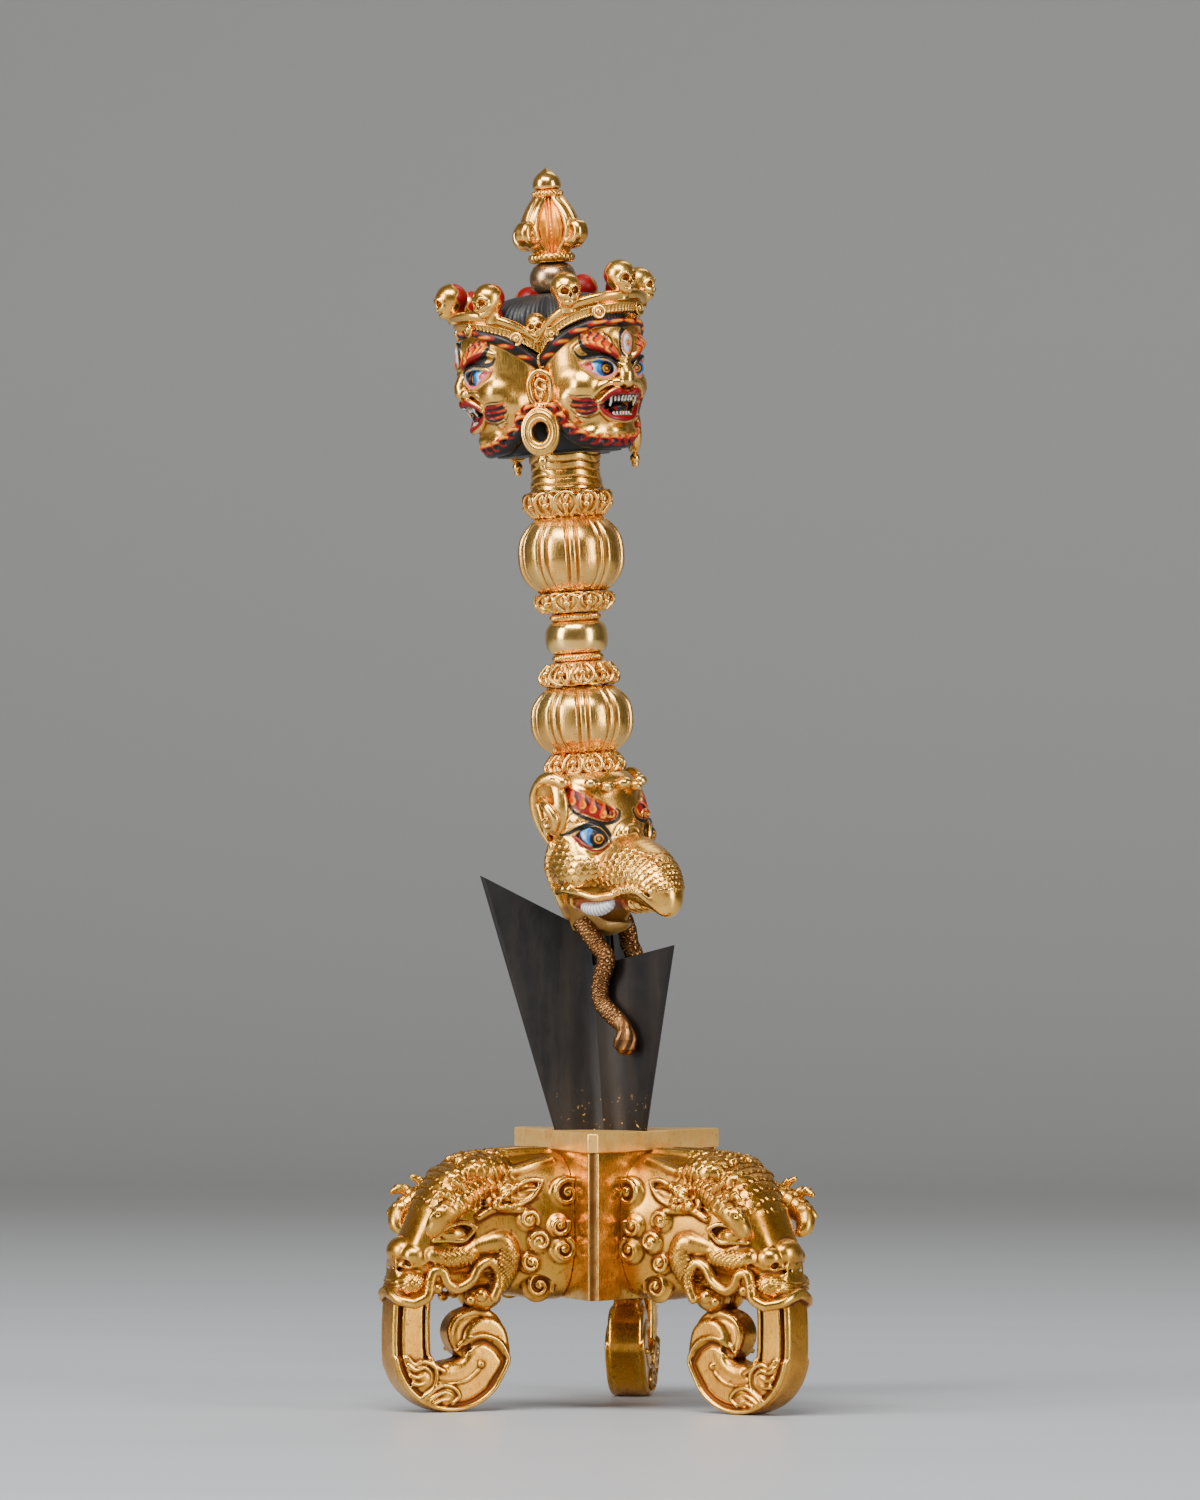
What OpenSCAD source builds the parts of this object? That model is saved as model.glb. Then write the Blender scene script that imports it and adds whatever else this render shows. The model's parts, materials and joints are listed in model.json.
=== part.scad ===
// Three-faced ritual dagger standing in its three-legged makara stand.
// The dagger is modelled along its own axis: z = 0 at the top of the stand's plate, its front
// towards -Y. It is then turned, leaned and set in the socket of the stand.

/* [Stand] */
// Height of the stand's top above the floor
stand_h = 60.8; // [54:0.2:70]
// Distance from the stand's centre to the outer face of each wall
box_inradius = 13.3; // [13:0.1:16]
// Height of the walls' lower edge above the floor
wall_bottom = 24.5; // [23:0.5:28]
// Thickness of the walls
wall_t = 1.4; // [1:0.1:1.8]
// Width of the flat that truncates each corner of the box
corner_w = 2.2; // [1.6:0.1:3]
// Height of the rim band round the top plate
rim_h = 4.2; // [4:0.1:6]
// How far the rim stands proud of the walls
rim_proud = 0.5; // [0.2:0.1:1]
// Thickness of the top plate
plate_t = 3; // [2:0.5:4]

/* [Legs] */
// Distance from the stand's centre to the outermost bend of each trunk
trunk_reach = 52; // [49:0.2:57]
// Sideways thickness of a trunk
trunk_t = 8; // [6:0.5:10]
// Width of a trunk's band where it leaves the lip
trunk_w = 9.6; // [8:0.2:11]
// Radius of the round that a trunk's outer edge follows
trunk_r = 14; // [13.4:0.1:15]
// Depth of the flat filed under each foot
foot_flat = 0.3; // [0.2:0.05:0.6]
// Half width of a leg's head across its cheeks
leg_head_w = 11.4; // [10:0.2:12.5]
// Half height of a leg's head at the wall
leg_head_half = 16.3; // [14.5:0.1:16.5]
// Drop from the stand's top to a leg's forehead
leg_head_drop = 4.3; // [4.2:0.1:7]

/* [Blade] */
// Radius over the wings where they pass the plate
grip_r = 12; // [11:0.1:12.2]
// Radius over the wings at their upper tips
wing_r = 25; // [22:0.1:28]
// Height of the two rear wings' tips above the plate
rear_tip = 57.3; // [54:0.1:62]
// Height of the front wing's tip above the plate
front_tip = 39.5; // [36:0.1:42]
// Fall of the rear wings' top edges towards the axis, in degrees
rear_fall = 30.5; // [25:0.5:34]
// Fall of the front wing's top edge towards the axis, in degrees
front_fall = 8; // [4:0.5:12]
// Depth of the point below the plate's top
point_depth = 33; // [28:0.5:36]
// Thickness of a wing behind its bevelled edge
wing_t = 1.6; // [1.2:0.1:2.2]
// Radius of the hollow between two wings
valley_r = 3.8; // [3.4:0.1:4.6]
// Clearance all round between the blade and its socket
socket_gap = 0.3; // [0.2:0.05:0.5]

/* [Rod] */
// Radius of the iron rod inside the handle
rod_r = 2; // [1.5:0.1:2.4]
// Clearance between the rod and the pieces threaded on it
rod_gap = 0.1; // [0.05:0.05:0.2]

/* [Makara head] */
// Height at which the rod leaves the blade, above the plate
rod_z = 43; // [42:0.5:45]
// Height of the makara's crown above the plate
makara_top = 77.7; // [76:0.1:80]
// Reach of the snout from the axis
snout_reach = 27; // [25:0.2:30]
// Half width of the makara's skull
skull_w = 11.4; // [10.6:0.1:12.4]
// Radius of a snake's body
snake_r = 1.75; // [1.4:0.05:2]

/* [Handle] */
// Height of the petal collar on the makara's crown
lotus_bottom_h = 5.1; // [4:0.1:6]
// Radius of the petal collar on the makara's crown
lotus_bottom_r = 9.2; // [8:0.1:10.5]
// Height of the lower gored knob
melon_lower_h = 14.4; // [12:0.2:17]
// Radius of the lower gored knob
melon_lower_r = 11.3; // [10:0.1:13]
// Height of the petal collar above the lower knob
lotus_lower_h = 5.4; // [4:0.1:6.5]
// Radius of the petal collar above the lower knob
lotus_lower_r = 9; // [8:0.1:10.5]
// Height of each rope ring
rope_h = 1.9; // [1.6:0.1:2.4]
// Outer radius of each rope ring
rope_r = 5.7; // [5.2:0.1:6.4]
// Height of the plain bead in the middle of the grip
bead_h = 7; // [6:0.1:8.5]
// Radius of the plain bead
bead_r = 6.9; // [6.4:0.1:8]
// Height of the petal collar below the upper knob
lotus_upper_h = 4.6; // [4:0.1:6]
// Radius of the petal collar below the upper knob
lotus_upper_r = 9.3; // [8:0.1:10.5]
// Height of the upper gored knob
melon_upper_h = 16.3; // [14:0.2:19]
// Radius of the upper gored knob
melon_upper_r = 11.7; // [10:0.1:13]
// Height of the petal collar under the neck
lotus_top_h = 6.1; // [5:0.1:7.5]
// Radius of the petal collar under the neck
lotus_top_r = 10; // [9:0.1:11]
// Number of gores on a knob
gores = 10; // [6:1:12]
// Number of petals on the two collars beside the plain bead
middle_petals = 10; // [6:1:12]
// Number of petals on the collars under the neck and over the makara
end_petals = 12; // [8:1:14]
// Height of the neck
neck_h = 8.5; // [7:0.1:10]
// Radius of the neck
neck_r = 8.2; // [7:0.1:9]

/* [Faces] */
// Height of the three-faced head from its beards to the hair line
head_h = 27.4; // [25:0.2:30]
// Distance of each face's centre from the axis
face_offset = 10; // [9.2:0.1:10.8]
// Radius of each face's round
face_r = 11.2; // [10.6:0.1:12]
// Height of the crown's band
band_h = 4.9; // [4:0.1:6]
// Thickness of the crown's band
band_t = 1.6; // [1.2:0.1:2]
// Outward flare of the crown's band from its lower to its upper edge
band_flare = 1.7; // [1:0.1:2.5]
// How far the band dips between two faces
band_dip = 6.4; // [5:0.1:7]
// Radius of a large skull's dome
skull_r = 3.5; // [3:0.1:3.7]
// Radius of a small skull's dome
small_skull_r = 2.5; // [2:0.1:2.8]
// Mean radius of an earring
earring_r = 3.5; // [3:0.1:3.8]
// Radius of an earring's section
earring_t = 1.3; // [1:0.1:1.5]

/* [Finial] */
// Height of the hair dome inside the crown
hair_h = 7.2; // [6:0.2:8.5]
// Height of the topknot ball
topknot_h = 6.8; // [6:0.1:8]
// Radius of the topknot ball
topknot_r = 4.9; // [4.4:0.1:5.6]
// Height of the ring under the prongs
base_ring_h = 2.2; // [1.8:0.1:2.8]
// Radius of the ring under the prongs
base_ring_r = 5.2; // [4.8:0.1:5.8]
// Height of the prongs
prong_h = 12.1; // [11:0.1:14]
// Widest radius over the prongs
prong_r = 8.7; // [8:0.1:9.6]
// Height of the collar ring over the prongs
collar_h = 1.7; // [1.4:0.1:2.2]
// Radius of the collar ring over the prongs
collar_r = 3.5; // [3.2:0.1:4]
// Height of the pointed dome at the very top
tip_h = 5; // [4.4:0.1:6]
// Radius of the pointed dome
tip_r = 3; // [2.6:0.1:3.2]

/* [Placing] */
// Lean of the dagger in its socket, towards -X, in degrees
lean = 3.8; // [0:0.1:4]
// Turn of the dagger's front from the stand's front corner, in degrees
dagger_turn = 50; // [45:1:55]

/* [Hidden] */
$fn = 48;

third = 120;
between = third / 2;
seat = 0.02;
far = 200;

// Where each piece of the handle starts along the dagger's axis
lotus_bottom_z = makara_top;
melon_lower_z = lotus_bottom_z + lotus_bottom_h;
lotus_lower_z = melon_lower_z + melon_lower_h;
rope_lower_z = lotus_lower_z + lotus_lower_h;
bead_z = rope_lower_z + rope_h;
rope_upper_z = bead_z + bead_h;
lotus_upper_z = rope_upper_z + rope_h;
melon_upper_z = lotus_upper_z + lotus_upper_h;
lotus_top_z = melon_upper_z + melon_upper_h;
neck_z = lotus_top_z + lotus_top_h;
head_z = neck_z + neck_h;
hair_z = head_z + head_h;
topknot_z = hair_z + hair_h;
base_ring_z = topknot_z + topknot_h;
prong_z = base_ring_z + base_ring_h;
collar_z = prong_z + prong_h;
tip_z = collar_z + collar_h;

rod_hole_r = rod_r + rod_gap;
core_stub_r = 3.2;

// The stand's origin lies in the middle of its feet, seen from above
leg_angle = 60;
head_side_reach = trunk_reach * cos(leg_angle) + leg_head_w * 0.72 * sin(leg_angle);
stand_y = -(trunk_reach - head_side_reach) / 2;

// General tools

function polar(r, a, z) = [r * sin(a), -r * cos(a), z];
function unit(v) = v / norm(v);
function mean(ring) = [for (k = [0:2]) sum([for (p = ring) p[k]]) / len(ring)];
function sum(list, i = 0) = i == len(list) ? 0 : list[i] + sum(list, i + 1);
function lerp(a, b, t) = a + (b - a) * t;
function smooth(t) = let (u = min(max(t, 0), 1)) u * u * (3 - 2 * u);
function bump(x, width) = exp(-pow(x / width, 2));

// A smooth curve through stations of any dimension, with a few steps between each two
function curve_at(s, i, t) =
  let (
    n = len(s) - 1,
    p0 = s[max(i - 1, 0)],
    p1 = s[i],
    p2 = s[min(i + 1, n)],
    p3 = s[min(i + 2, n)]
  )
  0.5 * (2 * p1 + (p2 - p0) * t + (2 * p0 - 5 * p1 + 4 * p2 - p3) * t * t
    + (3 * p1 - p0 - 3 * p2 + p3) * t * t * t);
function curve(s, steps) = [
  for (i = [0:len(s) - 2], k = [0:steps - 1]) curve_at(s, i, k / steps),
  s[len(s) - 1]
];

// A closed solid over rings of points that have the same count
module skin(rings) {
  n = len(rings[0]);
  last = (len(rings) - 1) * n;
  low = len(rings) * n;
  points = concat([for (ring = rings) each ring], [mean(rings[0]), mean(rings[len(rings) - 1])]);
  sides = [
    for (j = [0:len(rings) - 2], i = [0:n - 1])
      let (a = j * n + i, b = j * n + (i + 1) % n)
        each [[a, a + n, b + n], [a, b + n, b]]
  ];
  ends = [
    for (i = [0:n - 1])
      each [[low, i, (i + 1) % n], [low + 1, last + (i + 1) % n, last + i]]
  ];
  polyhedron(points, concat(sides, ends));
}

// A solid whose radius is a function of the azimuth and the height
module shaped(heights, azimuths, radius) {
  skin([for (z = heights) [for (a = azimuths) polar(radius(a, z), a, z)]]);
}

// A tube through stations [x, y, z, half depth, half width], its width along side. Its section
// is round when square is 1 and fills its corners as square falls.
function squared(c, square) = sign(c) * pow(abs(c), square);
module limb(stations, side, sides = 10, steps = 3, square = 1) {
  s = curve(stations, steps);
  n = len(s) - 1;
  skin([
    for (i = [0:n])
      let (
        here = [s[i][0], s[i][1], s[i][2]],
        ahead = s[min(i + 1, n)],
        behind = s[max(i - 1, 0)],
        along = unit([ahead[0] - behind[0], ahead[1] - behind[1], ahead[2] - behind[2]]),
        b = unit(side - along * (along * side)),
        a = cross(b, along)
      )
        [for (k = [0:sides - 1])
          let (t = 360 * k / sides)
            here + a * s[i][3] * squared(cos(t), square) + b * s[i][4] * squared(sin(t), square)]
  ]);
}

module on_dagger() {
  translate([0, stand_y, stand_h]) rotate([0, -lean, 0]) rotate([0, 0, dagger_turn]) children();
}

module on_stand() {
  translate([0, stand_y, 0]) children();
}

module thirds() {
  for (k = [0:2]) rotate([0, 0, k * third]) children();
}

module threaded(z, h) {
  difference() {
    children();
    translate([0, 0, z - 1]) cylinder(r = rod_hole_r, h = h + 2);
  }
}

// Blade

// One wing's outline from its valley to its tip and back, as [along the wing, across it]
wing_steps = [0.92, 0.78, 0.55, 0.06, 0];
function wing_half(f, valley) =
  f == 0 ? wing_t / 4 : wing_t / 2 + (valley * sin(60) - wing_t / 2) * pow(f, 5);
function wing_point(f, r, valley, grow) =
  [r * (1 - f) + valley * cos(60) * f, wing_half(f, valley) + grow];
function star(front, rear, valley, grow) = [
  for (k = [0:2])
    let (r = (k == 0 ? front : rear) + grow)
      each concat(
        [for (i = [0:4]) wing_place(wing_point(wing_steps[i], r, valley, grow), k, -1)],
        [for (i = [4:-1:0]) wing_place(wing_point(wing_steps[i], r, valley, grow), k, 1)],
        [wing_place(wing_point(1, r, valley + grow, 0), k, 1)]
      )
];
function wing_place(p, k, side) =
  let (c = cos(k * third), s = sin(k * third), w = p[1] * side)
    [p[0] * s + w * c, -p[0] * c + w * s];
function wing_reach(tip, z) =
  z < 0 ? lerp(grip_r, 0.5, z / -point_depth) : lerp(grip_r, wing_r, z / tip);
function valley_at(z) = z < 0 ? lerp(valley_r, 0.25, z / -point_depth) : valley_r;
function blade_ring(z, grow = 0) = [
  for (p = star(wing_reach(front_tip, z), wing_reach(rear_tip, z), valley_at(z), grow))
    [p[0], p[1], z]
];

module top_cut(tip, fall) {
  inner = tip - wing_r * tan(fall);
  rotate([90, 0, 90])
    translate([0, 0, -wing_r])
      linear_extrude(2 * wing_r)
        polygon([[0, inner], [-2 * wing_r, inner + 2 * wing_r * tan(fall)],
          [-2 * wing_r, 3 * rear_tip], [0, 3 * rear_tip]]);
}

module blade_form(grow = 0) {
  top = rear_tip + 5;
  difference() {
    skin([for (z = [-point_depth, 0, front_tip, top]) blade_ring(z, grow)]);
    top_cut(front_tip + grow, front_fall);
    for (k = [1, 2])
      rotate([0, 0, k * third])
        intersection() {
          top_cut(rear_tip + grow, rear_fall);
          wing_zone();
        }
  }
  translate([0, 0, rod_z - 12]) cylinder(r = core_stub_r + grow, h = 12);
}

// The part that belongs to one wing, seen from above; two neighbouring zones overlap a little
zone_half = 62;
module wing_zone() {
  linear_extrude(3 * rear_tip)
    polygon([[0, 0], polar_flat(3 * wing_r, -zone_half), polar_flat(3 * wing_r, zone_half)]);
}
function polar_flat(r, a) = [r * sin(a), -r * cos(a)];

module blade() {
  color("#2f2722") on_dagger() blade_form();
}

module tang_rod() {
  color("dimgray") on_dagger() translate([0, 0, rod_z]) cylinder(r = rod_r, h = collar_z - rod_z);
}

// Makara head of the dagger

jaw_z = 45;

// Rings of the makara's skull as [height, forward shift, half depth, half width]
skull_rings = [
  [40, 0, 4.4, 4.4], [44.5, 0.1, 6.6, 6.4], [49, 0.6, 8.8, 8.6], [55, 1.4, 10.8, 10.4],
  [62, 2.4, 12, skull_w], [69, 2.9, 12.6, skull_w + 0.6], [74.6, 1, 10.8, 10.4],
  [makara_top, 0, 8.2, 8.2]
];

module makara_skull() {
  rings = curve(skull_rings, 2);
  skin([
    for (r = rings)
      [for (k = [0:23]) let (t = 15 * k) [r[3] * sin(t), -r[1] - r[2] * cos(t), r[0]]]
  ]);
}

// The snout bends down over the mouth; its stations run back from the reach of its tip
module makara_snout() {
  limb([
    [0, 22 - snout_reach, 61.5, 8.6, 9.4], [0, 16 - snout_reach, 60.6, 8.4, 8.8],
    [0, 11 - snout_reach, 58.6, 7.8, 7.8], [0, 6.4 - snout_reach, 55.2, 6.6, 6.8],
    [0, 3.8 - snout_reach, 51.4, 4.8, 5.8], [0, 2.8 - snout_reach, 48.4, 2.6, 3.4]
  ], [1, 0, 0], sides = 14, steps = 2);
}

module makara_jaw() {
  limb([
    [0, -3, jaw_z + 0.6, 3.6, 6.8], [0, -8, jaw_z, 3.2, 6], [0, -12, jaw_z + 0.4, 2.2, 4.6],
    [0, -14.4, jaw_z + 1.6, 1.2, 2.6]
  ], [1, 0, 0], sides = 10, steps = 2);
}

// A coiled tongue lies between the jaw and the snout
module makara_tongue() {
  limb([
    [0, -9, jaw_z + 2, 1.8, 3.4], [0, -13, jaw_z + 4.6, 1.8, 3.4], [0, -16.6, jaw_z + 5.2, 2, 3.2],
    [0, -19, jaw_z + 4.6, 1.4, 2.6]
  ], [1, 0, 0], sides = 10, steps = 2);
}

eye_z = 63.9;
module makara_eyes() {
  for (side = [-1, 1]) translate([side * 8.6, -11.4, eye_z]) sphere(r = 3);
}

module makara_brows() {
  for (side = [-1, 1])
    limb([
      [side * 5, -15.6, 67, 1, 1], [side * 7.2, -14, 69.4, 1.8, 1.7], [side * 9.6, -11, 71.4, 2.2, 1.9],
      [side * 11, -7.4, 73.2, 1.8, 1.6], [side * 11.2, -4.2, 75.4, 0.7, 0.7]
    ], [0, 0, 1], sides = 8, steps = 2);
}

module makara_head() {
  color("gold") on_dagger() threaded(rod_z, makara_top)
    difference() {
      union() {
        makara_skull();
        makara_snout();
        makara_jaw();
        makara_tongue();
        makara_eyes();
        makara_brows();
      }
      blade_form(grow = seat);
      translate([0, 0, makara_top]) cylinder(r = 3 * skull_w, h = 10);
    }
}

// An ear is a curled leaf that lies on the flank of the skull
module makara_ear() {
  limb([
    [10.6, -4, 63.5, 1.2, 1.2], [11.6, -1, 66.4, 2.2, 1.5], [12.2, 1.8, 70.4, 2.6, 1.6],
    [12, 2.4, 74, 2.4, 1.5], [11.4, 0.2, 75.8, 1.7, 1.3], [11.2, -2.6, 75.4, 1.5, 1.2],
    [11.2, -3.8, 73.2, 1.1, 1]
  ], [1, 0, 0], sides = 8, steps = 2);
}

module makara_ears() {
  color("gold") on_dagger() difference() {
    for (side = [0, 1]) mirror([side, 0, 0]) makara_ear();
    makara_skull();
    makara_brows();
  }
}

// Two tusks stand in the corners of the open mouth
module makara_tusks() {
  color("lightgray") on_dagger() difference() {
    for (side = [-1, 1])
      limb([
        [side * 8.4, -6.4, 48.4, 1, 1], [side * 8.2, -9, 48.2, 1.6, 1.5],
        [side * 7.6, -11.6, 48.6, 1.4, 1.4], [side * 6.8, -14, 49.6, 0.5, 0.5]
      ], [0, 0, 1], sides = 8, steps = 2);
    makara_skull();
    makara_snout();
    makara_jaw();
    makara_tongue();
  }
}

// A snake leaves the corner of the makara's mouth and winds down beside the front wing,
// as [out from the wing, towards the front, height]
snake_path = [
  [6.1, 2.2, 46], [5.6, 4.1, 43], [4.6, 5.6, 40.2], [4.2, 7.2, 38.2], [4, 7, 36], [3.9, 5.2, 33.2],
  [3.8, 4.3, 30.1], [3.6, 4.9, 27.5], [3.3, 7.7, 24.8], [3.1, 10.4, 22.4]
];
snake_head_path = [[3.1, 10.4, 22.4], [3, 10.9, 20.2], [3, 10.6, 18], [2.9, 10, 16]];

module snake(side) {
  n = len(snake_path) - 1;
  body = [
    for (i = [0:n])
      let (p = snake_path[i], r = snake_r * (i == n ? 0.75 : 1)) [p[0] * side, -p[1], p[2], r, r]
  ];
  swell = [0.75, 1.05, 1.1, 0.4];
  head = [
    for (i = [1:3])
      let (p = snake_head_path[i]) [p[0] * side, -p[1], p[2], snake_r * swell[i] * 1.3, snake_r * swell[i]]
  ];
  difference() {
    limb(concat(body, head), [1, 0, 0], sides = 8, steps = 2);
    makara_skull();
    makara_jaw();
    blade_form(grow = seat);
  }
}

module snake_left() {
  color("#b5763a") on_dagger() snake(-1);
}

module snake_right() {
  color("#b5763a") on_dagger() snake(1);
}

// Handle

gore_angle = 360 / gores;
gore_steps = [0, 0.11, 0.26, 0.5, 0.74, 0.89];
gore_shape = [0.985, 0.94, 0.99, 1.02, 0.99, 0.94];
gore_azimuths = [for (k = [0:gores - 1], f = gore_steps) (k + f) * gore_angle];
function gore_swell(a) =
  let (f = (a % gore_angle) / gore_angle)
    lookup(f, [for (i = [0:6]) [i == 6 ? 1 : gore_steps[i], gore_shape[i % 6]]]);
melon_neck = 6.2;
function melon_radius(t, r) = melon_neck + (r - melon_neck) * pow(max(sin(180 * t), 0), 0.62);

module melon(z, h, r) {
  threaded(z, h)
    shaped(
      [for (t = [0, 0.04, 0.12, 0.26, 0.42, 0.58, 0.74, 0.88, 0.96, 1]) z + t * h],
      gore_azimuths,
      function (a, height) let (t = (height - z) / h)
        melon_radius(t, r) * lerp(1, gore_swell(a), smooth(4 * t * (1 - t) * 1.6))
    );
}

module melon_lower() {
  color("gold") on_dagger() melon(melon_lower_z, melon_lower_h, melon_lower_r);
}

module melon_upper() {
  color("gold") on_dagger() melon(melon_upper_z, melon_upper_h, melon_upper_r);
}

// A collar of petals that open upwards when opening is 1 and downwards when it is -1
petal_steps = [0, 0.16, 0.5, 0.84];
petal_shape = [0.8, 0.94, 1.02, 0.94];
function petal_azimuths(petals) = [for (k = [0:petals - 1], f = petal_steps) (k + f) * 360 / petals];
function petal_swell(a, petals) =
  let (f = (a * petals / 360) % 1)
    lookup(f, [for (i = [0:4]) [i == 4 ? 1 : petal_steps[i], petal_shape[i % 4]]]);
petal_profile = [[0, 0.66], [0.2, 0.74], [0.5, 0.9], [0.74, 1], [0.9, 0.97], [1, 0.76]];

module lotus(z, h, r, petals, opening) {
  heights = [for (p = petal_profile) opening > 0 ? p[0] : 1 - p[0]];
  ordered = opening > 0 ? heights : [for (i = [len(heights) - 1:-1:0]) heights[i]];
  threaded(z, h)
    shaped([for (t = ordered) z + t * h], petal_azimuths(petals),
      function (a, height)
        let (t = (height - z) / h, open = opening > 0 ? t : 1 - t)
          r * lookup(open, petal_profile) * lerp(1, petal_swell(a, petals), smooth(open * 2)));
}

module lotus_bottom() {
  color("gold") on_dagger() lotus(lotus_bottom_z, lotus_bottom_h, lotus_bottom_r, end_petals, -1);
}

module lotus_lower() {
  color("gold") on_dagger() lotus(lotus_lower_z, lotus_lower_h, lotus_lower_r, middle_petals, -1);
}

module lotus_upper() {
  color("gold") on_dagger() lotus(lotus_upper_z, lotus_upper_h, lotus_upper_r, middle_petals, 1);
}

module lotus_top() {
  color("gold") on_dagger() lotus(lotus_top_z, lotus_top_h, lotus_top_r, end_petals, 1);
}

module rope_ring(z) {
  threaded(z, rope_h)
    translate([0, 0, z])
      rotate_extrude()
        polygon(concat([[0, 0]], half_round(rope_r, rope_h, rope_h / 2), [[0, rope_h]]));
}

// The outer edge of a turned ring: a half round of the ring's own height
function half_round(r, h, deep) = [
  for (i = [0:8]) let (t = -90 + 22.5 * i) [r - deep + deep * cos(t), h / 2 + h / 2 * sin(t)]
];

module rope_ring_lower() {
  color("gold") on_dagger() rope_ring(rope_lower_z);
}

module rope_ring_upper() {
  color("gold") on_dagger() rope_ring(rope_upper_z);
}

module handle_bead() {
  color("gold") on_dagger() threaded(bead_z, bead_h)
    translate([0, 0, bead_z])
      rotate_extrude()
        polygon(concat([[0, 0]], half_round(bead_r, bead_h, 2.6), [[0, bead_h]]));
}

// The neck has three engraved folds
fold_r = 0.5;
module neck() {
  color("gold") on_dagger() threaded(neck_z, neck_h)
    difference() {
      translate([0, 0, neck_z]) cylinder(r = neck_r, h = neck_h);
      for (k = [1:3])
        translate([0, 0, neck_z + neck_h * k / 4])
          rotate_extrude() translate([neck_r + fold_r / 2, 0]) circle(r = fold_r, $fn = 16);
    }
}

// Head with three faces

face_azimuths = [
  for (k = [0:2], a = [-60, -51, -43, -36, -30, -24, -18, -13, -8, -3, 3, 8, 13, 18, 24, 30, 36, 43, 51])
    k * third + a
];
face_heights = [0, 2, 4, 5.6, 7, 8.4, 9.6, 10.8, 12, 13.4, 14.8, 16.4, 18, 19.6, 21.4, 23.4, 25.4, 27.4];

// Width of the face's round at each height, from the beard up to the hair line
face_width_at = [
  [0, 0.72], [2, 0.8], [4, 0.86], [7, 0.92], [11, 0.965], [14, 0.98], [18, 1], [23, 1.01], [27.4, 0.97]
];

function from_face(a) = ((a + 60 + 720) % third) - 60;
function round_of(d, wide) =
  let (o = face_offset * wide, r = face_r * wide) o * cos(d) + sqrt(r * r - pow(o * sin(d), 2));
function face_detail(d, h) =
  2.7 * bump(d, 7) * bump(h - 13.6, 2.2)
  + 0.9 * bump(d, 5) * bump(h - 17, 3)
  + 2 * bump(d, 10) * bump(h - 22.4, 3)
  + 0.9 * bump(abs(d) - 15, 9) * bump(h - 20.6, 1.4)
  - 1 * bump(abs(d) - 16, 7) * bump(h - 17.4, 1.6)
  + 1.1 * bump(abs(d) - 25, 9) * bump(h - 12.6, 3)
  + 1.3 * bump(d, 15) * bump(h - 11, 1)
  - 1 * bump(d, 12) * bump(h - 9.4, 0.9)
  + 1.2 * bump(d, 12) * bump(h - 7.6, 1)
  + 1.2 * bump(d, 9) * bump(h - 4.4, 1.8);
function head_radius(a, z) =
  let (d = from_face(a), h = (z - head_z) * 27.4 / head_h)
    round_of(d, lookup(h, face_width_at)) + face_detail(d, h);

module faces_head() {
  color("gold") on_dagger() threaded(head_z, head_h)
    shaped([for (h = face_heights) head_z + h * head_h / 27.4], face_azimuths,
      function (a, z) head_radius(a, z));
}

// One ear in each hollow between two faces
ear_z = head_z + 14;
ear_out = round_of(between, 1);
module deity_ear() {
  translate([0, -ear_out - 2.2, ear_z])
    union() {
      rotate([90, 0, 0]) rotate_extrude() translate([2.2, 0]) circle(r = 0.9, $fn = 20);
      translate([0, 0.4, -3.6]) sphere(r = 1.5);
      translate([0, 1.6, 0]) sphere(r = 2.2);
    }
}

module deity_ears() {
  color("gold") on_dagger() difference() {
    rotate([0, 0, between]) thirds() deity_ear();
    shaped([for (h = face_heights) head_z + h * head_h / 27.4], face_azimuths,
      function (a, z) head_radius(a, z) + seat);
    earring_hoops(seat);
  }
}

// Hoops hang from the ears' lobes, each with a small ball below
earring_z = ear_z - 5 - earring_r;
earring_out = ear_out + 4.4;
module earring_hoops(grow = 0) {
  rotate([0, 0, between]) thirds()
    translate([0, -earring_out, earring_z])
      rotate([90, 0, 0]) rotate_extrude() translate([earring_r, 0]) circle(r = earring_t + grow, $fn = 24);
}

module earrings() {
  color("gold") on_dagger() {
    earring_hoops();
    rotate([0, 0, between]) thirds()
      translate([0, -earring_out, earring_z - earring_r - earring_t - 1]) sphere(r = 1.3);
  }
}

// Crown

band_z = hair_z + 0.9;
function band_fall(a) = band_dip * (1 - pow(cos(from_face(a) * 1.5), 2) * 0.5 - 0.5 * cos(from_face(a) * 1.5));
function band_low(a) = band_z - band_fall(a);
function band_in(a) = round_of(from_face(a), 0.97) + 0.35;
band_azimuths = [for (k = [0:47]) 7.5 * k];

module band_solid(grow = 0) {
  rings = [
    for (a = band_azimuths)
      let (
        low = band_low(a) - grow,
        high = band_low(a) + band_h + grow,
        inner = band_in(a) - grow,
        outer = band_in(a) + band_t + grow
      )
        [polar(inner, a, low), polar(outer, a, low), polar(outer + band_flare, a, high),
          polar(inner + band_flare, a, high)]
  ];
  n = len(rings);
  polyhedron(
    [for (ring = rings) each ring],
    [
      for (j = [0:n - 1], i = [0:3])
        let (a = j * 4 + i, b = j * 4 + (i + 1) % 4, c = ((j + 1) % n) * 4 + i, d = ((j + 1) % n) * 4 + (i + 1) % 4)
          each [[a, b, d], [a, d, c]]
    ]
  );
}

module crown_band() {
  color("gold") on_dagger() difference() {
    band_solid();
    shaped([for (h = face_heights) head_z + h * head_h / 27.4], face_azimuths,
      function (a, z) head_radius(a, z) + seat);
    hair_dome(seat);
  }
}

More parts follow.
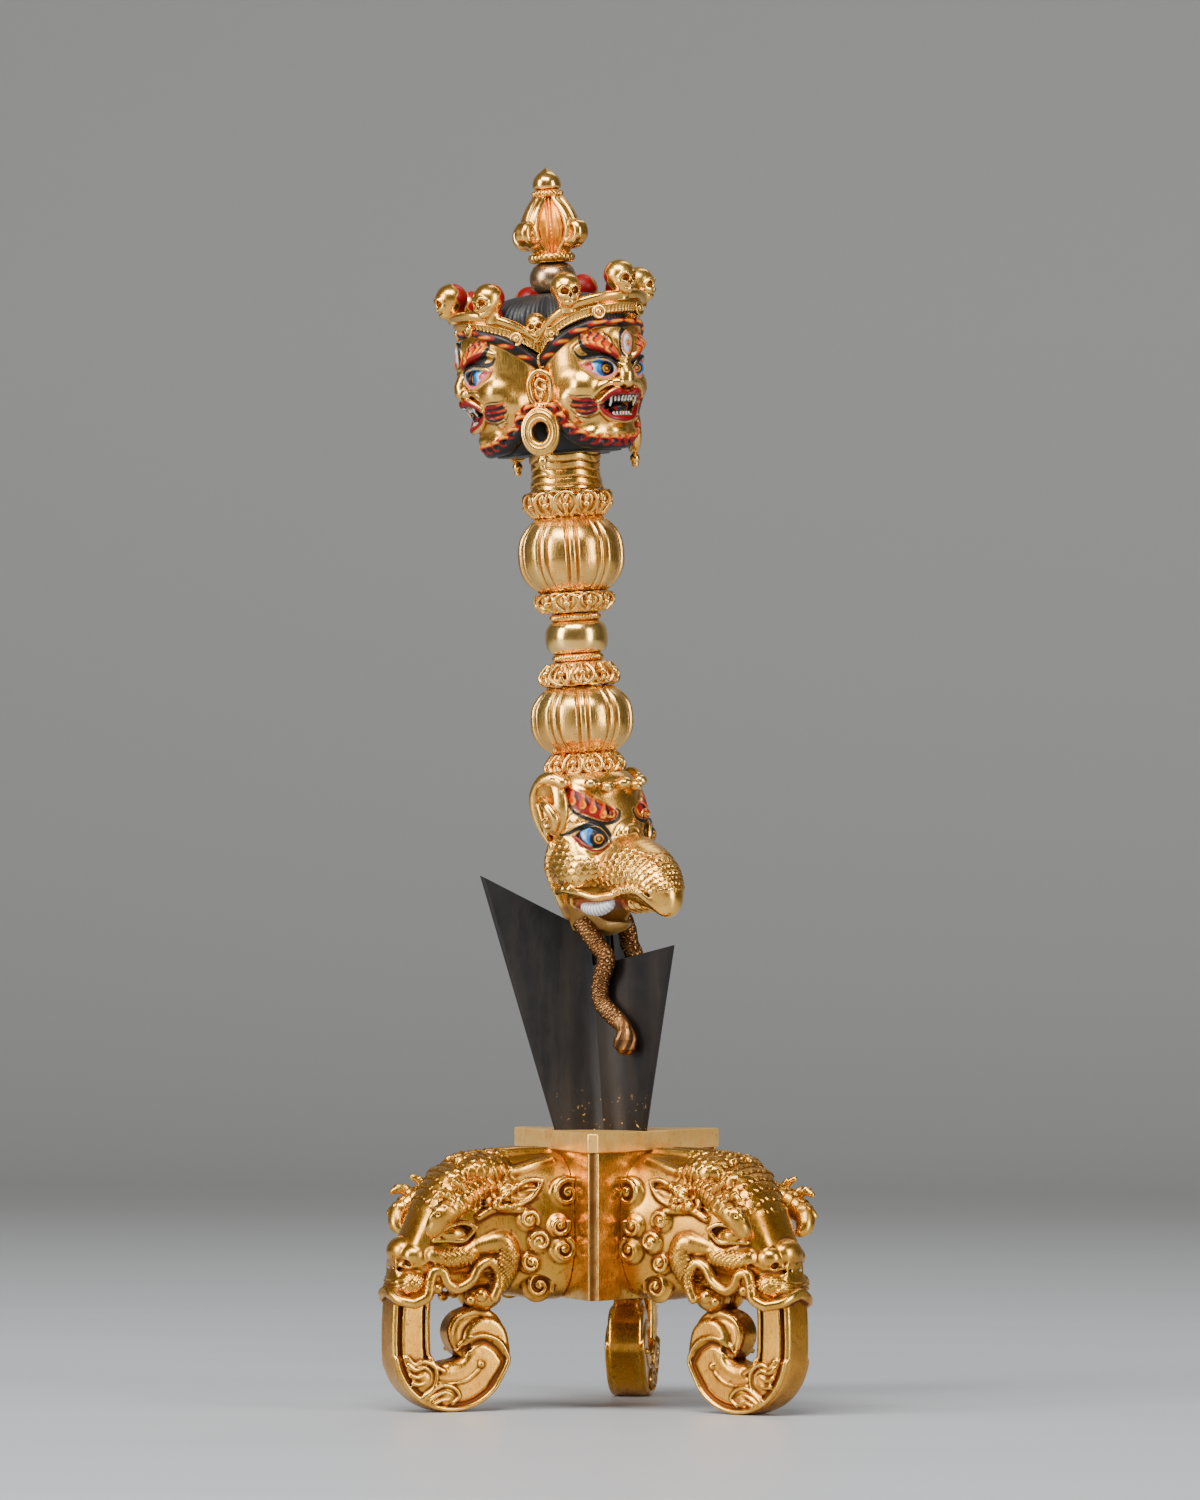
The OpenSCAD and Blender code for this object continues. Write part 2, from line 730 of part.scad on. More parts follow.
// A skull straddles the band, its face outwards
skull_sink = 1;
module skull(r) {
  difference() {
    union() {
      translate([0, 0, 1.15 * r]) sphere(r = r);
      translate([0, 0, -skull_sink]) cylinder(r1 = 0.6 * r, r2 = 0.8 * r, h = skull_sink + 1.2 * r);
    }
    for (side = [-1, 1]) translate([side * 0.4 * r, -0.85 * r, 1.1 * r]) sphere(r = 0.3 * r);
    translate([0, -0.98 * r, 0.62 * r]) sphere(r = 0.16 * r);
  }
}

skull_spread = 33;
function band_top_mid(a) = band_in(a) + band_flare + band_t / 2;
module crown_skulls() {
  color("gold") on_dagger() difference() {
    thirds()
      for (a = [-skull_spread, 0, skull_spread])
        translate(polar(band_top_mid(a), a, band_low(a) + band_h)) rotate([0, 0, a * 0.8]) skull(skull_r);
    band_solid(seat);
  }
}

module crown_small_skulls() {
  color("gold") on_dagger() difference() {
    rotate([0, 0, between]) thirds()
      translate(polar(band_top_mid(between), 0, band_low(between) + band_h)) skull(small_skull_r);
    band_solid(seat);
  }
}

// Round rosettes sit on the outside of the band, between the skulls
rosette_r = 1.7;
module crown_rosettes() {
  color("gold") on_dagger() difference() {
    thirds()
      for (a = [-48, -16, 16, 48])
        translate(polar(band_in(a) + band_t + band_flare / 2, a, band_low(a) + band_h / 2))
          rotate([90, 0, a]) cylinder(r = rosette_r, h = 1.2);
    band_solid(seat);
  }
}

// The hair fills the crown and closes round the topknot
function hair_radius(a, z) =
  let (t = (z - hair_z) / hair_h)
    lerp(round_of(from_face(a), 0.88), topknot_r, 1 - sqrt(1 - t * t));
hair_azimuths = [for (k = [0:35]) 10 * k];

module hair_dome(grow = 0) {
  shaped([for (t = [0, 0.35, 0.62, 0.82, 0.95, 1]) hair_z + t * hair_h - (t == 0 ? grow : 0)], hair_azimuths,
    function (a, z) hair_radius(a, max(z, hair_z)) + grow);
}

module hair_cap() {
  color("#1b1614") on_dagger() threaded(hair_z, hair_h) hair_dome();
}

module topknot_ball() {
  color("#8a6a2c") on_dagger() threaded(topknot_z, topknot_h)
    translate([0, 0, topknot_z])
      rotate_extrude()
        polygon(concat([[0, 0]], half_round(topknot_r, topknot_h, 2.9), [[0, topknot_h]]));
}

module finial_base_ring() {
  color("gold") on_dagger() threaded(base_ring_z, base_ring_h)
    translate([0, 0, base_ring_z])
      rotate_extrude()
        polygon(concat([[0, 0]], half_round(base_ring_r, base_ring_h, base_ring_h / 2), [[0, base_ring_h]]));
}

// The middle prong is a ridged spindle round the rod, its ridges between the outer prongs
prong_turn = 6;
module core_form(grow = 0) {
  shaped([for (t = [0, 0.15, 0.4, 0.65, 0.85, 1]) prong_z + t * prong_h], [for (k = [0:15]) 22.5 * k + prong_turn],
    function (a, z)
      let (t = (z - prong_z) / prong_h)
        (2.6 + 1.5 * sin(180 * t)) * (1 - 0.1 * cos(4 * (a - prong_turn))) + grow);
}

module finial_core() {
  color("gold") on_dagger() threaded(prong_z, prong_h) core_form();
}

// Four outer prongs bend out from the ring and close at the top, each with a curled hook
module finial_prongs() {
  color("gold") on_dagger() intersection() {
    difference() {
      for (k = [0:3])
        rotate([0, 0, 90 * k + prong_turn]) {
          limb([
            [0, -3.6, prong_z - 0.5, 1, 1.3], [0, -5.6, prong_z + 1.2, 1.1, 1.5],
            [0, -prong_r + 1.8, prong_z + 4, 1.1, 1.7], [0, -6.2, prong_z + 7.4, 1, 1.5],
            [0, -4, prong_z + 10.4, 0.9, 1.2], [0, -3, prong_z + 12.6, 0.9, 1]
          ], [1, 0, 0], sides = 8, steps = 2);
          limb([
            [0, -prong_r + 2.4, prong_z + 2.4, 0.9, 1], [0, -prong_r + 0.9, prong_z + 3.4, 0.9, 1.1],
            [0, -prong_r + 0.6, prong_z + 5, 0.6, 0.9], [0, -prong_r + 1.4, prong_z + 6, 0.3, 0.5]
          ], [1, 0, 0], sides = 8, steps = 2);
        }
      core_form(seat);
    }
    translate([0, 0, prong_z]) cylinder(r = far, h = prong_h);
  }
}

module finial_collar() {
  color("gold") on_dagger()
    translate([0, 0, collar_z])
      rotate_extrude() polygon(concat([[0, 0]], half_round(collar_r, collar_h, collar_h / 2), [[0, collar_h]]));
}

module finial_tip() {
  color("gold") on_dagger()
    translate([0, 0, tip_z])
      rotate_extrude()
        polygon([[0, 0], [tip_r * 0.8, 0], [tip_r, tip_h * 0.14], [tip_r * 0.94, tip_h * 0.34],
          [tip_r * 0.72, tip_h * 0.56], [tip_r * 0.4, tip_h * 0.74], [tip_r * 0.12, tip_h * 0.92], [0, tip_h]]);
}

// Stand

// Outline of the three-sided box with cut corners, its front corner towards -Y
function box_outline(inradius, flat_w) =
  let (corner_r = 2 * inradius - flat_w * sqrt(3) / 2)
    [for (k = [0:2], side = [-1, 1])
      let (c = cos(k * third), s = sin(k * third), w = side * flat_w / 2)
        [corner_r * s + w * c, -corner_r * c + w * s]];

module socket() {
  on_dagger()
    translate([0, 0, -plate_t - 3])
      linear_extrude(plate_t + 8)
        polygon(star(wing_reach(front_tip, 1), wing_reach(rear_tip, 1), valley_r, socket_gap));
}

module stand_top() {
  color("gold") difference() {
    on_stand() union() {
      translate([0, 0, stand_h - rim_h])
        linear_extrude(rim_h)
          difference() {
            polygon(box_outline(box_inradius + rim_proud, corner_w));
            polygon(box_outline(box_inradius - wall_t, corner_w));
          }
      translate([0, 0, stand_h - plate_t])
        linear_extrude(plate_t) polygon(box_outline(box_inradius, corner_w));
    }
    socket();
  }
}

module stand_walls() {
  color("goldenrod") on_stand()
    translate([0, 0, wall_bottom])
      linear_extrude(stand_h - rim_h - wall_bottom)
        difference() {
          polygon(box_outline(box_inradius, corner_w));
          polygon(box_outline(box_inradius - wall_t, corner_w));
        }
}

// A polished strip covers each cut corner from under the rim to the walls' lower edge
strip_t = 0.5;
module corner_strips() {
  corner_r = 2 * box_inradius - corner_w * sqrt(3) / 2;
  color("gold") on_stand() thirds()
    translate([-corner_w / 2 - 0.4, -corner_r - strip_t, wall_bottom])
      cube([corner_w + 0.8, strip_t, stand_h - rim_h - wall_bottom]);
}

// Makara leg, modelled towards -Y: [sideways, out, up]
bend_u = trunk_reach - trunk_r;
bend_z = trunk_r - foot_flat;

// The trunk is a flat scroll: its band follows a round and ends in a lobe under the jaw
scroll_start = -62;
scroll_turn = 296;
lobe_half = 6.2;
function scroll_station(f) =
  let (
    half = lerp(trunk_w / 2, lobe_half, smooth(1.4 * f - 0.2)),
    turn = scroll_start + scroll_turn * f,
    r = trunk_r - half - 0.8 * smooth((f - 0.7) / 0.3)
  )
    [0, -(bend_u + r * cos(turn)), bend_z - r * sin(turn), half, lerp(trunk_t / 2, 3.4, f)];

module trunk() {
  throat = [0, out(29.4), head_mid - 5.2, 6, 5];
  limb(concat([throat], [for (i = [0:14]) scroll_station(i / 14)]), [1, 0, 0], steps = 1, square = 0.7);
}

// Stations of the leg's head: [0, out, up, half height, half width]
head_mid = stand_h - leg_head_drop - leg_head_half;
reach_scale = (trunk_reach - box_inradius) / 40;
function out(y) = -box_inradius - y * reach_scale;
head_stations = [
  [0, out(-2.6), head_mid, leg_head_half, leg_head_w + 2.2], [0, out(3.4), head_mid, leg_head_half, leg_head_w + 2],
  [0, out(9.4), head_mid, leg_head_half, leg_head_w + 0.8],
  [0, out(17.4), head_mid, leg_head_half - 0.2, leg_head_w],
  [0, out(24.4), head_mid - 0.4, leg_head_half - 2, leg_head_w - 0.8],
  [0, out(29.4), head_mid - 1.6, leg_head_half - 3.6, leg_head_w - 2],
  [0, out(33.4), head_mid - 4.4, 8.4, leg_head_w - 4],
  [0, out(36.4), head_mid - 8, 5, 5.6], [0, out(38), head_mid - 9, 2.4, 3]
];

module leg_head() {
  limb(head_stations, [1, 0, 0], sides = 16, steps = 2, square = 0.8);
}

// The nose is a ball over a rolled lip that overhangs the trunk
module leg_nose() {
  translate([0, out(35.8), head_mid - 7.2]) sphere(r = 3.8);
  limb([
    [0, out(26.4), head_mid - 11.8, 3, 8.8], [0, out(32.4), head_mid - 11.2, 3, 8.4],
    [0, out(37), head_mid - 12.2, 2.8, 7.2], [0, out(40), head_mid - 14.6, 1.8, 4.6]
  ], [1, 0, 0], sides = 10, steps = 2);
}

// A brow stands out from the head as a fin and curls over the eye
module leg_brow() {
  limb([
    [5.6, out(13.4), head_mid + 10.4, 1.6, 2], [9, out(20.4), head_mid + 9.6, 2, 2.4],
    [11.8, out(26.4), head_mid + 6.8, 1.8, 2.6], [12.8, out(30.8), head_mid + 3.4, 1.4, 2.2],
    [11, out(33.8), head_mid - 0.2, 1, 1.4]
  ], [0, 0, 1], sides = 8, steps = 2);
  translate([9, out(26.4), head_mid - 0.8]) sphere(r = 2.6);
}

// Two short prongs rise from the outer end of the brow
module leg_horn() {
  limb([
    [12.4, out(27.4), head_mid + 5.8, 1.3, 1.3], [13.2, out(30.4), head_mid + 9.2, 1.1, 1.1],
    [13.4, out(34), head_mid + 10.8, 0.5, 0.5]
  ], [1, 0, 0], sides = 6, steps = 2);
}

module leg_cheek() {
  limb([
    [9.4, out(15.4), head_mid - 3.6, 3.2, 2.2], [10.4, out(19.8), head_mid - 7.8, 3.8, 2.4],
    [9.4, out(23.4), head_mid - 12.8, 3, 2]
  ], [1, 0, 0], sides = 8, steps = 2);
}

// Curled locks on the flank behind the cheek, as [out from the wall, up from the head's middle, radius]
lock_places = [
  [3.8, 9.8, 3.2], [4.6, 2.2, 3], [11.4, 2.8, 3], [11.2, -4.2, 2.6], [4.8, -5.8, 3.4], [10.2, -10.6, 3]
];
module leg_locks() {
  for (p = lock_places)
    let (flank = (leg_head_w + 1) * pow(1 - pow(abs(p[1] / leg_head_half), 2.6), 0.42))
      translate([flank - 1.6, out(p[0]), head_mid + p[1]])
        rotate([0, 90, 0])
          cylinder(r1 = p[2], r2 = 0.7 * p[2], h = 2.8);
}

module leg_form() {
  difference() {
    union() {
      leg_head();
      leg_nose();
      trunk();
      for (side = [0, 1])
        mirror([side, 0, 0]) {
          leg_brow();
          leg_horn();
          leg_cheek();
          leg_locks();
        }
    }
    translate([-far, -box_inradius - seat, -far]) cube(2 * far);
    translate([-far, -box_inradius - rim_proud - seat, stand_h - rim_h - seat]) cube(2 * far);
    translate([-far, -far, -far]) cube([2 * far, 2 * far, far]);
  }
}

module makara_leg(azimuth) {
  color("goldenrod") on_stand() rotate([0, 0, azimuth]) leg_form();
}

module makara_leg_left() {
  makara_leg(-leg_angle);
}

module makara_leg_right() {
  makara_leg(leg_angle);
}

module makara_leg_back() {
  makara_leg(180);
}

blade();
tang_rod();
makara_head();
makara_ears();
makara_tusks();
snake_left();
snake_right();
lotus_bottom();
melon_lower();
lotus_lower();
rope_ring_lower();
handle_bead();
rope_ring_upper();
lotus_upper();
melon_upper();
lotus_top();
neck();
faces_head();
deity_ears();
earrings();
hair_cap();
crown_band();
crown_skulls();
crown_small_skulls();
crown_rosettes();
topknot_ball();
finial_base_ring();
finial_core();
finial_prongs();
finial_collar();
finial_tip();
stand_top();
stand_walls();
corner_strips();
makara_leg_left();
makara_leg_right();
makara_leg_back();
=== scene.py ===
"""Dresses the three-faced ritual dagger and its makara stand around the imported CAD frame."""

import json
import math

import bmesh
import bpy
import numpy as np
import openvdb
from bpy.props import BoolProperty, FloatProperty, FloatVectorProperty, PointerProperty
from mathutils import Matrix, Vector


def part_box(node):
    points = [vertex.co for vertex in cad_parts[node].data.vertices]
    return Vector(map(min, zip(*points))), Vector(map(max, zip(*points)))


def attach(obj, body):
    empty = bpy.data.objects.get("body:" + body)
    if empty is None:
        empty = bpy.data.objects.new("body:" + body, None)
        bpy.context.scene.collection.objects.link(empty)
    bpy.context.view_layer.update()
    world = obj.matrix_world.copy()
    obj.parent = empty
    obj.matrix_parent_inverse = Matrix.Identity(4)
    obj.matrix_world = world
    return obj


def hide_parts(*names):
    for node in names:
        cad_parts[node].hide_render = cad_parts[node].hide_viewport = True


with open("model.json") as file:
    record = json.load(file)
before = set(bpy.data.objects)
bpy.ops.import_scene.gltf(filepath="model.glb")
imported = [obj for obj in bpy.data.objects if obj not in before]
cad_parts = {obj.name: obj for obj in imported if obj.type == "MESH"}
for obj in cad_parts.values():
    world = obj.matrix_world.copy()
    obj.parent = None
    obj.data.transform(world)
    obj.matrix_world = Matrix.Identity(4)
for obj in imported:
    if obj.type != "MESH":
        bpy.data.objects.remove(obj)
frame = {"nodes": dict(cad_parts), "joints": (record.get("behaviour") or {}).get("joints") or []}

bl_info = {
    "name": "Three-faced phurba",
    "version": (1, 0, 0),
    "blender": (4, 5, 0),
    "location": "View3D > Sidebar > Phurba",
    "description": "Builds the gilded dagger and its makara stand over the packed CAD parts",
    "category": "Object",
}

MM = 0.001

# Where the stand and the dagger are, read from the frame
_, PLATE_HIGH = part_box("stand_top")
BOX_INRADIUS = 13.3
RIM_PROUD = 0.5
STAND_Y = PLATE_HIGH.y / MM - BOX_INRADIUS - RIM_PROUD
STAND_H = PLATE_HIGH.z / MM
LIFT_AXIS = Vector(frame["joints"][0]["axis"])
LEAN = math.atan2(-LIFT_AXIS.x, LIFT_AXIS.z)
DAGGER_TURN = math.radians(50)

ON_STAND = Matrix.Scale(MM, 4) @ Matrix.Translation((0, STAND_Y, 0))
ON_DAGGER = (
    Matrix.Scale(MM, 4)
    @ Matrix.Translation((0, STAND_Y, STAND_H))
    @ Matrix.Rotation(-LEAN, 4, "Y")
    @ Matrix.Rotation(DAGGER_TURN, 4, "Z")
)


# Curves and small helpers


def smooth(t):
    """Eases from 0 to 1."""
    t = np.clip(t, 0, 1)
    return t * t * (3 - 2 * t)


def bump(x, width):
    """A round hump of height 1 at x = 0."""
    return np.exp(-((x / width) ** 2))


def graded(line, knots, values):
    """Values for the points of a line, given at fractions of the way along it."""
    return np.interp(np.linspace(0, 1, len(line)), knots, values)


def at_x(x, path):
    """Points at one x along a path of (y, z)."""
    return np.column_stack((np.full(len(path), x), path))


def curve(stations, steps=8):
    """A smooth curve through rows of any length, with the same number of steps between each two."""
    s = np.asarray(stations, float)
    padded = np.vstack((s[:1], s, s[-1:]))
    t = np.linspace(0, 1, steps, endpoint=False)[:, None]
    rows = []
    for i in range(len(s) - 1):
        a, b, c, d = padded[i : i + 4]
        bend, twist = 2 * a - 5 * b + 4 * c - d, 3 * b - a - 3 * c + d
        rows.append(0.5 * (2 * b + (c - a) * t + bend * t**2 + twist * t**3))
    return np.vstack((*rows, s[-1:]))


def spiral(centre, start, turns, radius, end_radius=0.0, steps=14):
    """Points (across, up) that wind in from radius to end_radius, start in degrees."""
    n = max(int(abs(turns) * steps), 4)
    f = np.linspace(0, 1, n)
    angle = math.radians(start) + 2 * math.pi * turns * f
    r = radius + (end_radius - radius) * f
    return np.column_stack((centre[0] + r * np.cos(angle), centre[1] + r * np.sin(angle)))


def rounded(d_plane, d_side, edge):
    """Joins a distance in a plane and one across it into a plate with rounded edges."""
    a = d_plane + edge
    b = d_side + edge
    return np.sqrt(np.maximum(a, 0) ** 2 + np.maximum(b, 0) ** 2) + np.minimum(np.maximum(a, b), 0) - edge


# Modelling clay: forms are built up and carved on a grid of distances, then turned into a mesh

FAR = 4.0


class Clay:
    """A block of distances in millimetres, below zero inside the form."""

    def __init__(self, low, high, step, mirrored=False):
        self.low = np.array(low, float)
        self.step = step
        self.mirrored = mirrored
        counts = np.ceil((np.array(high, float) - self.low) / step).astype(int) + 1
        self.axes = [(self.low[i] + step * np.arange(counts[i])).astype(np.float32) for i in range(3)]
        self.field = np.full(counts, FAR, np.float32)

    def window(self, low, high):
        """The part of the grid between two corners, and its coordinates."""
        cut = []
        for i in range(3):
            n = len(self.axes[i])
            first = min(max(int((low[i] - self.low[i]) / self.step), 0), n)
            last = min(max(int((high[i] - self.low[i]) / self.step) + 2, first), n)
            cut.append(slice(first, last))
        x = self.axes[0][cut[0]][:, None, None]
        y = self.axes[1][cut[1]][None, :, None]
        z = self.axes[2][cut[2]][None, None, :]
        return tuple(cut), x, y, z

    def merge(self, cut, d, soft, carve=False):
        """Adds a form to the clay, or carves it away, with a soft join."""
        f = self.field[cut]
        if carve:
            h = np.clip(0.5 - 0.5 * (f + d) / soft, 0, 1)
            self.field[cut] = f * (1 - h) - d * h + soft * h * (1 - h)
        else:
            h = np.clip(0.5 + 0.5 * (f - d) / soft, 0, 1)
            self.field[cut] = f * (1 - h) + d * h - soft * h * (1 - h)

    def ball(self, centre, radii, soft=0.5, carve=False):
        """An ellipsoid whose axes lie along x, y and z."""
        c = np.asarray(centre, float)
        r = np.broadcast_to(np.asarray(radii, float), 3)
        reach = r.max() + soft + 0.5
        cut, x, y, z = self.window(c - reach, c + reach)
        p = (x - c[0], y - c[1], z - c[2])
        k0, k1 = (np.sqrt(sum((p[i] / r[i] ** power) ** 2 for i in range(3))) for power in (1, 2))
        self.merge(cut, k0 * (k0 - 1) / np.maximum(k1, 1e-6), soft, carve)

    def rope(self, points, radii, soft=0.4, carve=False, flat=None):
        """A round string of clay along points; flat scales distances along x, y and z."""
        p = np.asarray(points, float)
        r = np.broadcast_to(np.asarray(radii, float), len(p))
        s = np.ones(3) if flat is None else np.asarray(flat, float)
        reach = (r.max() + soft + 0.5) / s
        cut, x, y, z = self.window(p.min(0) - reach, p.max(0) + reach)
        d = np.full([a.size for a in (x, y, z)], FAR, np.float32)
        origin = [c.start for c in cut]
        for a, b, ra, rb in zip(p[:-1], p[1:], r[:-1], r[1:]):
            side = (max(ra, rb) + soft + 0.5) / s
            sub, sx, sy, sz = self.window(np.minimum(a, b) - side, np.maximum(a, b) + side)
            local = tuple(slice(c.start - o, c.stop - o) for c, o in zip(sub, origin))
            along = (b - a) * s
            length = max(float(along @ along), 1e-9)
            qx, qy, qz = (sx - a[0]) * s[0], (sy - a[1]) * s[1], (sz - a[2]) * s[2]
            t = np.clip((qx * along[0] + qy * along[1] + qz * along[2]) / length, 0, 1)
            near = np.sqrt((qx - along[0] * t) ** 2 + (qy - along[1] * t) ** 2 + (qz - along[2] * t) ** 2)
            d[local] = np.minimum(d[local], near - (ra + (rb - ra) * t))
        self.merge(cut, d, soft, carve)

    def plate(self, points, halves, low, high, half_thick, edge):
        """A flat band across x with rounded edges along (y, z) points."""
        p = np.asarray(points, float)
        r = np.broadcast_to(np.asarray(halves, float), len(p))
        cut, x, a, b = self.window(low, high)
        d = np.full(np.broadcast_shapes(a.shape, b.shape), 2 * FAR, np.float32)
        for p0, p1, r0, r1 in zip(p[:-1], p[1:], r[:-1], r[1:]):
            along = p1 - p0
            length = max(float(along @ along), 1e-9)
            t = np.clip(((a - p0[0]) * along[0] + (b - p0[1]) * along[1]) / length, 0, 1)
            near = np.hypot(a - p0[0] - along[0] * t, b - p0[1] - along[1] * t)
            d = np.minimum(d, near - (r0 + (r1 - r0) * t))
        self.merge(cut, rounded(d, np.abs(x) - half_thick, edge), 0.4)

    def trim(self, axis, value, keep_above):
        """Cuts the clay by a plane across one axis."""
        shape = [1, 1, 1]
        shape[axis] = -1
        d = (self.axes[axis] - value).reshape(shape)
        self.field = np.maximum(self.field, -d if keep_above else d)

    def surface(self):
        """Points and quads of the form's surface, outwards."""
        field, low = self.field, self.low.copy()
        if self.mirrored:
            field = np.concatenate((field[:0:-1], field))
            low[0] = -self.step * (self.field.shape[0] - 1)
        grid = openvdb.FloatGrid(FAR)
        grid.copyFromArray(np.ascontiguousarray(field))
        points, quads = grid.convertToQuads(0.0)
        points = points * self.step + low
        a, b, c = (points[quads[:, i]] for i in (0, 1, 2))
        if np.einsum("ij,ij->", a, np.cross(b - a, c - a)) < 0:
            quads = quads[:, ::-1]
        return points, quads


# Meshes


def neighbours(mesh):
    """The two ends of every edge."""
    ends = np.zeros(len(mesh.edges) * 2, np.int32)
    mesh.edges.foreach_get("vertices", ends)
    return ends.reshape(-1, 2)


def blurred(values, ends, rounds):
    """Averages each vertex's values with its neighbours', a few times."""
    n = len(values)
    count = np.bincount(ends.ravel(), minlength=n).clip(1)[:, None]
    for _ in range(rounds):
        columns = [
            np.bincount(ends[:, 0], column[ends[:, 1]], n) + np.bincount(ends[:, 1], column[ends[:, 0]], n)
            for column in values.T
        ]
        total = np.column_stack(columns)
        values = 0.3 * values + 0.7 * total / count
    return values


def vertex_arrays(mesh):
    n = len(mesh.vertices)
    points, normals = np.zeros(n * 3, np.float32), np.zeros(n * 3, np.float32)
    mesh.vertices.foreach_get("co", points)
    mesh.vertices.foreach_get("normal", normals)
    return points.reshape(-1, 3).astype(float), normals.reshape(-1, 3).astype(float)


def weather(mesh, spread=12):
    """Stores how hollow (above 0) or proud (below 0) each vertex lies, which the finishes read."""
    points, normals = vertex_arrays(mesh)
    ends = neighbours(mesh)
    total = np.zeros(len(points))
    for rounds, gain in ((3, 1.6), (spread, 1.0), (spread * 3, 0.5)):
        offset = ((blurred(points, ends, rounds) - points) * normals).sum(1) / MM
        total += gain * offset
    layer = mesh.attributes.new("hollow", "FLOAT", "POINT")
    layer.data.foreach_set("value", np.tanh(total * 3).astype(np.float32))


def build_mesh(name, points, faces, matrix):
    """A mesh whose points are in millimetres in the given place."""
    m = np.array(matrix)
    placed = points @ m[:3, :3].T + m[:3, 3]
    mesh = bpy.data.meshes.new(name)
    faces = np.asarray(faces, np.int32)
    mesh.vertices.add(len(placed))
    mesh.vertices.foreach_set("co", placed.astype(np.float32).ravel())
    mesh.loops.add(faces.size)
    mesh.loops.foreach_set("vertex_index", faces.ravel())
    mesh.polygons.add(len(faces))
    mesh.polygons.foreach_set("loop_start", np.arange(0, faces.size, faces.shape[1], dtype=np.int32))
    mesh.polygons.foreach_set("use_smooth", np.ones(len(faces), bool))
    mesh.update(calc_edges=True)
    mesh.validate()
    return mesh


def add_piece(name, mesh, body, slot, material, *nodes):
    """Puts a mesh in the scene as a piece that rides on a body and stands for CAD nodes."""
    piece = bpy.data.objects.new(name, mesh)
    bpy.context.collection.objects.link(piece)
    mesh.materials.append(material)
    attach(piece, body)
    if nodes:
        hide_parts(*nodes)
    return piece


# Meshes of grids, turned profiles and tubes


def grid_faces(rows, columns, wrap_rows=False, wrap_columns=False):
    """Quads over a grid of points stored row by row."""
    i, j = np.meshgrid(
        np.arange(rows if wrap_rows else rows - 1), np.arange(columns if wrap_columns else columns - 1), indexing="ij"
    )
    i, j = i.ravel(), j.ravel()
    up, right = (i + 1) % rows, (j + 1) % columns
    return np.column_stack((i * columns + j, i * columns + right, up * columns + right, up * columns + j))


def joined(parts):
    """Puts several (points, faces) together."""
    points, faces, count = [], [], 0
    for p, f in parts:
        points.append(p)
        faces.append(np.asarray(f) + count)
        count += len(p)
    return np.vstack(points), np.vstack(faces)


def turned(points, degrees):
    """Points turned about the upright axis, from the front towards the right."""
    a = math.radians(degrees)
    c, s = math.cos(a), math.sin(a)
    x, y, z = points.T
    return np.column_stack((c * x - s * y, s * x + c * y, z))


def repeated(points, faces, angles):
    """The same form at several azimuths."""
    return joined([(turned(points, a), faces) for a in angles])


def mirrored_pair(points, faces):
    """A form and its mirror image across x."""
    return joined([(points, faces), (points * (-1, 1, 1), faces[:, ::-1])])


def bored(outer, z, height, narrower=0.0):
    """A turned outline closed along the bore."""
    bore = BORE_R - narrower
    return np.vstack(([bore, z], outer, [bore, z + height]))


def profile_curve(rows, steps=6):
    """A turned outline (radius, height) smoothed, then closed along the bore."""
    outer = curve(rows, steps)
    bore = np.array([[BORE_R, rows[-1][1]], [BORE_R, rows[0][1]]])
    return np.vstack((outer, bore))


def revolve(profile, count, shape=None):
    """Turns a closed outline about the axis; shape(radius, height, angle) may change the radius."""
    angle = np.linspace(0, 2 * math.pi, count, endpoint=False)
    r = np.repeat(profile[:, :1], count, 1)
    z = np.repeat(profile[:, 1:2], count, 1)
    a = np.repeat(angle[None], len(profile), 0)
    if shape is not None:
        r = np.where(r > BORE_R + 0.05, shape(r, z, a), r)
    points = np.column_stack(((r * np.sin(a)).ravel(), (-r * np.cos(a)).ravel(), z.ravel()))
    return points, grid_faces(len(profile), count, True, True)


def tube(path, radii, count, relief=None):
    """A closed tube along a path; relief(along, around) adds to its radius."""
    p = np.asarray(path, float)
    along = np.gradient(p, axis=0)
    along /= np.linalg.norm(along, axis=1)[:, None]
    side = np.cross(along, (1, 0, 0))
    side /= np.linalg.norm(side, axis=1)[:, None]
    other = np.cross(along, side)
    length = np.concatenate(([0], np.cumsum(np.linalg.norm(np.diff(p, axis=0), axis=1))))
    a = np.linspace(0, 2 * math.pi, count, endpoint=False)
    r = np.repeat(np.broadcast_to(radii, len(p))[:, None], count, 1).astype(float)
    if relief is not None:
        r = r + relief(length[:, None], a[None])
    ring = side[:, None] * np.cos(a)[None, :, None] + other[:, None] * np.sin(a)[None, :, None]
    points = (p[:, None] + ring * r[:, :, None]).reshape(-1, 3)
    return points, grid_faces(len(p), count, False, True)[:, ::-1]


def segment_distance(u, v, path):
    """How far each (u, v) lies from a line through points, and how far along it, from 0 to 1."""
    p = np.asarray(path, float)
    best = np.full(len(u), 1e6)
    where = np.zeros(len(u))
    for i in range(len(p) - 1):
        a, b = p[i], p[i + 1]
        d = b - a
        t = np.clip(((u - a[0]) * d[0] + (v - a[1]) * d[1]) / max(d @ d, 1e-9), 0, 1)
        near = np.hypot(u - a[0] - d[0] * t, v - a[1] - d[1] * t)
        closer = near < best
        best = np.where(closer, near, best)
        where = np.where(closer, (i + t) / (len(p) - 1), where)
    return best, where


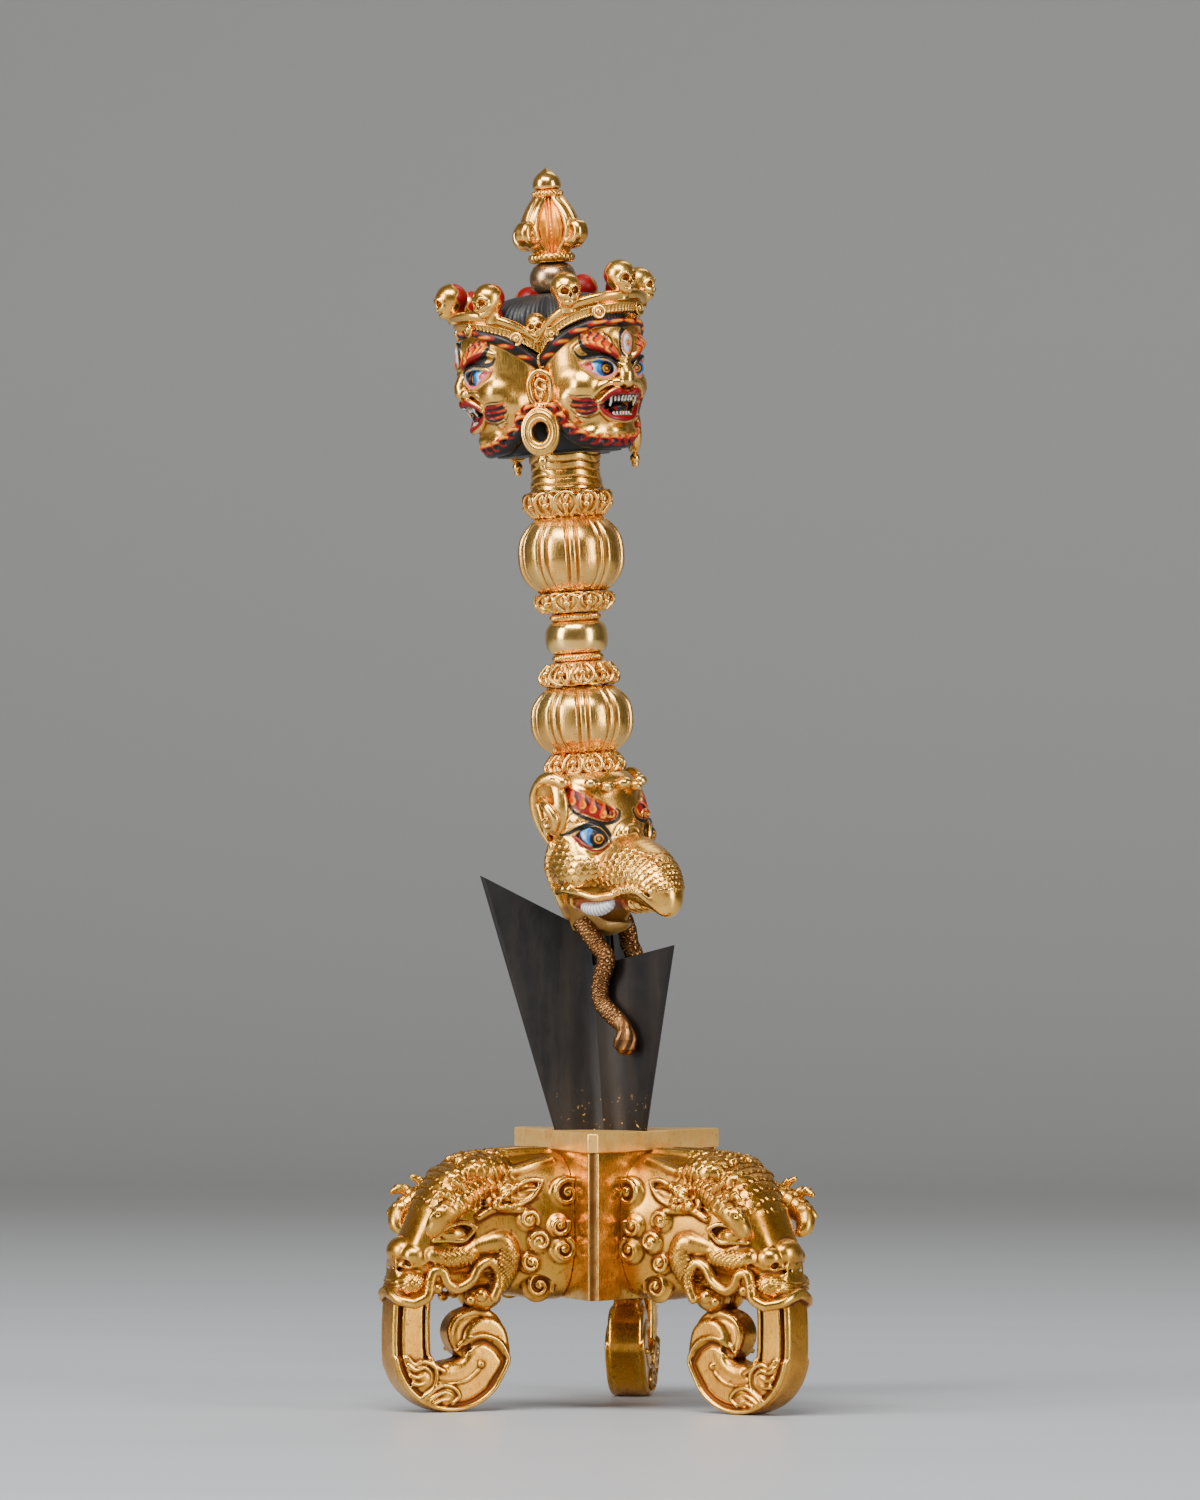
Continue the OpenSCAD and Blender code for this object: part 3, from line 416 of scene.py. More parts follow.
def inside(u, v, polygon):
    """Which (u, v) lie inside a closed outline."""
    p = np.asarray(polygon, float)
    result = np.zeros(len(u), bool)
    for a, b in zip(p, np.roll(p, -1, 0)):
        crosses = (a[1] > v) != (b[1] > v)
        span = b[1] - a[1] if abs(b[1] - a[1]) > 1e-9 else 1e-9
        result ^= crosses & (u < a[0] + (v - a[1]) * (b[0] - a[0]) / span)
    return result


class Paint:
    """Colours laid over the gilding: every vertex has a colour and how much of it covers the metal."""

    def __init__(self, u, v, allowed):
        self.u, self.v, self.allowed = u, v, allowed
        self.colour = np.zeros((len(u), 3))
        self.cover = np.zeros(len(u))

    def lay(self, mask, colour):
        mask = np.clip(mask, 0, 1) * self.allowed
        rest = self.cover * (1 - mask)
        total = mask + rest
        mixed = np.asarray(colour) * mask[:, None] + self.colour * rest[:, None]
        self.colour = np.where(total[:, None] > 1e-4, mixed / np.maximum(total, 1e-4)[:, None], self.colour)
        self.cover = total

    def line(self, path, widths, colour):
        """A brush line whose half width follows widths along the way."""
        near, where = segment_distance(self.u, self.v, curve(path, 6))
        w = np.interp(where, np.linspace(0, 1, len(widths)), widths)
        self.lay((w - near) / BRUSH_EDGE + 0.5, colour)

    def area(self, outline, colour):
        """A filled outline."""
        closed = curve(list(outline) + [outline[0]], 5)
        near, _ = segment_distance(self.u, self.v, closed)
        signed = np.where(inside(self.u, self.v, closed), near, -near)
        self.lay(signed / BRUSH_EDGE + 0.5, colour)

    def spot(self, centre, radii, colour):
        a, b = radii
        near = (1 - np.hypot((self.u - centre[0]) / a, (self.v - centre[1]) / b)) * min(a, b)
        self.lay(near / BRUSH_EDGE + 0.5, colour)

    def tiled(self, copies):
        """The same paint for several copies of a form."""
        count = copies * len(self.u)
        paint = Paint(np.zeros(count), np.zeros(count), np.ones(count))
        paint.colour, paint.cover = np.tile(self.colour, (copies, 1)), np.tile(self.cover, copies)
        return paint

    def store(self, mesh):
        layer = mesh.attributes.new("paint", "FLOAT_COLOR", "POINT")
        rgba = np.column_stack((self.colour, self.cover)).astype(np.float32)
        layer.data.foreach_set("color", rgba.ravel())


# Makara legs of the stand. Their clay is modelled as x sideways, y = out from the box, z up.

LEG_REACH = 52.95
# How far below the plate's top the legs stop, where they pass under its rim
RIM_CUT = 4.54
# Half of the trunk's thickness, and how much less it is at the rolled tip
TRUNK_SIDE = 4.0
TIP_THINNER = 0.9
TRUNK_CENTRE = (38.2, 13.8)
TRUNK_R = 13.9


class Loft:
    """A head's basic mass: sections across y, each with its height's middle, half height and half width."""

    def __init__(self, stations, power=2.5):
        self.rows = curve(stations, 10)
        self.power = power

    def at(self, y, column):
        return np.interp(y, self.rows[:, 0], self.rows[:, column]).astype(np.float32)

    def add_to(self, clay):
        rows = self.rows
        widest = rows[:, 3].max() + 1
        low = (-widest, rows[0, 0], (rows[:, 1] - rows[:, 2]).min() - 1)
        high = (widest, rows[-1, 0] + 1, (rows[:, 1] + rows[:, 2]).max() + 1)
        cut, x, y, z = clay.window(low, high)
        mid, tall, wide = self.at(y, 1), self.at(y, 2), self.at(y, 3)
        norm = (np.abs((z - mid) / tall) ** self.power + np.abs(x / wide) ** self.power) ** (1 / self.power)
        clay.merge(cut, (norm - 1) * np.minimum(tall, wide) * 0.85, 0.5)

    def side(self, y, z):
        """How far out sideways the mass's flank is at a place."""
        mid, tall, wide = self.at(y, 1), self.at(y, 2), self.at(y, 3)
        rise = np.clip(np.abs((z - mid) / tall), 0, 0.97)
        return wide * (1 - rise**self.power) ** (1 / self.power)

    def top(self, y, x):
        """How high the mass's top is at a place."""
        mid, tall, wide = self.at(y, 1), self.at(y, 2), self.at(y, 3)
        out = np.clip(np.abs(x / wide), 0, 0.97)
        return mid + tall * (1 - out**self.power) ** (1 / self.power)

    def on_side(self, path, lift=0.0):
        """Points on the flank along a path of (out, up)."""
        p = np.asarray(path, float)
        return np.column_stack((self.side(p[:, 0], p[:, 1]) + lift, p[:, 0], p[:, 1]))


def trunk_band():
    """The trunk's middle line down from the lip, round under the jaw and in on itself, with half widths."""
    cy, cz = TRUNK_CENTRE
    down = [[45.6, 33, 4.4], [47.0, 27, 4.4], [47.6, 21, 4.4]]
    under = []
    for turn in np.radians(np.linspace(0, 182, 30)):
        half = 4.5 + 0.9 * (turn / math.pi) ** 1.5
        r = TRUNK_R - half
        under.append([cy + r * math.cos(turn), cz - r * math.sin(turn), half])
    roll = [[31.0, 17.1, 5.3], [33.6, 17.9, 4.6], [35.0, 17.2, 3.9], [34.6, 15.3, 3.5]]
    return curve(down + under[::3] + roll, 5)


def leg_trunk(clay):
    """The trunk: a flat band that curls under the jaw and rolls in on itself."""
    band = trunk_band()
    for part, thick in ((band[:-17], TRUNK_SIDE), (band[-22:], TRUNK_SIDE - TIP_THINNER)):
        clay.plate(part[:, :2], part[:, 2], (-6, 20, -1), (6, 56, 36), thick, 1.2)


def leg_trunk_relief(clay):
    """Ridges along the trunk's edges, the scroll's groove and the tufts of hair."""
    side = TRUNK_SIDE

    def across(y_z, lift):
        """Places on the trunk's side, which is thinner at its rolled tip."""
        in_tip = smooth(
            (np.hypot(y_z[:, 0] - 29.2, y_z[:, 1] - 15.8) - 4.9) / 0.5
        ) * (y_z[:, 0] > 31) * (y_z[:, 1] > 12)
        return np.column_stack((side - TIP_THINNER * in_tip + lift, y_z))

    def along(inset, first, last):
        """A line beside the band's edge: inset from the outer edge where positive, else from the inner one."""
        band = trunk_band()
        tangent = np.gradient(band[:, :2], axis=0)
        tangent /= np.linalg.norm(tangent, axis=1)[:, None]
        outward = np.column_stack((-tangent[:, 1], tangent[:, 0]))
        reach = band[:, 2] - inset if inset > 0 else -(band[:, 2] + inset)
        line = band[:, :2] + outward * reach[:, None]
        return line[int(first * len(line)) : int(last * len(line))]

    # The band's inner side swells into a ridge that ends in a small boss under the rolled tip
    swell = curve([[42.2, 8.0], [39.6, 9.0], [36.6, 9.6], [34.2, 10.8], [32.6, 12.8]], 8)
    for x in (0.0, side - 1.9):
        clay.rope(at_x(x, swell), graded(swell, [0, 0.3, 1], [0.9, 1.9, 1.7]), 0.5)
    clay.rope(across(curve([[41.6, 6.6], [37.8, 6.4], [34.8, 7.0], [32.2, 9.0]], 8), 0.0), 0.34, 0.2)
    clay.ball((side + 0.1, 31.5, 10.3), (0.6, 0.75, 0.75), 0.2)
    # Edge lines run down the band and turn in under the tip
    rim, hollow = along(0.75, 0.1, 0.66), along(1.7, 0.1, 0.64)
    rim = np.vstack(
        (
            rim,
            curve(
                [
                    rim[-1], [25.3, 10.6], [25.8, 12.9], [27.2, 15.0], [29.4, 16.2], [32.2, 16.5], [35.2, 15.4],
                    [37.2, 13.5],
                ],
                6,
            ),
        )
    )
    hollow = np.vstack(
        (
            hollow,
            curve([hollow[-1], [26.4, 10.2], [27.0, 12.2], [28.4, 13.9], [31.0, 15.1], [34.0, 14.3], [36.6, 12.2]], 6),
        )
    )
    clay.rope(across(hollow, 0.2), 0.7, 0.4, carve=True)
    clay.rope(across(rim, -0.05), 0.55, 0.25)
    clay.rope(across(along(-0.7, 0.1, 0.42), -0.05), 0.6, 0.25)
    clay.rope(across(along(-1.65, 0.1, 0.40), 0.2), 0.5, 0.35, carve=True)
    clay.rope(across(along(2.6, 0.1, 0.34), -0.05), 0.36, 0.25)
    tip_line = curve([[37.0, 14.2], [37.7, 16.6], [37.0, 19.0], [35.0, 20.3], [32.4, 20.8], [29.6, 20.2]], 8)
    clay.rope(across(tip_line, 0.25), 0.42, 0.3, carve=True)
    # Two swirled tufts of hair
    for (y, z), size, locks in (
        (
            (44.6, 7.6), 2.4,
            [
                [[49.0, 12.4], [47.2, 10.6], [44.9, 11.2], [42.5, 9.9], [42.0, 7.6], [42.9, 5.2], [45.0, 3.9]],
                [[48.6, 10.4], [46.9, 9.4], [44.9, 9.9], [43.4, 8.6], [43.4, 6.8]],
                [[48.0, 8.2], [46.4, 7.8], [45.0, 8.4]], [[47.4, 6.4], [46.2, 6.2], [45.0, 6.4]],
            ],
        ),
        (
            (39.6, 3.6), 2.0,
            [
                [[45.0, 3.2], [42.4, 5.2], [40.4, 5.9], [38.0, 5.3], [36.7, 3.5], [38.4, 1.9]],
                [[44.0, 2.6], [42.0, 3.8], [40.2, 4.4], [38.4, 3.8]], [[42.8, 2.0], [41.0, 2.7], [39.2, 2.7]],
            ],
        ),
    ):
        clay.ball((side - 0.4, y, z), (0.9, size, size), 0.5)
        for lock in locks:
            hair = across(curve(lock, 7), 0.15)
            clay.rope(hair, np.linspace(0.62, 0.36, len(hair)), 0.15)


LEG_HEAD = Loft(
    [
        [9, 40.2, 16.2, 13.6],
        [17, 40.2, 16.2, 13.0],
        [23, 40.6, 15.8, 11.8],
        [29, 40.8, 15.0, 10.8],
        [34, 40.8, 14.4, 10.2],
        [39, 40.2, 13.2, 9.4],
        [42.4, 38.6, 11.6, 8.4],
        [45.6, 35.8, 9, 7],
        [48.2, 32.8, 5.8, 5.6],
        [50, 31.4, 2.6, 3],
    ]
)

# Scroll curls on the flank behind the cheek: (out, up, radius, first angle, turns)
LEG_CURLS = (
    (15.0, 47.6, 3.7, 200, -1.7),
    (17.0, 40.6, 2.4, 160, 1.4),
    (23.6, 41.9, 2.3, 200, -1.5),
    (21.2, 37.2, 2.3, 30, 1.5),
    (22.8, 32.6, 2.2, 60, -1.4),
    (16.0, 35.4, 2.8, 120, 1.5),
    (20.2, 27.4, 3.4, 200, -1.7),
)


def leg_curls(clay):
    """Flat discs with a raised spiral line."""
    for y, z, r, start, turns in LEG_CURLS:
        x = float(LEG_HEAD.side(y, z))
        clay.ball((x - 0.5, y, z), (1.5, r + 0.25, r + 0.25), 0.4)
        clay.ball((x + 1.15, y, z), (0.75, r - 0.5, r - 0.5), 0.2, carve=True)
        path = spiral((y, z), start, turns, r - 0.15, 0.25)
        points = np.column_stack((np.full(len(path), x) + np.linspace(0.55, 0.8, len(path)), path))
        clay.rope(points, np.linspace(0.55, 0.42, len(path)), 0.12)
        clay.ball((x + 0.8, y, z), (0.6, 0.75, 0.75), 0.12)


def leg_lips(clay):
    """The wavy rolled lip, the mouth's hollow and the small curls in its corner."""
    hollow = curve([[32, 29], [36, 27.6], [40, 26.6]], 5)
    clay.rope(at_x(8.6, hollow), [1.6] * 4 + [1.9] * (len(hollow) - 4), 0.6, carve=True)
    line = curve(
        [
            [30.6, 25.2], [29.6, 27.6], [29.4, 30.4], [31.4, 32.9], [34.0, 31.8], [35.8, 28.9], [39.0, 27.2],
            [41.2, 28.4], [42.2, 30.6], [44.2, 30.8], [45.0, 28.4], [45.6, 25.6], [48.2, 24.0],
        ],
        8,
    )
    side = np.interp(line[:, 0], [29, 36, 42, 46, 50], [9.6, 9.2, 8.6, 8.0, 6.6])
    lip = np.column_stack((side, line))
    front = curve([lip[-1], [5.0, 50.6, 24.6], [2.6, 51.8, 25.8], [0, 52.2, 26.6]], 6)
    clay.rope(np.vstack((lip, front[1:])), 1.2, 0.35)
    clay.ball((0, 47.8, 27.4), (6.6, 4.0, 3.4), 0.8)
    for y, z, r in ((33.2, 25.6, 1.6), (43.4, 27.2, 1.2), (35.8, 24.6, 1.2)):
        clay.ball((8.2, y, z), (1.4, r, r), 0.4)


def leg_brows_and_eyes(clay):
    x = float(LEG_HEAD.side(40, 39.6))
    clay.ball((x + 0.2, 39.8, 39.2), (1.6, 4.6, 2.5), 0.7, carve=True)
    clay.ball((x - 0.5, 39.8, 39.0), (1.7, 3.2, 1.7), 0.25)
    clay.ball((x + 0.7, 40, 39.0), (0.5, 1.1, 1.0), 0.2)
    for arch, lift in ((1.0, 0.5), (-1.0, 0.3)):
        lid = curve([[35.4, 40.4], [38, 39.6 + 1.9 * arch], [41.4, 39.2 + 1.5 * arch], [44.2, 37.6]], 6)
        clay.rope(np.column_stack((LEG_HEAD.side(lid[:, 0], lid[:, 1]) + lift + 0.2, lid)), 0.55, 0.2)
    # The brow stands out as a fin that curls over the eye
    fin = curve(
        [
            [6.2, 29, 49.6], [8.8, 34, 48.8], [10.8, 38.4, 46.6], [12.0, 41.6, 44.6], [12.2, 44.2, 42.8],
            [11.1, 45.3, 40.4], [9.8, 45.0, 39.2],
        ],
        8,
    )
    clay.rope(fin, graded(fin, [0, 0.4, 0.8, 1], [2.2, 2.9, 2.1, 1.1]), 0.6)
    for k in (-1, 0, 1):
        fold = curve([[9.6, 33, 45.6 + k], [11.2, 37.4, 43.8 + k], [11.9, 41.4, 41.9 + k]], 5)
        clay.rope(fold, 0.42, 0.25, carve=True)
    swirl = spiral((42.6, 42.2), -60, 1.2, 1.7, 0.4)
    clay.rope(at_x(12.5, swirl), 0.5, 0.2)
    for path, thick in (
        ([[12.0, 40.5, 45.6], [12.6, 42.4, 47.4], [13.0, 44.4, 48.0], [13.2, 45.8, 47.2]], 1.5),
        ([[11.8, 38.0, 47.4], [12.4, 39.6, 49.6], [12.8, 41.2, 50.6]], 1.25),
        ([[12.2, 43.6, 43.0], [12.8, 45.6, 43.6], [13.0, 46.8, 42.6]], 1.25),
    ):
        leaf = curve(path, 5)
        clay.rope(leaf, np.linspace(thick, 0.45, len(leaf)), 0.35)
        clay.rope(leaf + (1.1, 0, 0), 0.22, 0.2, carve=True)


def leg_cheek(clay):
    """The comma-shaped lobe behind the mouth and the pad under the eye."""
    lobe = curve([[36.2, 35.6], [32.4, 36.8], [28.8, 37.0], [27.6, 33.6], [28.4, 29.4], [28.6, 25.0]], 6)
    radii = graded(lobe, [0, 0.3, 0.6, 1], [1.4, 2.6, 2.9, 2.0])
    clay.rope(LEG_HEAD.on_side(lobe, -0.9), radii, 0.5)
    pad = curve([[36.4, 34.8], [40, 33.8], [43.6, 34.2]], 6)
    clay.rope(LEG_HEAD.on_side(pad, -0.9), 2.3, 0.7)


def leg_nose(clay):
    """A round nose with its wings over a dotted pad."""
    clay.ball((0, 48.2, 35.0), (4.4, 3.6, 3.4), 0.6)
    clay.ball((4.0, 47.0, 34.2), (2.9, 3.1, 2.7), 0.35)
    clay.ball((5.6, 45.2, 33.2), (1.7, 2.0, 1.7), 0.3)
    clay.ball((4.8, 49.4, 32.6), (1.0, 1.2, 0.8), 0.25, carve=True)
    clay.rope(
        curve([[1.6, 50.6, 31.6], [4.6, 49.2, 31.0], [6.8, 46.6, 31.4], [7.8, 44.6, 32.6]], 6), 0.55, 0.35, carve=True,
    )
    clay.ball((0, 48.4, 28.8), (5.6, 3.3, 3.0), 0.6)
    # The lower jaw rests on the rolled trunk
    clay.ball((2.4, 30.6, 25.2), (3.8, 3.9, 3.3), 0.5)
    clay.ball((4.4, 47.4, 28.4), (3.2, 3.2, 2.7), 0.6)


def leg_crest(clay):
    """Two long ridges on top of the head, the lobed crest and the leaf ear."""
    for points, radius in (
        ([[3.0, 16, 0], [3.4, 24, 0], [3.2, 30, 0], [2.6, 36, 0]], 1.3),
        ([[7.4, 17, 0], [8.4, 24, 0], [8.0, 30, 0], [6.8, 36, 0]], 1.1),
    ):
        path = curve(points, 6)
        path[:, 2] = LEG_HEAD.top(path[:, 1], path[:, 0]) - 0.2
        clay.rope(path, radius, 0.6)
    clay.ball((5.6, 31.6, 52.4), (4.6, 5.6, 3.5), 0.8)
    clay.ball((4.2, 37.6, 50.6), (3.6, 3.4, 2.6), 0.6)
    leaf = curve([[20.4, 50.4], [23.6, 50.6], [27.6, 48.4], [31.4, 45.2], [27.4, 44.9], [22.8, 46.8], [20.4, 50.4]], 6)
    side = LEG_HEAD.side(25.5, 48) + 0.6
    clay.ball((side - 0.4, 25.4, 47.9), (1.3, 4.8, 2.3), 0.5)
    clay.ball((side + 1.0, 25.4, 47.9), (0.8, 3.6, 1.5), 0.2, carve=True)
    clay.rope(at_x(side + 0.3, leaf), 0.62, 0.25)
    vein = curve([[21.8, 49.2], [25, 48.2], [29, 46.4]], 5)
    clay.rope(at_x(side + 0.4, vein), 0.4, 0.25, carve=True)
    fold = curve([[34.6, 42.6], [31.2, 44.2], [28.4, 44.2], [24.6, 44.0]], 6)
    clay.rope(LEG_HEAD.on_side(fold, 0.1), 0.8, 0.4)


def skin_scales(u, v, size, height):
    """Overlapping scales in rows along v, each one standing out at its free edge."""
    row = np.floor(v / size)
    across = (u / size + 0.5 * row) % 1 - 0.5
    along = (v / size) % 1
    round_edge = np.sqrt(np.clip(1 - (across / 0.56) ** 2, 0, 1))
    inside_scale = along < round_edge * 0.94
    return height * np.where(inside_scale, 0.2 + 0.8 * along / np.maximum(round_edge, 0.2), 0.0)


def leg_skin_relief(points, normals):
    """How far each point of the leg moves out: scales on brow and crest, punched dots on cheek and lip."""
    x, y, z = np.abs(points[:, 0]), points[:, 1], points[:, 2]
    scale_area = smooth((y - 25) / 2) * smooth((z - 43.4) / 1.4) * smooth((51 - y) / 1.5)
    scales = skin_scales(x + 0.55 * (57 - z), y + 0.25 * (57 - z), 1.9, 0.34)
    spots = ((39.5, 5.6, 33.8, 2.6), (28.4, 3.2, 31, 7), (48.6, 4.2, 28.4, 2.4))
    pad = sum(bump(y - out, wide) * bump(z - up, tall) for out, wide, up, tall in spots)
    pitch = 0.98
    dots = np.cos(2 * math.pi * (y + 0.3 * x) / pitch) * np.cos(2 * math.pi * (z + 0.12 * y) / pitch)
    side = smooth((np.abs(normals[:, 0]) + np.abs(normals[:, 1]) * 0.6 - 0.4) * 4)
    return scales * scale_area + 0.26 * smooth(dots * 1.4) * smooth((pad - 0.35) * 3) * side


def sculpt_leg(step):
    clay = Clay((0, 9, -1.5), (16, 57, 58.5), step, mirrored=True)
    LEG_HEAD.add_to(clay)
    forms = (leg_trunk, leg_cheek, leg_nose, leg_crest, leg_curls, leg_lips, leg_brows_and_eyes, leg_trunk_relief)
    for add in forms:
        add(clay)
    clay.trim(2, 0.02, True)
    clay.trim(1, LEG_REACH, False)
    clay.trim(1, BOX_INRADIUS + 0.04, True)
    cut, _, y, z = clay.window((0, 0, STAND_H - RIM_CUT - 0.06), (20, 60, 60))
    under_rim = np.minimum(z - (STAND_H - RIM_CUT), BOX_INRADIUS + RIM_PROUD + 0.06 - y)
    clay.field[cut] = np.maximum(clay.field[cut], under_rim)
    return clay.surface()


def displaced(mesh, relief):
    """Moves each vertex along its normal by relief, in millimetres."""
    points, normals = vertex_arrays(mesh)
    moved = points + normals * (relief * MM)[:, None]
    mesh.vertices.foreach_set("co", moved.astype(np.float32).ravel())
    mesh.update()


# Box of the stand

WALL_BOTTOM = 24.5
WALL_T = 1.4
RIM_H = 4.2
PLATE_T = 3.0
CORNER_W = 2.2
THIRD = 2 * math.pi / 3


def box_outline(inradius, flat):
    """The three-sided box with its corners cut off, from above."""
    corner = 2 * inradius - flat * math.sqrt(3) / 2
    rows = []
    for k in range(3):
        c, s = math.cos(k * THIRD), math.sin(k * THIRD)
        for side in (-1, 1):
            w = side * flat / 2
            rows.append((corner * s + w * c, -corner * c + w * s))
    return rows


def ring_faces(shape, low, high):
    """Faces between two loops of the same number of vertices."""
    n = len(low)
    for i in range(n):
        shape.faces.new((low[i], low[(i + 1) % n], high[(i + 1) % n], high[i]))


def sharp_edges(shape):
    return [e for e in shape.edges if len(e.link_faces) == 2 and e.calc_face_angle(0) > 0.4]


def bevelled(shape, edges, offset, segments):
    bmesh.ops.bevel(
        shape, geom=edges, offset=offset, segments=segments, affect="EDGES", profile=0.5, clamp_overlap=True
    )


def cast(shape, name, matrix):
    """Turns an edited shape into a mesh in its place."""
    shape.transform(matrix)
    mesh = bpy.data.meshes.new(name)
    shape.to_mesh(mesh)
    shape.free()
    smooth_by_angle(mesh, 35)
    return mesh


def outline_tube(name, rings, matrix, bevel):
    """A bevelled tube whose horizontal outlines all have the same number of points."""
    shape = bmesh.new()
    loops = [[shape.verts.new((x, y, z)) for x, y in outline] for outline, z in rings]
    for low, high in zip(loops, loops[1:] + loops[:1]):
        ring_faces(shape, low, high)
    bmesh.ops.recalc_face_normals(shape, faces=shape.faces)
    bevelled(shape, sharp_edges(shape), bevel, 3)
    bmesh.ops.triangulate(shape, faces=[f for f in shape.faces if len(f.verts) > 4])
    return cast(shape, name, matrix)


def smooth_by_angle(mesh, degrees):
    """Smooth shading everywhere but over edges sharper than the angle."""
    mesh.polygons.foreach_set("use_smooth", [True] * len(mesh.polygons))
    mesh.set_sharp_from_angle(angle=math.radians(degrees))


def build_stand_walls():
    outer = box_outline(BOX_INRADIUS, CORNER_W)
    inner = box_outline(BOX_INRADIUS - WALL_T, CORNER_W)
    top = STAND_H - RIM_H - 0.02
    rings = [(outer, WALL_BOTTOM), (outer, top), (inner, top), (inner, WALL_BOTTOM)]
    return outline_tube("stand_walls_cast", rings, ON_STAND, 0.3)


def star_outline(front, rear, valley, grow):
    """The three-winged outline of the blade, from above."""
    rows = []
    for k in range(3):
        reach = (front if k == 0 else rear) + grow
        c, s = math.cos(k * THIRD), math.sin(k * THIRD)
        steps = (0.92, 0.78, 0.55, 0.06, 0)
        both = ((-1, steps), (1, steps[::-1]))
        half = [(*wing_point(f, reach, valley, grow), side) for side, order in both for f in order]
        valley_point = (*wing_point(1, reach, valley + grow, 0), 1)
        for along, across, side in half + [valley_point]:
            w = across * side
            rows.append((along * s + w * c, -along * c + w * s))
    return rows


def build_stand_top():
    """The plate with its rim and the star-shaped opening for the blade."""
    shape = bmesh.new()
    lean = math.tan(LEAN)
    hole = []
    for x, y in star_outline(wing_reach(FRONT_TIP, 1), wing_reach(REAR_TIP, 1), VALLEY_R, 0.3):
        c, s = math.cos(DAGGER_TURN), math.sin(DAGGER_TURN)
        hole.append((c * x - s * y, s * x + c * y))
    outlines = (
        (box_outline(BOX_INRADIUS + RIM_PROUD, CORNER_W), [STAND_H - RIM_H, STAND_H]),
        (hole, [STAND_H - PLATE_T, STAND_H]),
    )
    loops = []
    for points, heights in outlines:
        for z in heights:
            shift = -lean * (z - STAND_H) if points is hole else 0
            loops.append([shape.verts.new((x + shift, y, z)) for x, y in points])
    inner = box_outline(BOX_INRADIUS - WALL_T, CORNER_W)
    under, ceiling = ([shape.verts.new((x, y, STAND_H - deep)) for x, y in inner] for deep in (RIM_H, PLATE_T))
    rim_low, rim_high, hole_low, hole_high = loops
    for low, high in ((rim_low, rim_high), (hole_high, hole_low), (under, rim_low), (ceiling, under)):
        ring_faces(shape, low, high)
    for outer, inner in ((rim_high, hole_high), (ceiling, hole_low)):
        edges = []
        for loop in (outer, inner):
            for i in range(len(loop)):
                pair = (loop[i], loop[(i + 1) % len(loop)])
                edges.append(shape.edges.get(pair) or shape.edges.new(pair))
        bmesh.ops.triangle_fill(shape, use_beauty=True, use_dissolve=False, edges=edges)
    bmesh.ops.recalc_face_normals(shape, faces=shape.faces)
    rim_edges = [e for e in sharp_edges(shape) if all(v in rim_high or v in rim_low for v in e.verts)]
    bevelled(shape, rim_edges, 0.35, 4)
    return cast(shape, "stand_top_plate", ON_STAND)


def build_corner_strips():
    """Polished strips on the cut corners, slightly rounded in section."""
    corner = 2 * BOX_INRADIUS - CORNER_W * math.sqrt(3) / 2
    half = CORNER_W / 2 - 0.15
    section = [
        (-half, 0.02), (-half, -0.28), (-half + 0.18, -0.42), (-half + 0.3, -0.3), (half - 0.3, -0.3),
        (half - 0.18, -0.42), (half, -0.28), (half, 0.02),
    ]
    parts = []
    for k in range(3):
        rows = []
        for z in np.linspace(WALL_BOTTOM + 0.05, STAND_H - RIM_H - 0.05, 24):
            edge = 0.12 * (abs(z - (WALL_BOTTOM + STAND_H) / 2) > 15.6)
            rows += [(x * (1 - 0.2 * edge), y + edge - corner, z) for x, y in section]
        parts.append((turned(np.array(rows), 120 * k), grid_faces(24, len(section))))
    return joined(parts)


# Blade

FRONT_TIP = 39.5
REAR_TIP = 57.3
FRONT_FALL = math.radians(8)
REAR_FALL = math.radians(30.5)
POINT_DEPTH = 33.0
GRIP_R = 12.0
WING_R = 25.0
WING_T = 1.6
VALLEY_R = 3.8
ROD_Z = 43.0


def wing_point(f, reach, valley, grow):
    """Along and across a wing at the fraction f from its edge to the valley."""
    half = WING_T / 4 if f == 0 else WING_T / 2 + (valley * math.sin(math.radians(60)) - WING_T / 2) * f**5
    return reach * (1 - f) + valley * 0.5 * f, half + grow


def wing_reach(tip, z):
    if z < 0:
        return GRIP_R + (0.5 - GRIP_R) * (z / -POINT_DEPTH)
    return GRIP_R + (WING_R - GRIP_R) * z / tip


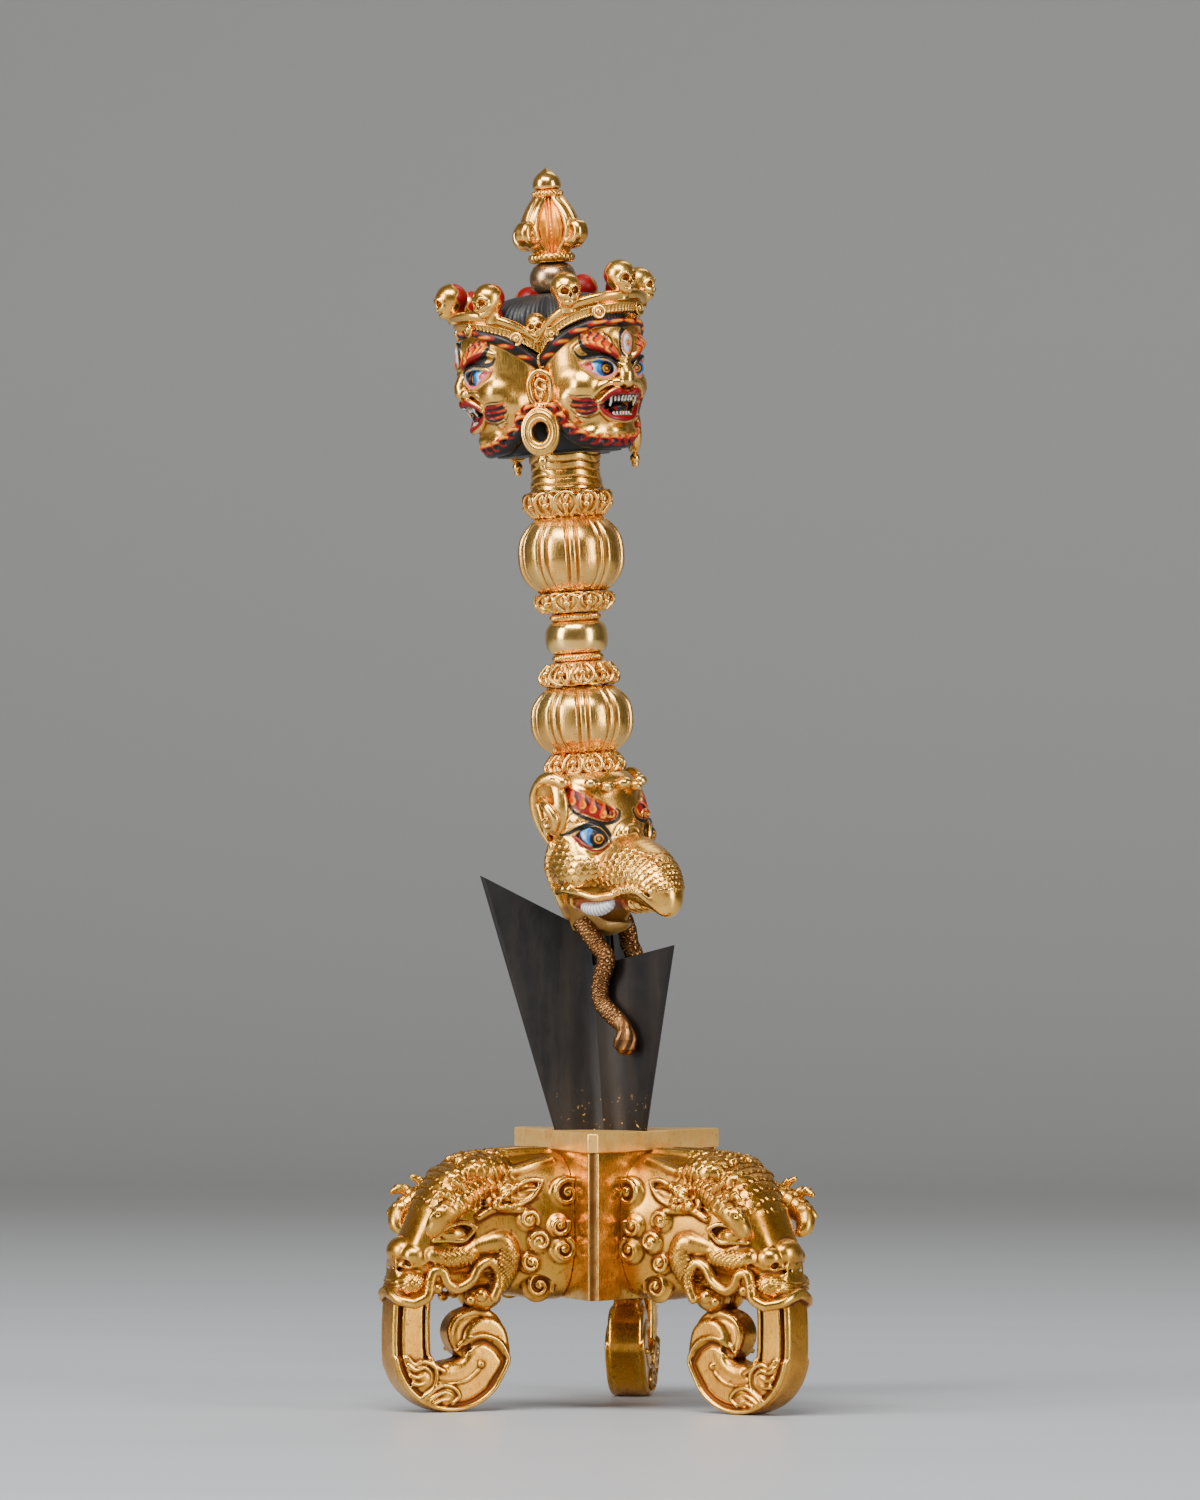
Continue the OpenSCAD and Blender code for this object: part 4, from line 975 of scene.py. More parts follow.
def build_blade():
    """Three wings, each a slab with a ground edge and a sloping top."""
    parts = []
    fractions = np.array([0, 0.012, 0.03, 0.06, 0.12, 0.25, 0.4, 0.55, 0.68, 0.78, 0.86, 0.92, 1.0])
    rows = 90
    for k in range(3):
        tip, fall = (FRONT_TIP, FRONT_FALL) if k == 0 else (REAR_TIP, REAR_FALL)
        inner = tip - WING_R * math.tan(fall)
        grids = []
        for side in (-1, 1):
            points = np.zeros((len(fractions), rows, 3))
            for i, f in enumerate(fractions):
                top = inner
                for _ in range(6):
                    along = wing_point(f, wing_reach(tip, top), VALLEY_R, 0)[0]
                    top = inner + along * math.tan(fall)
                for j, t in enumerate(np.linspace(0, 1, rows)):
                    z = -POINT_DEPTH + (top + POINT_DEPTH) * t
                    valley = VALLEY_R if z > 0 else VALLEY_R + (0.25 - VALLEY_R) * z / -POINT_DEPTH
                    along, across = wing_point(f, wing_reach(tip, z), valley, 0)
                    if i == 0:
                        across = 0.14
                    elif i == 1:
                        across = 0.5
                    points[i, j] = (across * side, -along, z)
            grids.append(points)
        left, right = grids
        left[:, -1, 2] -= 0.12
        crown = 0.5 * (left[:, -1] + right[:, -1]) + (0, 0, 0.12)
        edge = [left[:, j] for j in range(rows)] + [crown] + [right[:, j] for j in range(rows - 1, -1, -1)]
        sheet = np.array(edge)
        parts.append((turned(sheet.reshape(-1, 3), 120 * k), grid_faces(len(edge), len(fractions))))
        rim = np.stack([left[0], right[0]], 0)
        parts.append((turned(rim.reshape(-1, 3), 120 * k), grid_faces(2, rows)))
    core = np.array([[0.05, -20], [VALLEY_R - 0.7, -20], [VALLEY_R - 0.7, ROD_Z + 1.4], [0.05, ROD_Z + 1.4]])
    angle = np.linspace(0, 2 * math.pi, 48, endpoint=False)
    ring = np.stack([core[:, :1] * np.sin(angle), -core[:, :1] * np.cos(angle), np.repeat(core[:, 1:], 48, 1)], 2)
    parts.append((ring.reshape(-1, 3), grid_faces(4, 48, False, True)))
    return joined(parts)


# Makara head of the dagger. Its clay lies in the dagger's own frame: front towards -Y, z from the plate.

SKULL = (
    # height, forward shift, half depth, half width
    (44.0, 0.6, 5.6, 5.8),
    (47.5, 1.2, 6.8, 7.0),
    (51.3, 1.9, 8.0, 8.2),
    (57.0, 2.2, 9.5, 9.7),
    (62.0, 2.4, 10.4, 10.7),
    (68.0, 2.1, 10.8, 11.1),
    (73.0, 1.1, 10.4, 10.5),
    (76.2, 0.8, 9.8, 9.8),
    (78.4, 0, 8.6, 8.6),
)
BRUSH_EDGE = 0.14
# Sine and cosine of the turn from which the head's scales and paint are laid out
VIEW_SIN, VIEW_COS = 0.669, 0.743
SCALE_H = 0.34


def skull_mass(clay):
    rows = curve(SKULL, 8)
    cut, x, y, z = clay.window((0, -16, 43), (14, 13, 79.5))
    shift, deep, wide = (np.interp(z, rows[:, 0], rows[:, i]).astype(np.float32) for i in (1, 2, 3))
    norm = (np.abs((y + shift) / deep) ** 2.2 + np.abs(x / wide) ** 2.2) ** (1 / 2.2)
    d = (norm - 1) * np.minimum(deep, wide) * 0.9
    d = np.maximum(d, np.maximum(43.9 - z, z - 78.2))
    clay.merge(cut, d, 0.6)


SNOUT = ((-2, 58.8), (-8, 57.9), (-14.2, 56.3), (-19.4, 53.9), (-22.3, 50.9), (-23.7, 48.4))


def makara_snout(clay):
    line = curve(SNOUT, 6)
    path = np.column_stack((np.zeros(len(line)), line))
    radii = graded(path, [0, 0.2, 0.4, 0.6, 0.8, 1], [8.4, 8.2, 7.6, 6.3, 4.7, 2.9])
    clay.rope(path, radii, 1.2)
    # A short jaw under the open mouth
    jaw = curve([[0, 1, 46.0], [0, -4, 45.0], [0, -8, 45.0], [0, -10.4, 45.8]], 5)
    clay.rope(jaw, np.linspace(3.4, 1.2, len(jaw)), 0.8, flat=(0.8, 1, 1))
    mouth = curve([[8.0, -2.5, 50.0], [6.2, -8, 48.9], [3.5, -14, 48.2], [0, -20, 46.6]], 5)
    clay.rope(mouth, np.linspace(1.2, 2.8, len(mouth)), 0.4, carve=True)
    clay.rope(curve([[0, -7, 48.6], [0, -14, 47.8], [0, -20.2, 45.4]], 5), 3.3, 0.4, carve=True, flat=(0.62, 1, 1))


def makara_lip(clay):
    lip = curve(
        [[10.3, 0.2, 52.6], [10.6, -2.6, 52.9], [10.3, -6.6, 52.2], [9.3, -11, 51.0], [7.8, -14.2, 51.2],
         [6.3, -18, 52.2], [5.6, -20.9, 51.5], [4.0, -22.9, 49.2], [1.9, -23.9, 47.2], [0, -24.2, 46.8]],
        7,
    )
    clay.rope(lip, graded(lip, [0, 0.5, 1], [0.75, 0.9, 0.8]), 0.5)
    clay.rope(lip + (0.5, 0, 1.5), 0.32, 0.5, carve=True)
    # The tongue is coiled like a spring between jaw and snout
    for k in range(4):
        y = -13.0 - 1.9 * k
        clay.rope(
            curve([[0, y, 51.2 - 0.3 * k], [2.6, y - 0.2, 50.2], [2.7, y - 0.5, 48.6], [0, y - 0.6, 47.6]], 5), 0.85,
            0.25,
        )


def makara_cheek(clay):
    """The flange that parts the scaled cheek from the smooth back of the head."""
    groove = curve(
        [[10.9, 1.4, 63.2], [10.5, 3.4, 60.4], [9.9, 4.2, 57.2], [8.8, 3.9, 53.6], [7.7, 3.4, 50.4], [6.5, 3.0, 47.4]],
        6,
    )
    clay.rope(groove + (0.5, 0, 0), 0.62, 0.5, carve=True)
    ridge = groove + np.array((0.1, -1.2, 0))
    clay.rope(ridge, 0.8, 0.7)
    clay.ball((8.8, -4.0, 58.0), (3.4, 6.2, 5.2), 2.2)
    for k in range(4):
        fold = curve([[8.6 - 0.6 * k, 6.8 + 0.4 * k, 58 - 2.6 * k], [9.6 - 0.8 * k, 3.6, 55.2 - 2.4 * k]], 4)
        clay.rope(fold, 0.3, 0.3, carve=True)


def makara_bridge(clay):
    """The bump on the bridge of the snout with its ridges."""
    clay.ball((0, -12.2, 64.6), (3.6, 2.2, 3.0), 0.8)
    for k in range(3):
        r = 3.7 - 0.95 * k
        arc = np.radians(np.linspace(0, 180, 18))
        ring = np.column_stack((r * np.cos(arc), np.full(18, -12.8 - 0.6 * k), 63.6 + 0.4 * k + 0.85 * r * np.sin(arc)))
        ring = ring[ring[:, 0] >= -0.3]
        clay.rope(ring, 0.5, 0.15)


def makara_eye(clay):
    eye = np.array((7.8, -9.5, 63.9))
    clay.ball(eye + (1.0, -1.0, 0), (3.4, 3.4, 2.6), 0.8, carve=True)
    clay.ball(eye - (0.3, -0.3, 0), (2.9, 2.9, 2.5), 0.15)
    socket = [
        [10.3, -0.7, 65], [10.4, -3.1, 65.4], [10.2, -5.9, 66.5], [9.3, -8.8, 67], [7.7, -11.2, 66], [6.5, -12.6, 63.6],
        [6.2, -12.8, 62.4],
    ]
    clay.rope(curve(socket, 6), np.interp(np.linspace(0, 1, 37), [0, 0.5, 1], [0.35, 0.8, 0.6]), 0.3)
    lower = [[10.3, -4, 64.6], [10.1, -5.9, 62.8], [9.2, -8.5, 61.4], [7.7, -11, 61.2], [6.5, -12.6, 62.3]]
    clay.rope(curve(lower, 6), 0.6, 0.35)
    # The brow is a flame-shaped fold that ends in a curl
    brow = curve(
        [[8.2, -3.1, 75], [8.4, -5.2, 73.6], [7.9, -7.5, 72], [6.8, -9.5, 70.2], [5.5, -11, 68.9], [4.4, -11.4, 68.2]],
        6,
    )
    clay.rope(brow, graded(brow, [0, 0.4, 0.8, 1], [1.2, 1.7, 1.6, 1.1]), 0.5, flat=(1, 1, 0.72))
    curl = spiral((4.5, 68.4), 200, -1.1, 1.2, 0.3)
    clay.rope(np.column_stack((curl[:, 0] + 0.4, np.full(len(curl), -13.4), curl[:, 1])), 0.35, 0.15)


def makara_crown_leaves(clay):
    """Small lobes where the forehead meets the collar."""
    for a, z, r in ((0, 75.6, 1.7), (22, 74.8, 1.4), (40, 76.0, 1.5)):
        t = math.radians(a)
        clay.ball((11.2 * math.sin(t), -12.0 * math.cos(t) - 0.4, z), (r, r, r * 0.8), 0.5)


def makara_relief(points, normals):
    x, y, z = np.abs(points[:, 0]), points[:, 1], points[:, 2]
    near_eye = np.hypot((y + 11.4) / 6.4, (z - 63.9) / 3.9)
    brow, _ = segment_distance(y, z, [[-4.6, 75.2], [-10, 71.8], [-16.4, 68.2]])
    cheek_line = np.interp(z, [46, 50, 54, 58, 61, 64], [3.4, 4.2, 5.0, 5.2, 4.0, 0.4])
    area = smooth((near_eye - 1) * 4) * smooth((brow - 2.4) * 1.6) * smooth((cheek_line - 1.6 - y) * 1.5)
    area *= smooth((z - 52.8) / 0.8 + np.where(y < -15, 2.5, 0)) * smooth((76.8 - z) / 1.2)
    area *= smooth((np.hypot(x / 5.4, (z - 64.6) / 4.6) - 1) * 4 + np.where(y > -13.5, 5, 0))
    line = curve(SNOUT, 6)
    near, where = segment_distance(y, z, line)
    above = np.interp(where, np.linspace(0, 1, len(line)), line[:, 1]) - z
    around = np.arctan2(points[:, 0], np.where(above < 0, near, -near) + 0.01) * 7.6
    forehead = skin_scales(np.arctan2(points[:, 0], -y + 0.01) * 11.8, 80 - z, 1.8, SCALE_H)
    snout = skin_scales(around, where * 30, 1.5, SCALE_H)
    cheek = skin_scales(VIEW_SIN * x + VIEW_COS * y, 80 - z, 1.5, SCALE_H)
    return area * np.where(z > 66.5, forehead, np.where((y > -9.5) | (x > 8.2), cheek, snout))


def makara_paint(mesh, points, normals):
    """The painted brow, eye and mouth, and painted shade on the jaw, in the distances seen from the front left corner.
    """
    x, y, s = np.abs(points[:, 0]), points[:, 1], points[:, 2]
    q = -VIEW_SIN * y - VIEW_COS * x
    outward = VIEW_SIN * normals[:, 0] * np.sign(points[:, 0]) - VIEW_COS * normals[:, 1]
    paint = Paint(q, s, smooth((outward - 0.05) * 5) * (x > 1.2))
    brow = [
        (-4.3, 75.3), (-3.2, 75.0), (-1.4, 74.0), (0.6, 72.7), (2.4, 71.7), (4.0, 71.0), (5.4, 70.2), (6.4, 69.2),
        (5.9, 67.9), (3.7, 67.4), (0.6, 68.5), (-2.5, 70.1), (-4.0, 72.3),
    ]
    paint.area(brow, FLAME_RED)
    for cx, cy in ((-3.2, 73.6), (-1.0, 72.6), (1.2, 71.5), (3.4, 70.2)):
        paint.line([(cx - 0.4, cy - 1.4), (cx + 0.2, cy - 0.2), (cx + 0.3, cy + 1.2)], [0.55, 0.6, 0.15], FLAME_ORANGE)
        paint.line(
            [(cx - 0.6, cy - 1.9), (cx + 0.1, cy - 2.0), (cx + 0.5, cy - 1.3), (cx + 0.2, cy - 0.6)],
            [0.14, 0.26, 0.14], FLAME_YELLOW,
        )
        paint.line([(cx + 0.7, cy + 0.9), (cx + 0.8, cy - 0.3), (cx + 1.2, cy - 1.4)], [0.12, 0.36, 0.2], BLACK)
    paint.line(
        [(-4.4, 75.2), (-4.4, 72.8), (-3.0, 69.9), (0.2, 68.0), (3.6, 66.9), (6.2, 67.5), (6.9, 69.2), (6.2, 70.0)],
        [0.15, 0.34, 0.5, 0.45, 0.4, 0.2], BLACK,
    )
    paint.line([(3.2, 69.4), (4.4, 68.3), (5.6, 68.5), (5.6, 69.6)], [0.1, 0.24, 0.22, 0.1], FLAME_YELLOW)
    eye = [
        (-3.4, 64.5), (-2.0, 65.7), (0.2, 66.5), (2.4, 66.0), (4.0, 64.0), (3.9, 62.8), (2.2, 61.6), (0.0, 61.8),
        (-1.8, 63.0),
    ]
    paint.area(eye, BLACK)
    paint.area([(-2.0, 65.4), (0.2, 66.1), (1.0, 64.0), (0.4, 62.2), (-0.8, 63.0), (-1.8, 64.2)], EYE_BLUE_PALE)
    paint.spot((0.1, 64.3), (0.8, 1.6), EYE_BLUE)
    paint.line([(-1.5, 65.1), (-1.2, 64.0)], [0.2, 0.3], EYE_WHITE)
    paint.spot((1.9, 63.8), (1.9, 2.0), BLACK)
    for r, colour in ((1.05, FLAME_YELLOW), (0.75, BLACK), (0.34, FLAME_YELLOW)):
        paint.spot((2.0, 63.6), (r, r), colour)
    paint.line([(-3.6, 64.5), (-2.0, 62.7), (0.2, 61.3), (2.4, 61.2), (4.2, 62.4)], [0.3, 0.3, 0.28], LIP_RED)
    paint.line([(-3.0, 64.3), (-1.2, 62.7), (0.4, 61.9)], [0.14, 0.2, 0.12], EYELID_PINK)
    paint.line([(-6.2, 65.0), (-4.6, 65.2), (-2.6, 66.1), (0.2, 67.0), (2.6, 66.6), (4.3, 64.6), (4.5, 62.8)],
               [0.3, 0.42, 0.52, 0.55, 0.48, 0.25], BLACK)
    mouth = smooth((50.9 - s) * 1.5) * smooth((s - 47.9) * 1.5) * smooth(-y - 1.5) * smooth(15.0 + y)
    inner = smooth((9.3 - x) * 2)
    paint.allowed = np.ones(len(s))
    paint.lay(mouth * inner * 0.85, (0.42, 0.06, 0.015))
    # Painted shade: the lower jaw under the snout is laid over in dark brown, standing for the shade that falls there.
    jaw = smooth((50.2 - s) * 0.8) * smooth((y + 14.5) * 0.7)
    paint.lay(jaw * 0.72, (0.060, 0.028, 0.012))
    paint.store(mesh)


def sculpt_makara_head(step):
    clay = Clay((0, -28.5, 42), (15.5, 14, 79), step, mirrored=True)
    forms = (skull_mass, makara_snout, makara_cheek, makara_bridge, makara_lip, makara_eye, makara_crown_leaves)
    for add in forms:
        add(clay)
    clay.trim(2, 78.15, False)
    return clay.surface()


def sculpt_makara_ear(step):
    """The curled leaf of an ear: a thick rolled rim round a leaf that ends in a spiral."""
    clay = Clay((8.5, -7, 62), (16.5, 7, 79), step)
    clay.ball((11.6, -0.2, 71.2), (2.0, 4.6, 6.4), 0.6)
    rim = curve(
        [
            [11.4, -3.6, 76.4], [12.0, -1.2, 77.4], [12.6, 1.8, 76.6], [12.9, 4.0, 73.8], [12.7, 4.3, 70.2],
            [12.0, 3.6, 66.8], [11.4, 2.0, 63.8],
        ],
        6,
    )
    clay.rope(rim, graded(rim, [0, 0.3, 0.6, 1], [1.5, 1.7, 1.2, 0.8]), 0.25)
    clay.ball((13.9, 0.4, 72.2), (1.7, 2.8, 4.2), 0.4, carve=True)
    leaf = curve(
        [
            [12.6, 2.6, 73.2], [13.4, 0.6, 72.0], [13.7, -1.2, 70.8], [13.4, -2.6, 68.6], [13.1, -1.6, 66.6],
            [13.1, 0.2, 66.6], [13.3, 0.9, 68.0], [13.5, -0.3, 68.7],
        ],
        6,
    )
    clay.rope(leaf, graded(leaf, [0, 0.25, 0.6, 1], [0.6, 1.3, 0.85, 0.5]), 0.2)
    back = curve([[13.2, 2.9, 71.6], [13.2, 1.8, 68.6], [12.6, 1.6, 65.2]], 6)
    clay.rope(back, 0.45, 0.25)
    for z in (76.3, 76.9):
        clay.rope([[10.6, -2.9 + (z - 76.3), 75.0], [13.9, -2.7 + (z - 76.3), 77.9]], 0.16, 0.12, carve=True)
    points, faces = clay.surface()
    return points + (-0.4, -1.0, 0), faces


def build_makara_tusk():
    """A ridged half-moon tusk in the corner of the mouth."""
    path = curve([[8.5, -6.0, 49.1], [8.3, -8.4, 48.5], [7.8, -10.8, 48.5], [7.2, -12.8, 49.2], [6.8, -14.0, 50.2]], 12)
    f = np.linspace(0, 1, len(path))
    radii = 1.55 * np.sqrt(np.clip(1 - (2 * f - 0.9) ** 2 * 0.9, 0.02, 1))
    return tube(path, radii, 40, lambda along, a: 0.09 * np.cos(2 * math.pi * along / 0.8))


# Snakes

SNAKE_R = 1.85
SNAKE_PATH = (
    (6.1, 2.2, 46), (5.6, 4.1, 43), (4.6, 5.6, 40.2), (4.2, 7.2, 38.2), (4.1, 7.0, 36), (3.9, 5.2, 33.2),
    (3.8, 4.3, 30.1), (3.7, 4.9, 27.5), (3.4, 7.7, 24.8), (3.2, 10.2, 22.6), (3.1, 10.9, 20.4), (3.1, 10.6, 18.2),
    (3.0, 10.0, 16.4),
)


def build_snake():
    """A tube with punched rings and a broad engraved head, on the side away from -X."""
    path = curve([(w, -f, s) for w, f, s in SNAKE_PATH], 26)
    f = np.linspace(0, 1, len(path))
    radii = SNAKE_R * np.interp(f, [0, 0.1, 0.7, 0.79, 0.86, 0.93, 0.98, 1], [1.1, 1, 0.98, 0.92, 1.36, 1.36, 0.8, 0.1])

    def punched(along, around):
        """Small punched rings on the body and engraved lines on the head."""
        total = along.max()
        row = np.floor(along / 1.1)
        u = ((around / (2 * math.pi) * 10 + 0.5 * row) % 1 - 0.5) * 1.1
        v = along - (row + 0.5) * 1.1
        away = np.hypot(u, v)
        rings = 0.24 * bump(away - 0.4, 0.17) - 0.26 * bump(away, 0.22)
        body = smooth((total * 0.8 - along) / 1.5)
        head = smooth((along - total * 0.8) / 1.5)
        return rings * body + 0.17 * np.cos(8 * around + 1.3 * along) * head * smooth((total - along) / 1.2)

    return tube(path, radii, 56, punched)


# Handle

BORE_R = 2.3
GORES = 10
# Heights of the threaded pieces above the stand's plate, each with its height and radius
COLLARS = {
    # name: (z, height, radius, petals, opening)
    "lotus_bottom": (77.7, 5.1, 9.2, 12, -1),
    "lotus_lower": (97.2, 5.4, 9.0, 10, -1),
    "lotus_upper": (113.4, 4.6, 9.3, 10, 1),
    "lotus_top": (134.3, 6.1, 10.0, 12, 1),
}
MELONS = {"melon_lower": (82.8, 14.4, 11.3), "melon_upper": (118.0, 16.3, 11.7)}
ROPES = {"rope_ring_lower": (102.6, 1.9, 5.7), "rope_ring_upper": (111.5, 1.9, 5.7)}
BEAD = (104.5, 7.0, 6.9)
NECK = (140.4, 8.5, 8.2)
MELON_TURN = -4.0


def build_melon(z, height, radius, turn):
    """A gored knob: full lobes parted by a raised rib between two grooves."""
    t = np.linspace(-1, 1, 110)
    full = radius * (1 - 0.37 * np.abs(t) ** 2.7)
    outer = np.column_stack((full, z + height * (t + 1) / 2))
    ends = [[BORE_R, z], [full[0] * 0.9, z]], [[full[-1] * 0.9, z + height], [BORE_R, z + height]]
    profile = np.vstack((ends[0], outer, ends[1]))

    def gores(r, height_at, angle):
        step = 360 / GORES
        phi = (np.degrees(angle) - turn + step / 2) % step - step / 2
        away = np.abs(phi) * math.pi / 180 * r
        lobe = np.abs(np.abs(phi) - step / 2) / (step / 2)
        middle = 1 - np.abs(2 * (height_at - z) / height - 1) ** 6
        profile_in = 0.26 * bump(away, 0.42) - 0.62 * bump(away - 1.02, 0.36) - 0.75 * lobe**3
        return r + profile_in * (0.35 + 0.65 * middle)

    return revolve(profile, 620, gores)


def petal_clay(height, width, bead, step):
    """One petal that stands up along a cone: its rim, hollow, bead and the vein round the bead."""
    clay = Clay((-width, -3.4, -0.6), (width, 2.4, height + 0.9), step)
    half = width / 2

    def lean_out(z):
        t = z / height
        return -0.55 * height * t + 0.34 * height * t * t * t - 0.3

    base = curve([[0, 0], [0, height * 0.45], [0, height * 0.8]], 8)
    for x, z in base:
        clay.ball(
            (x, lean_out(z) + 0.85, z), (half * (0.62 + 0.34 * math.sin(math.pi * min(z / height, 1))), 0.6, 0.9), 0.5,
        )
    outline = curve(
        [
            [half * 0.42, 0.0], [half * 0.86, height * 0.34], [half * 0.92, height * 0.66],
            [half * 0.55, height * 0.93], [0, height],
        ],
        8,
    )
    arch = np.array([[x, lean_out(z) - 0.25, z] for x, z in outline])
    mirrored = arch[::-1][1:] * (-1, 1, 1)
    clay.rope(np.vstack((arch, mirrored)), 0.44, 0.18)
    hollow = [[0, lean_out(z) - 0.35, z] for z in (height * 0.4, height * 0.62, height * 0.76)]
    clay.rope(hollow, [half * 0.46, half * 0.56, half * 0.4], 0.2, carve=True, flat=(1, 1.5, 1))
    if bead:
        z = height * bead
        clay.ball((0, lean_out(z) - 0.1, z), (0.95, 1.05, 0.98), 0.1)
        clay.rope([[0, lean_out(0.3) - 0.2, 0.2], [0, lean_out(z) - 0.2, z - 0.5]], 0.5, 0.3)
    return clay.surface()


def build_collar(z, height, radius, petals, opening, step):
    """A collar of petals with beads in them and a second row between; opening is 1 upwards, -1 downwards."""
    width = 2 * math.pi * radius * 0.93 / petals
    foot_r = radius - 2.6
    front, front_quads = petal_clay(height * 0.94, width * 1.06, 0.42, step)
    back, back_quads = petal_clay(height * 0.98, width * 0.95, 0, step)
    spacing = 360 / petals
    phase = spacing * 0.5 if opening > 0 else 0
    rows = [
        repeated(front + (0, -foot_r, 0), front_quads, [phase + spacing * k for k in range(petals)]),
        repeated(back + (0, 0.75 - foot_r, 0.05), back_quads, [phase + spacing * (k + 0.5) for k in range(petals)]),
    ]
    core = profile_curve(
        [[foot_r + 0.3, -0.01], [foot_r + 0.5, 0.6], [foot_r + 0.9, height * 0.5], [foot_r + 0.9, height * 0.9]], 6,
    )
    rows.append(revolve(core, 96))
    points, quads = joined(rows)
    low, high = points[:, 2].min(), points[:, 2].max()
    points[:, 2] = (points[:, 2] - low) / (high - low) * (height - 0.06) + 0.03
    if opening < 0:
        points[:, 2] = height - points[:, 2]
        quads = quads[:, ::-1]
    points[:, 2] += z
    return points, quads


def build_rope_ring(z, height, radius):
    f = np.linspace(0, math.pi, 30)
    outer = np.column_stack((radius - 1.15 + 1.05 * np.sin(f), z + height / 2 - (height / 2) * np.cos(f)))
    profile = bored(outer, z, height)

    def twisted(r, height_at, angle):
        phase = 44 * angle + 4.2 * (height_at - z) / height
        return r + 0.2 * (np.abs(np.sin(phase / 2)) - 0.6) * bump((height_at - z) / height - 0.5, 0.42)

    return revolve(profile, 440, twisted)


def build_bead(z, height, radius):
    t = np.linspace(-1, 1, 60)
    outer = np.column_stack((radius - 1.9 + 1.9 * (1 - np.abs(t) ** 2.3) ** 0.5, z + height * (t + 1) / 2))
    profile = bored(outer, z, height)
    return revolve(profile, 200)


def build_neck(z, height, radius):
    """The neck with its engraved folds, which wander a little."""
    t = np.linspace(0, 1, 90)
    outer = np.column_stack((radius * (0.955 + 0.03 * np.cos(2 * math.pi * t)), z + height * t))
    profile = bored(outer, z, height)

    def folds(r, height_at, angle):
        wander = 0.35 * np.sin(angle * 2 + 1.1) + 0.25 * np.sin(angle * 5)
        phase = (height_at - z + wander) / 1.75
        groove = bump((phase % 1) - 0.5, 0.13)
        twist = bump((((angle * 3 / math.pi + 0.22 * (height_at - z)) % 1) - 0.5), 0.1)
        return r - 0.26 * groove - 0.18 * twist * smooth(np.sin(angle * 3) * 2)

    return revolve(profile, 420, folds)


# Head with three faces. Azimuths are measured from a face's middle in degrees, heights from the chin.

HEAD_Z = 148.9
HEAD_H = 27.4
FACE_OFFSET = 10.0
FACE_R = 11.2
FACE_WIDTHS = (
    (0, 0.70), (1.2, 0.76), (3, 0.83), (5, 0.87), (7, 0.90), (11, 0.955), (14, 0.98), (18, 1), (23, 1.01), (27.4, 0.97),
)
FACE_VIEW = 42.0


def feature_drop(azimuth, height):
    """How far the features lie below their heights in the front view, because the head leans."""
    by_height = np.interp(height, [0, 2, 6, 30], [0.7, 0.8, 1.3, 1.3])
    return by_height * np.interp(np.abs(azimuth), [0, 25, 45, 60], [1, 1, 0.7, 0.7])


def face_round(azimuth, height):
    """The plain round of the face, as a distance from the axis."""
    wide = np.interp(height, [w[0] for w in FACE_WIDTHS], [w[1] for w in FACE_WIDTHS])
    o, r = FACE_OFFSET * wide, FACE_R * wide
    d = np.radians(azimuth)
    return o * np.cos(d) + np.sqrt(np.maximum(r * r - (o * np.sin(d)) ** 2, 0.01))


def on_face(azimuth, height, lift=0.0):
    """A place on the face in the clay's frame."""
    height = height - float(feature_drop(azimuth, height))
    r = float(face_round(azimuth, height)) + lift
    a = math.radians(azimuth)
    return (r * math.sin(a), -r * math.cos(a), HEAD_Z + height)


def face_path(rows, steps=6, lift=0.0):
    """Smooth points over the face through (azimuth, height[, lift])."""
    rows = np.array([list(r) + [0] * (3 - len(r)) for r in rows], float)
    return np.array([on_face(a, h, up + lift) for a, h, up in curve(rows, steps)])


def face_mass(clay):
    cut, x, y, z = clay.window((0, -26, HEAD_Z - 0.5), (22, 0.5, HEAD_Z + HEAD_H + 0.5))
    radius = np.sqrt(x * x + y * y)
    azimuth = np.degrees(np.arctan2(x, -y))
    height = np.broadcast_to(z - HEAD_Z, np.broadcast_shapes(x.shape, y.shape, z.shape))
    d = (radius - face_round(np.broadcast_to(azimuth, height.shape), height)) * 0.9
    clay.merge(cut, d.astype(np.float32), 0.3)


def face_forms(clay):
    """Cheeks, chin, forehead and the hollows of the eyes."""
    clay.ball(on_face(23, 14.4, -3.0), (4.4, 4.4, 3.9), 1.6)
    clay.ball(on_face(33, 11.8, -2.6), (3.4, 3.4, 3.2), 1.6)
    clay.ball(on_face(0, 4.4, -1.2), (3.6, 2.4, 1.8), 1.0)
    clay.ball(on_face(15, 4.2, -1.5), (3.4, 2.4, 1.8), 1.2)
    clay.ball(on_face(0, 23.4, -2.0), (3.0, 3.4, 3.6), 1.4)
    clay.ball(on_face(15.5, 18.0, 1.0), (3.6, 2.4, 2.3), 0.9, carve=True)
    fold = face_path([(7, 15.0, 0.4), (14, 14.6, 0.5), (20, 12.6, 0.4), (25, 10.6, 0.2), (27, 7.4, 0)])
    clay.rope(fold, 0.7, 0.8)
    clay.rope(face_path([(11, 13.2, 0.3), (17, 12.6, 0.5), (22, 10.4, 0.4)]), 0.5, 0.5, carve=True)
    clay.rope(face_path([(5, 5.9, 1.0), (0, 5.7, 1.2)]), 0.45, 0.5, carve=True)


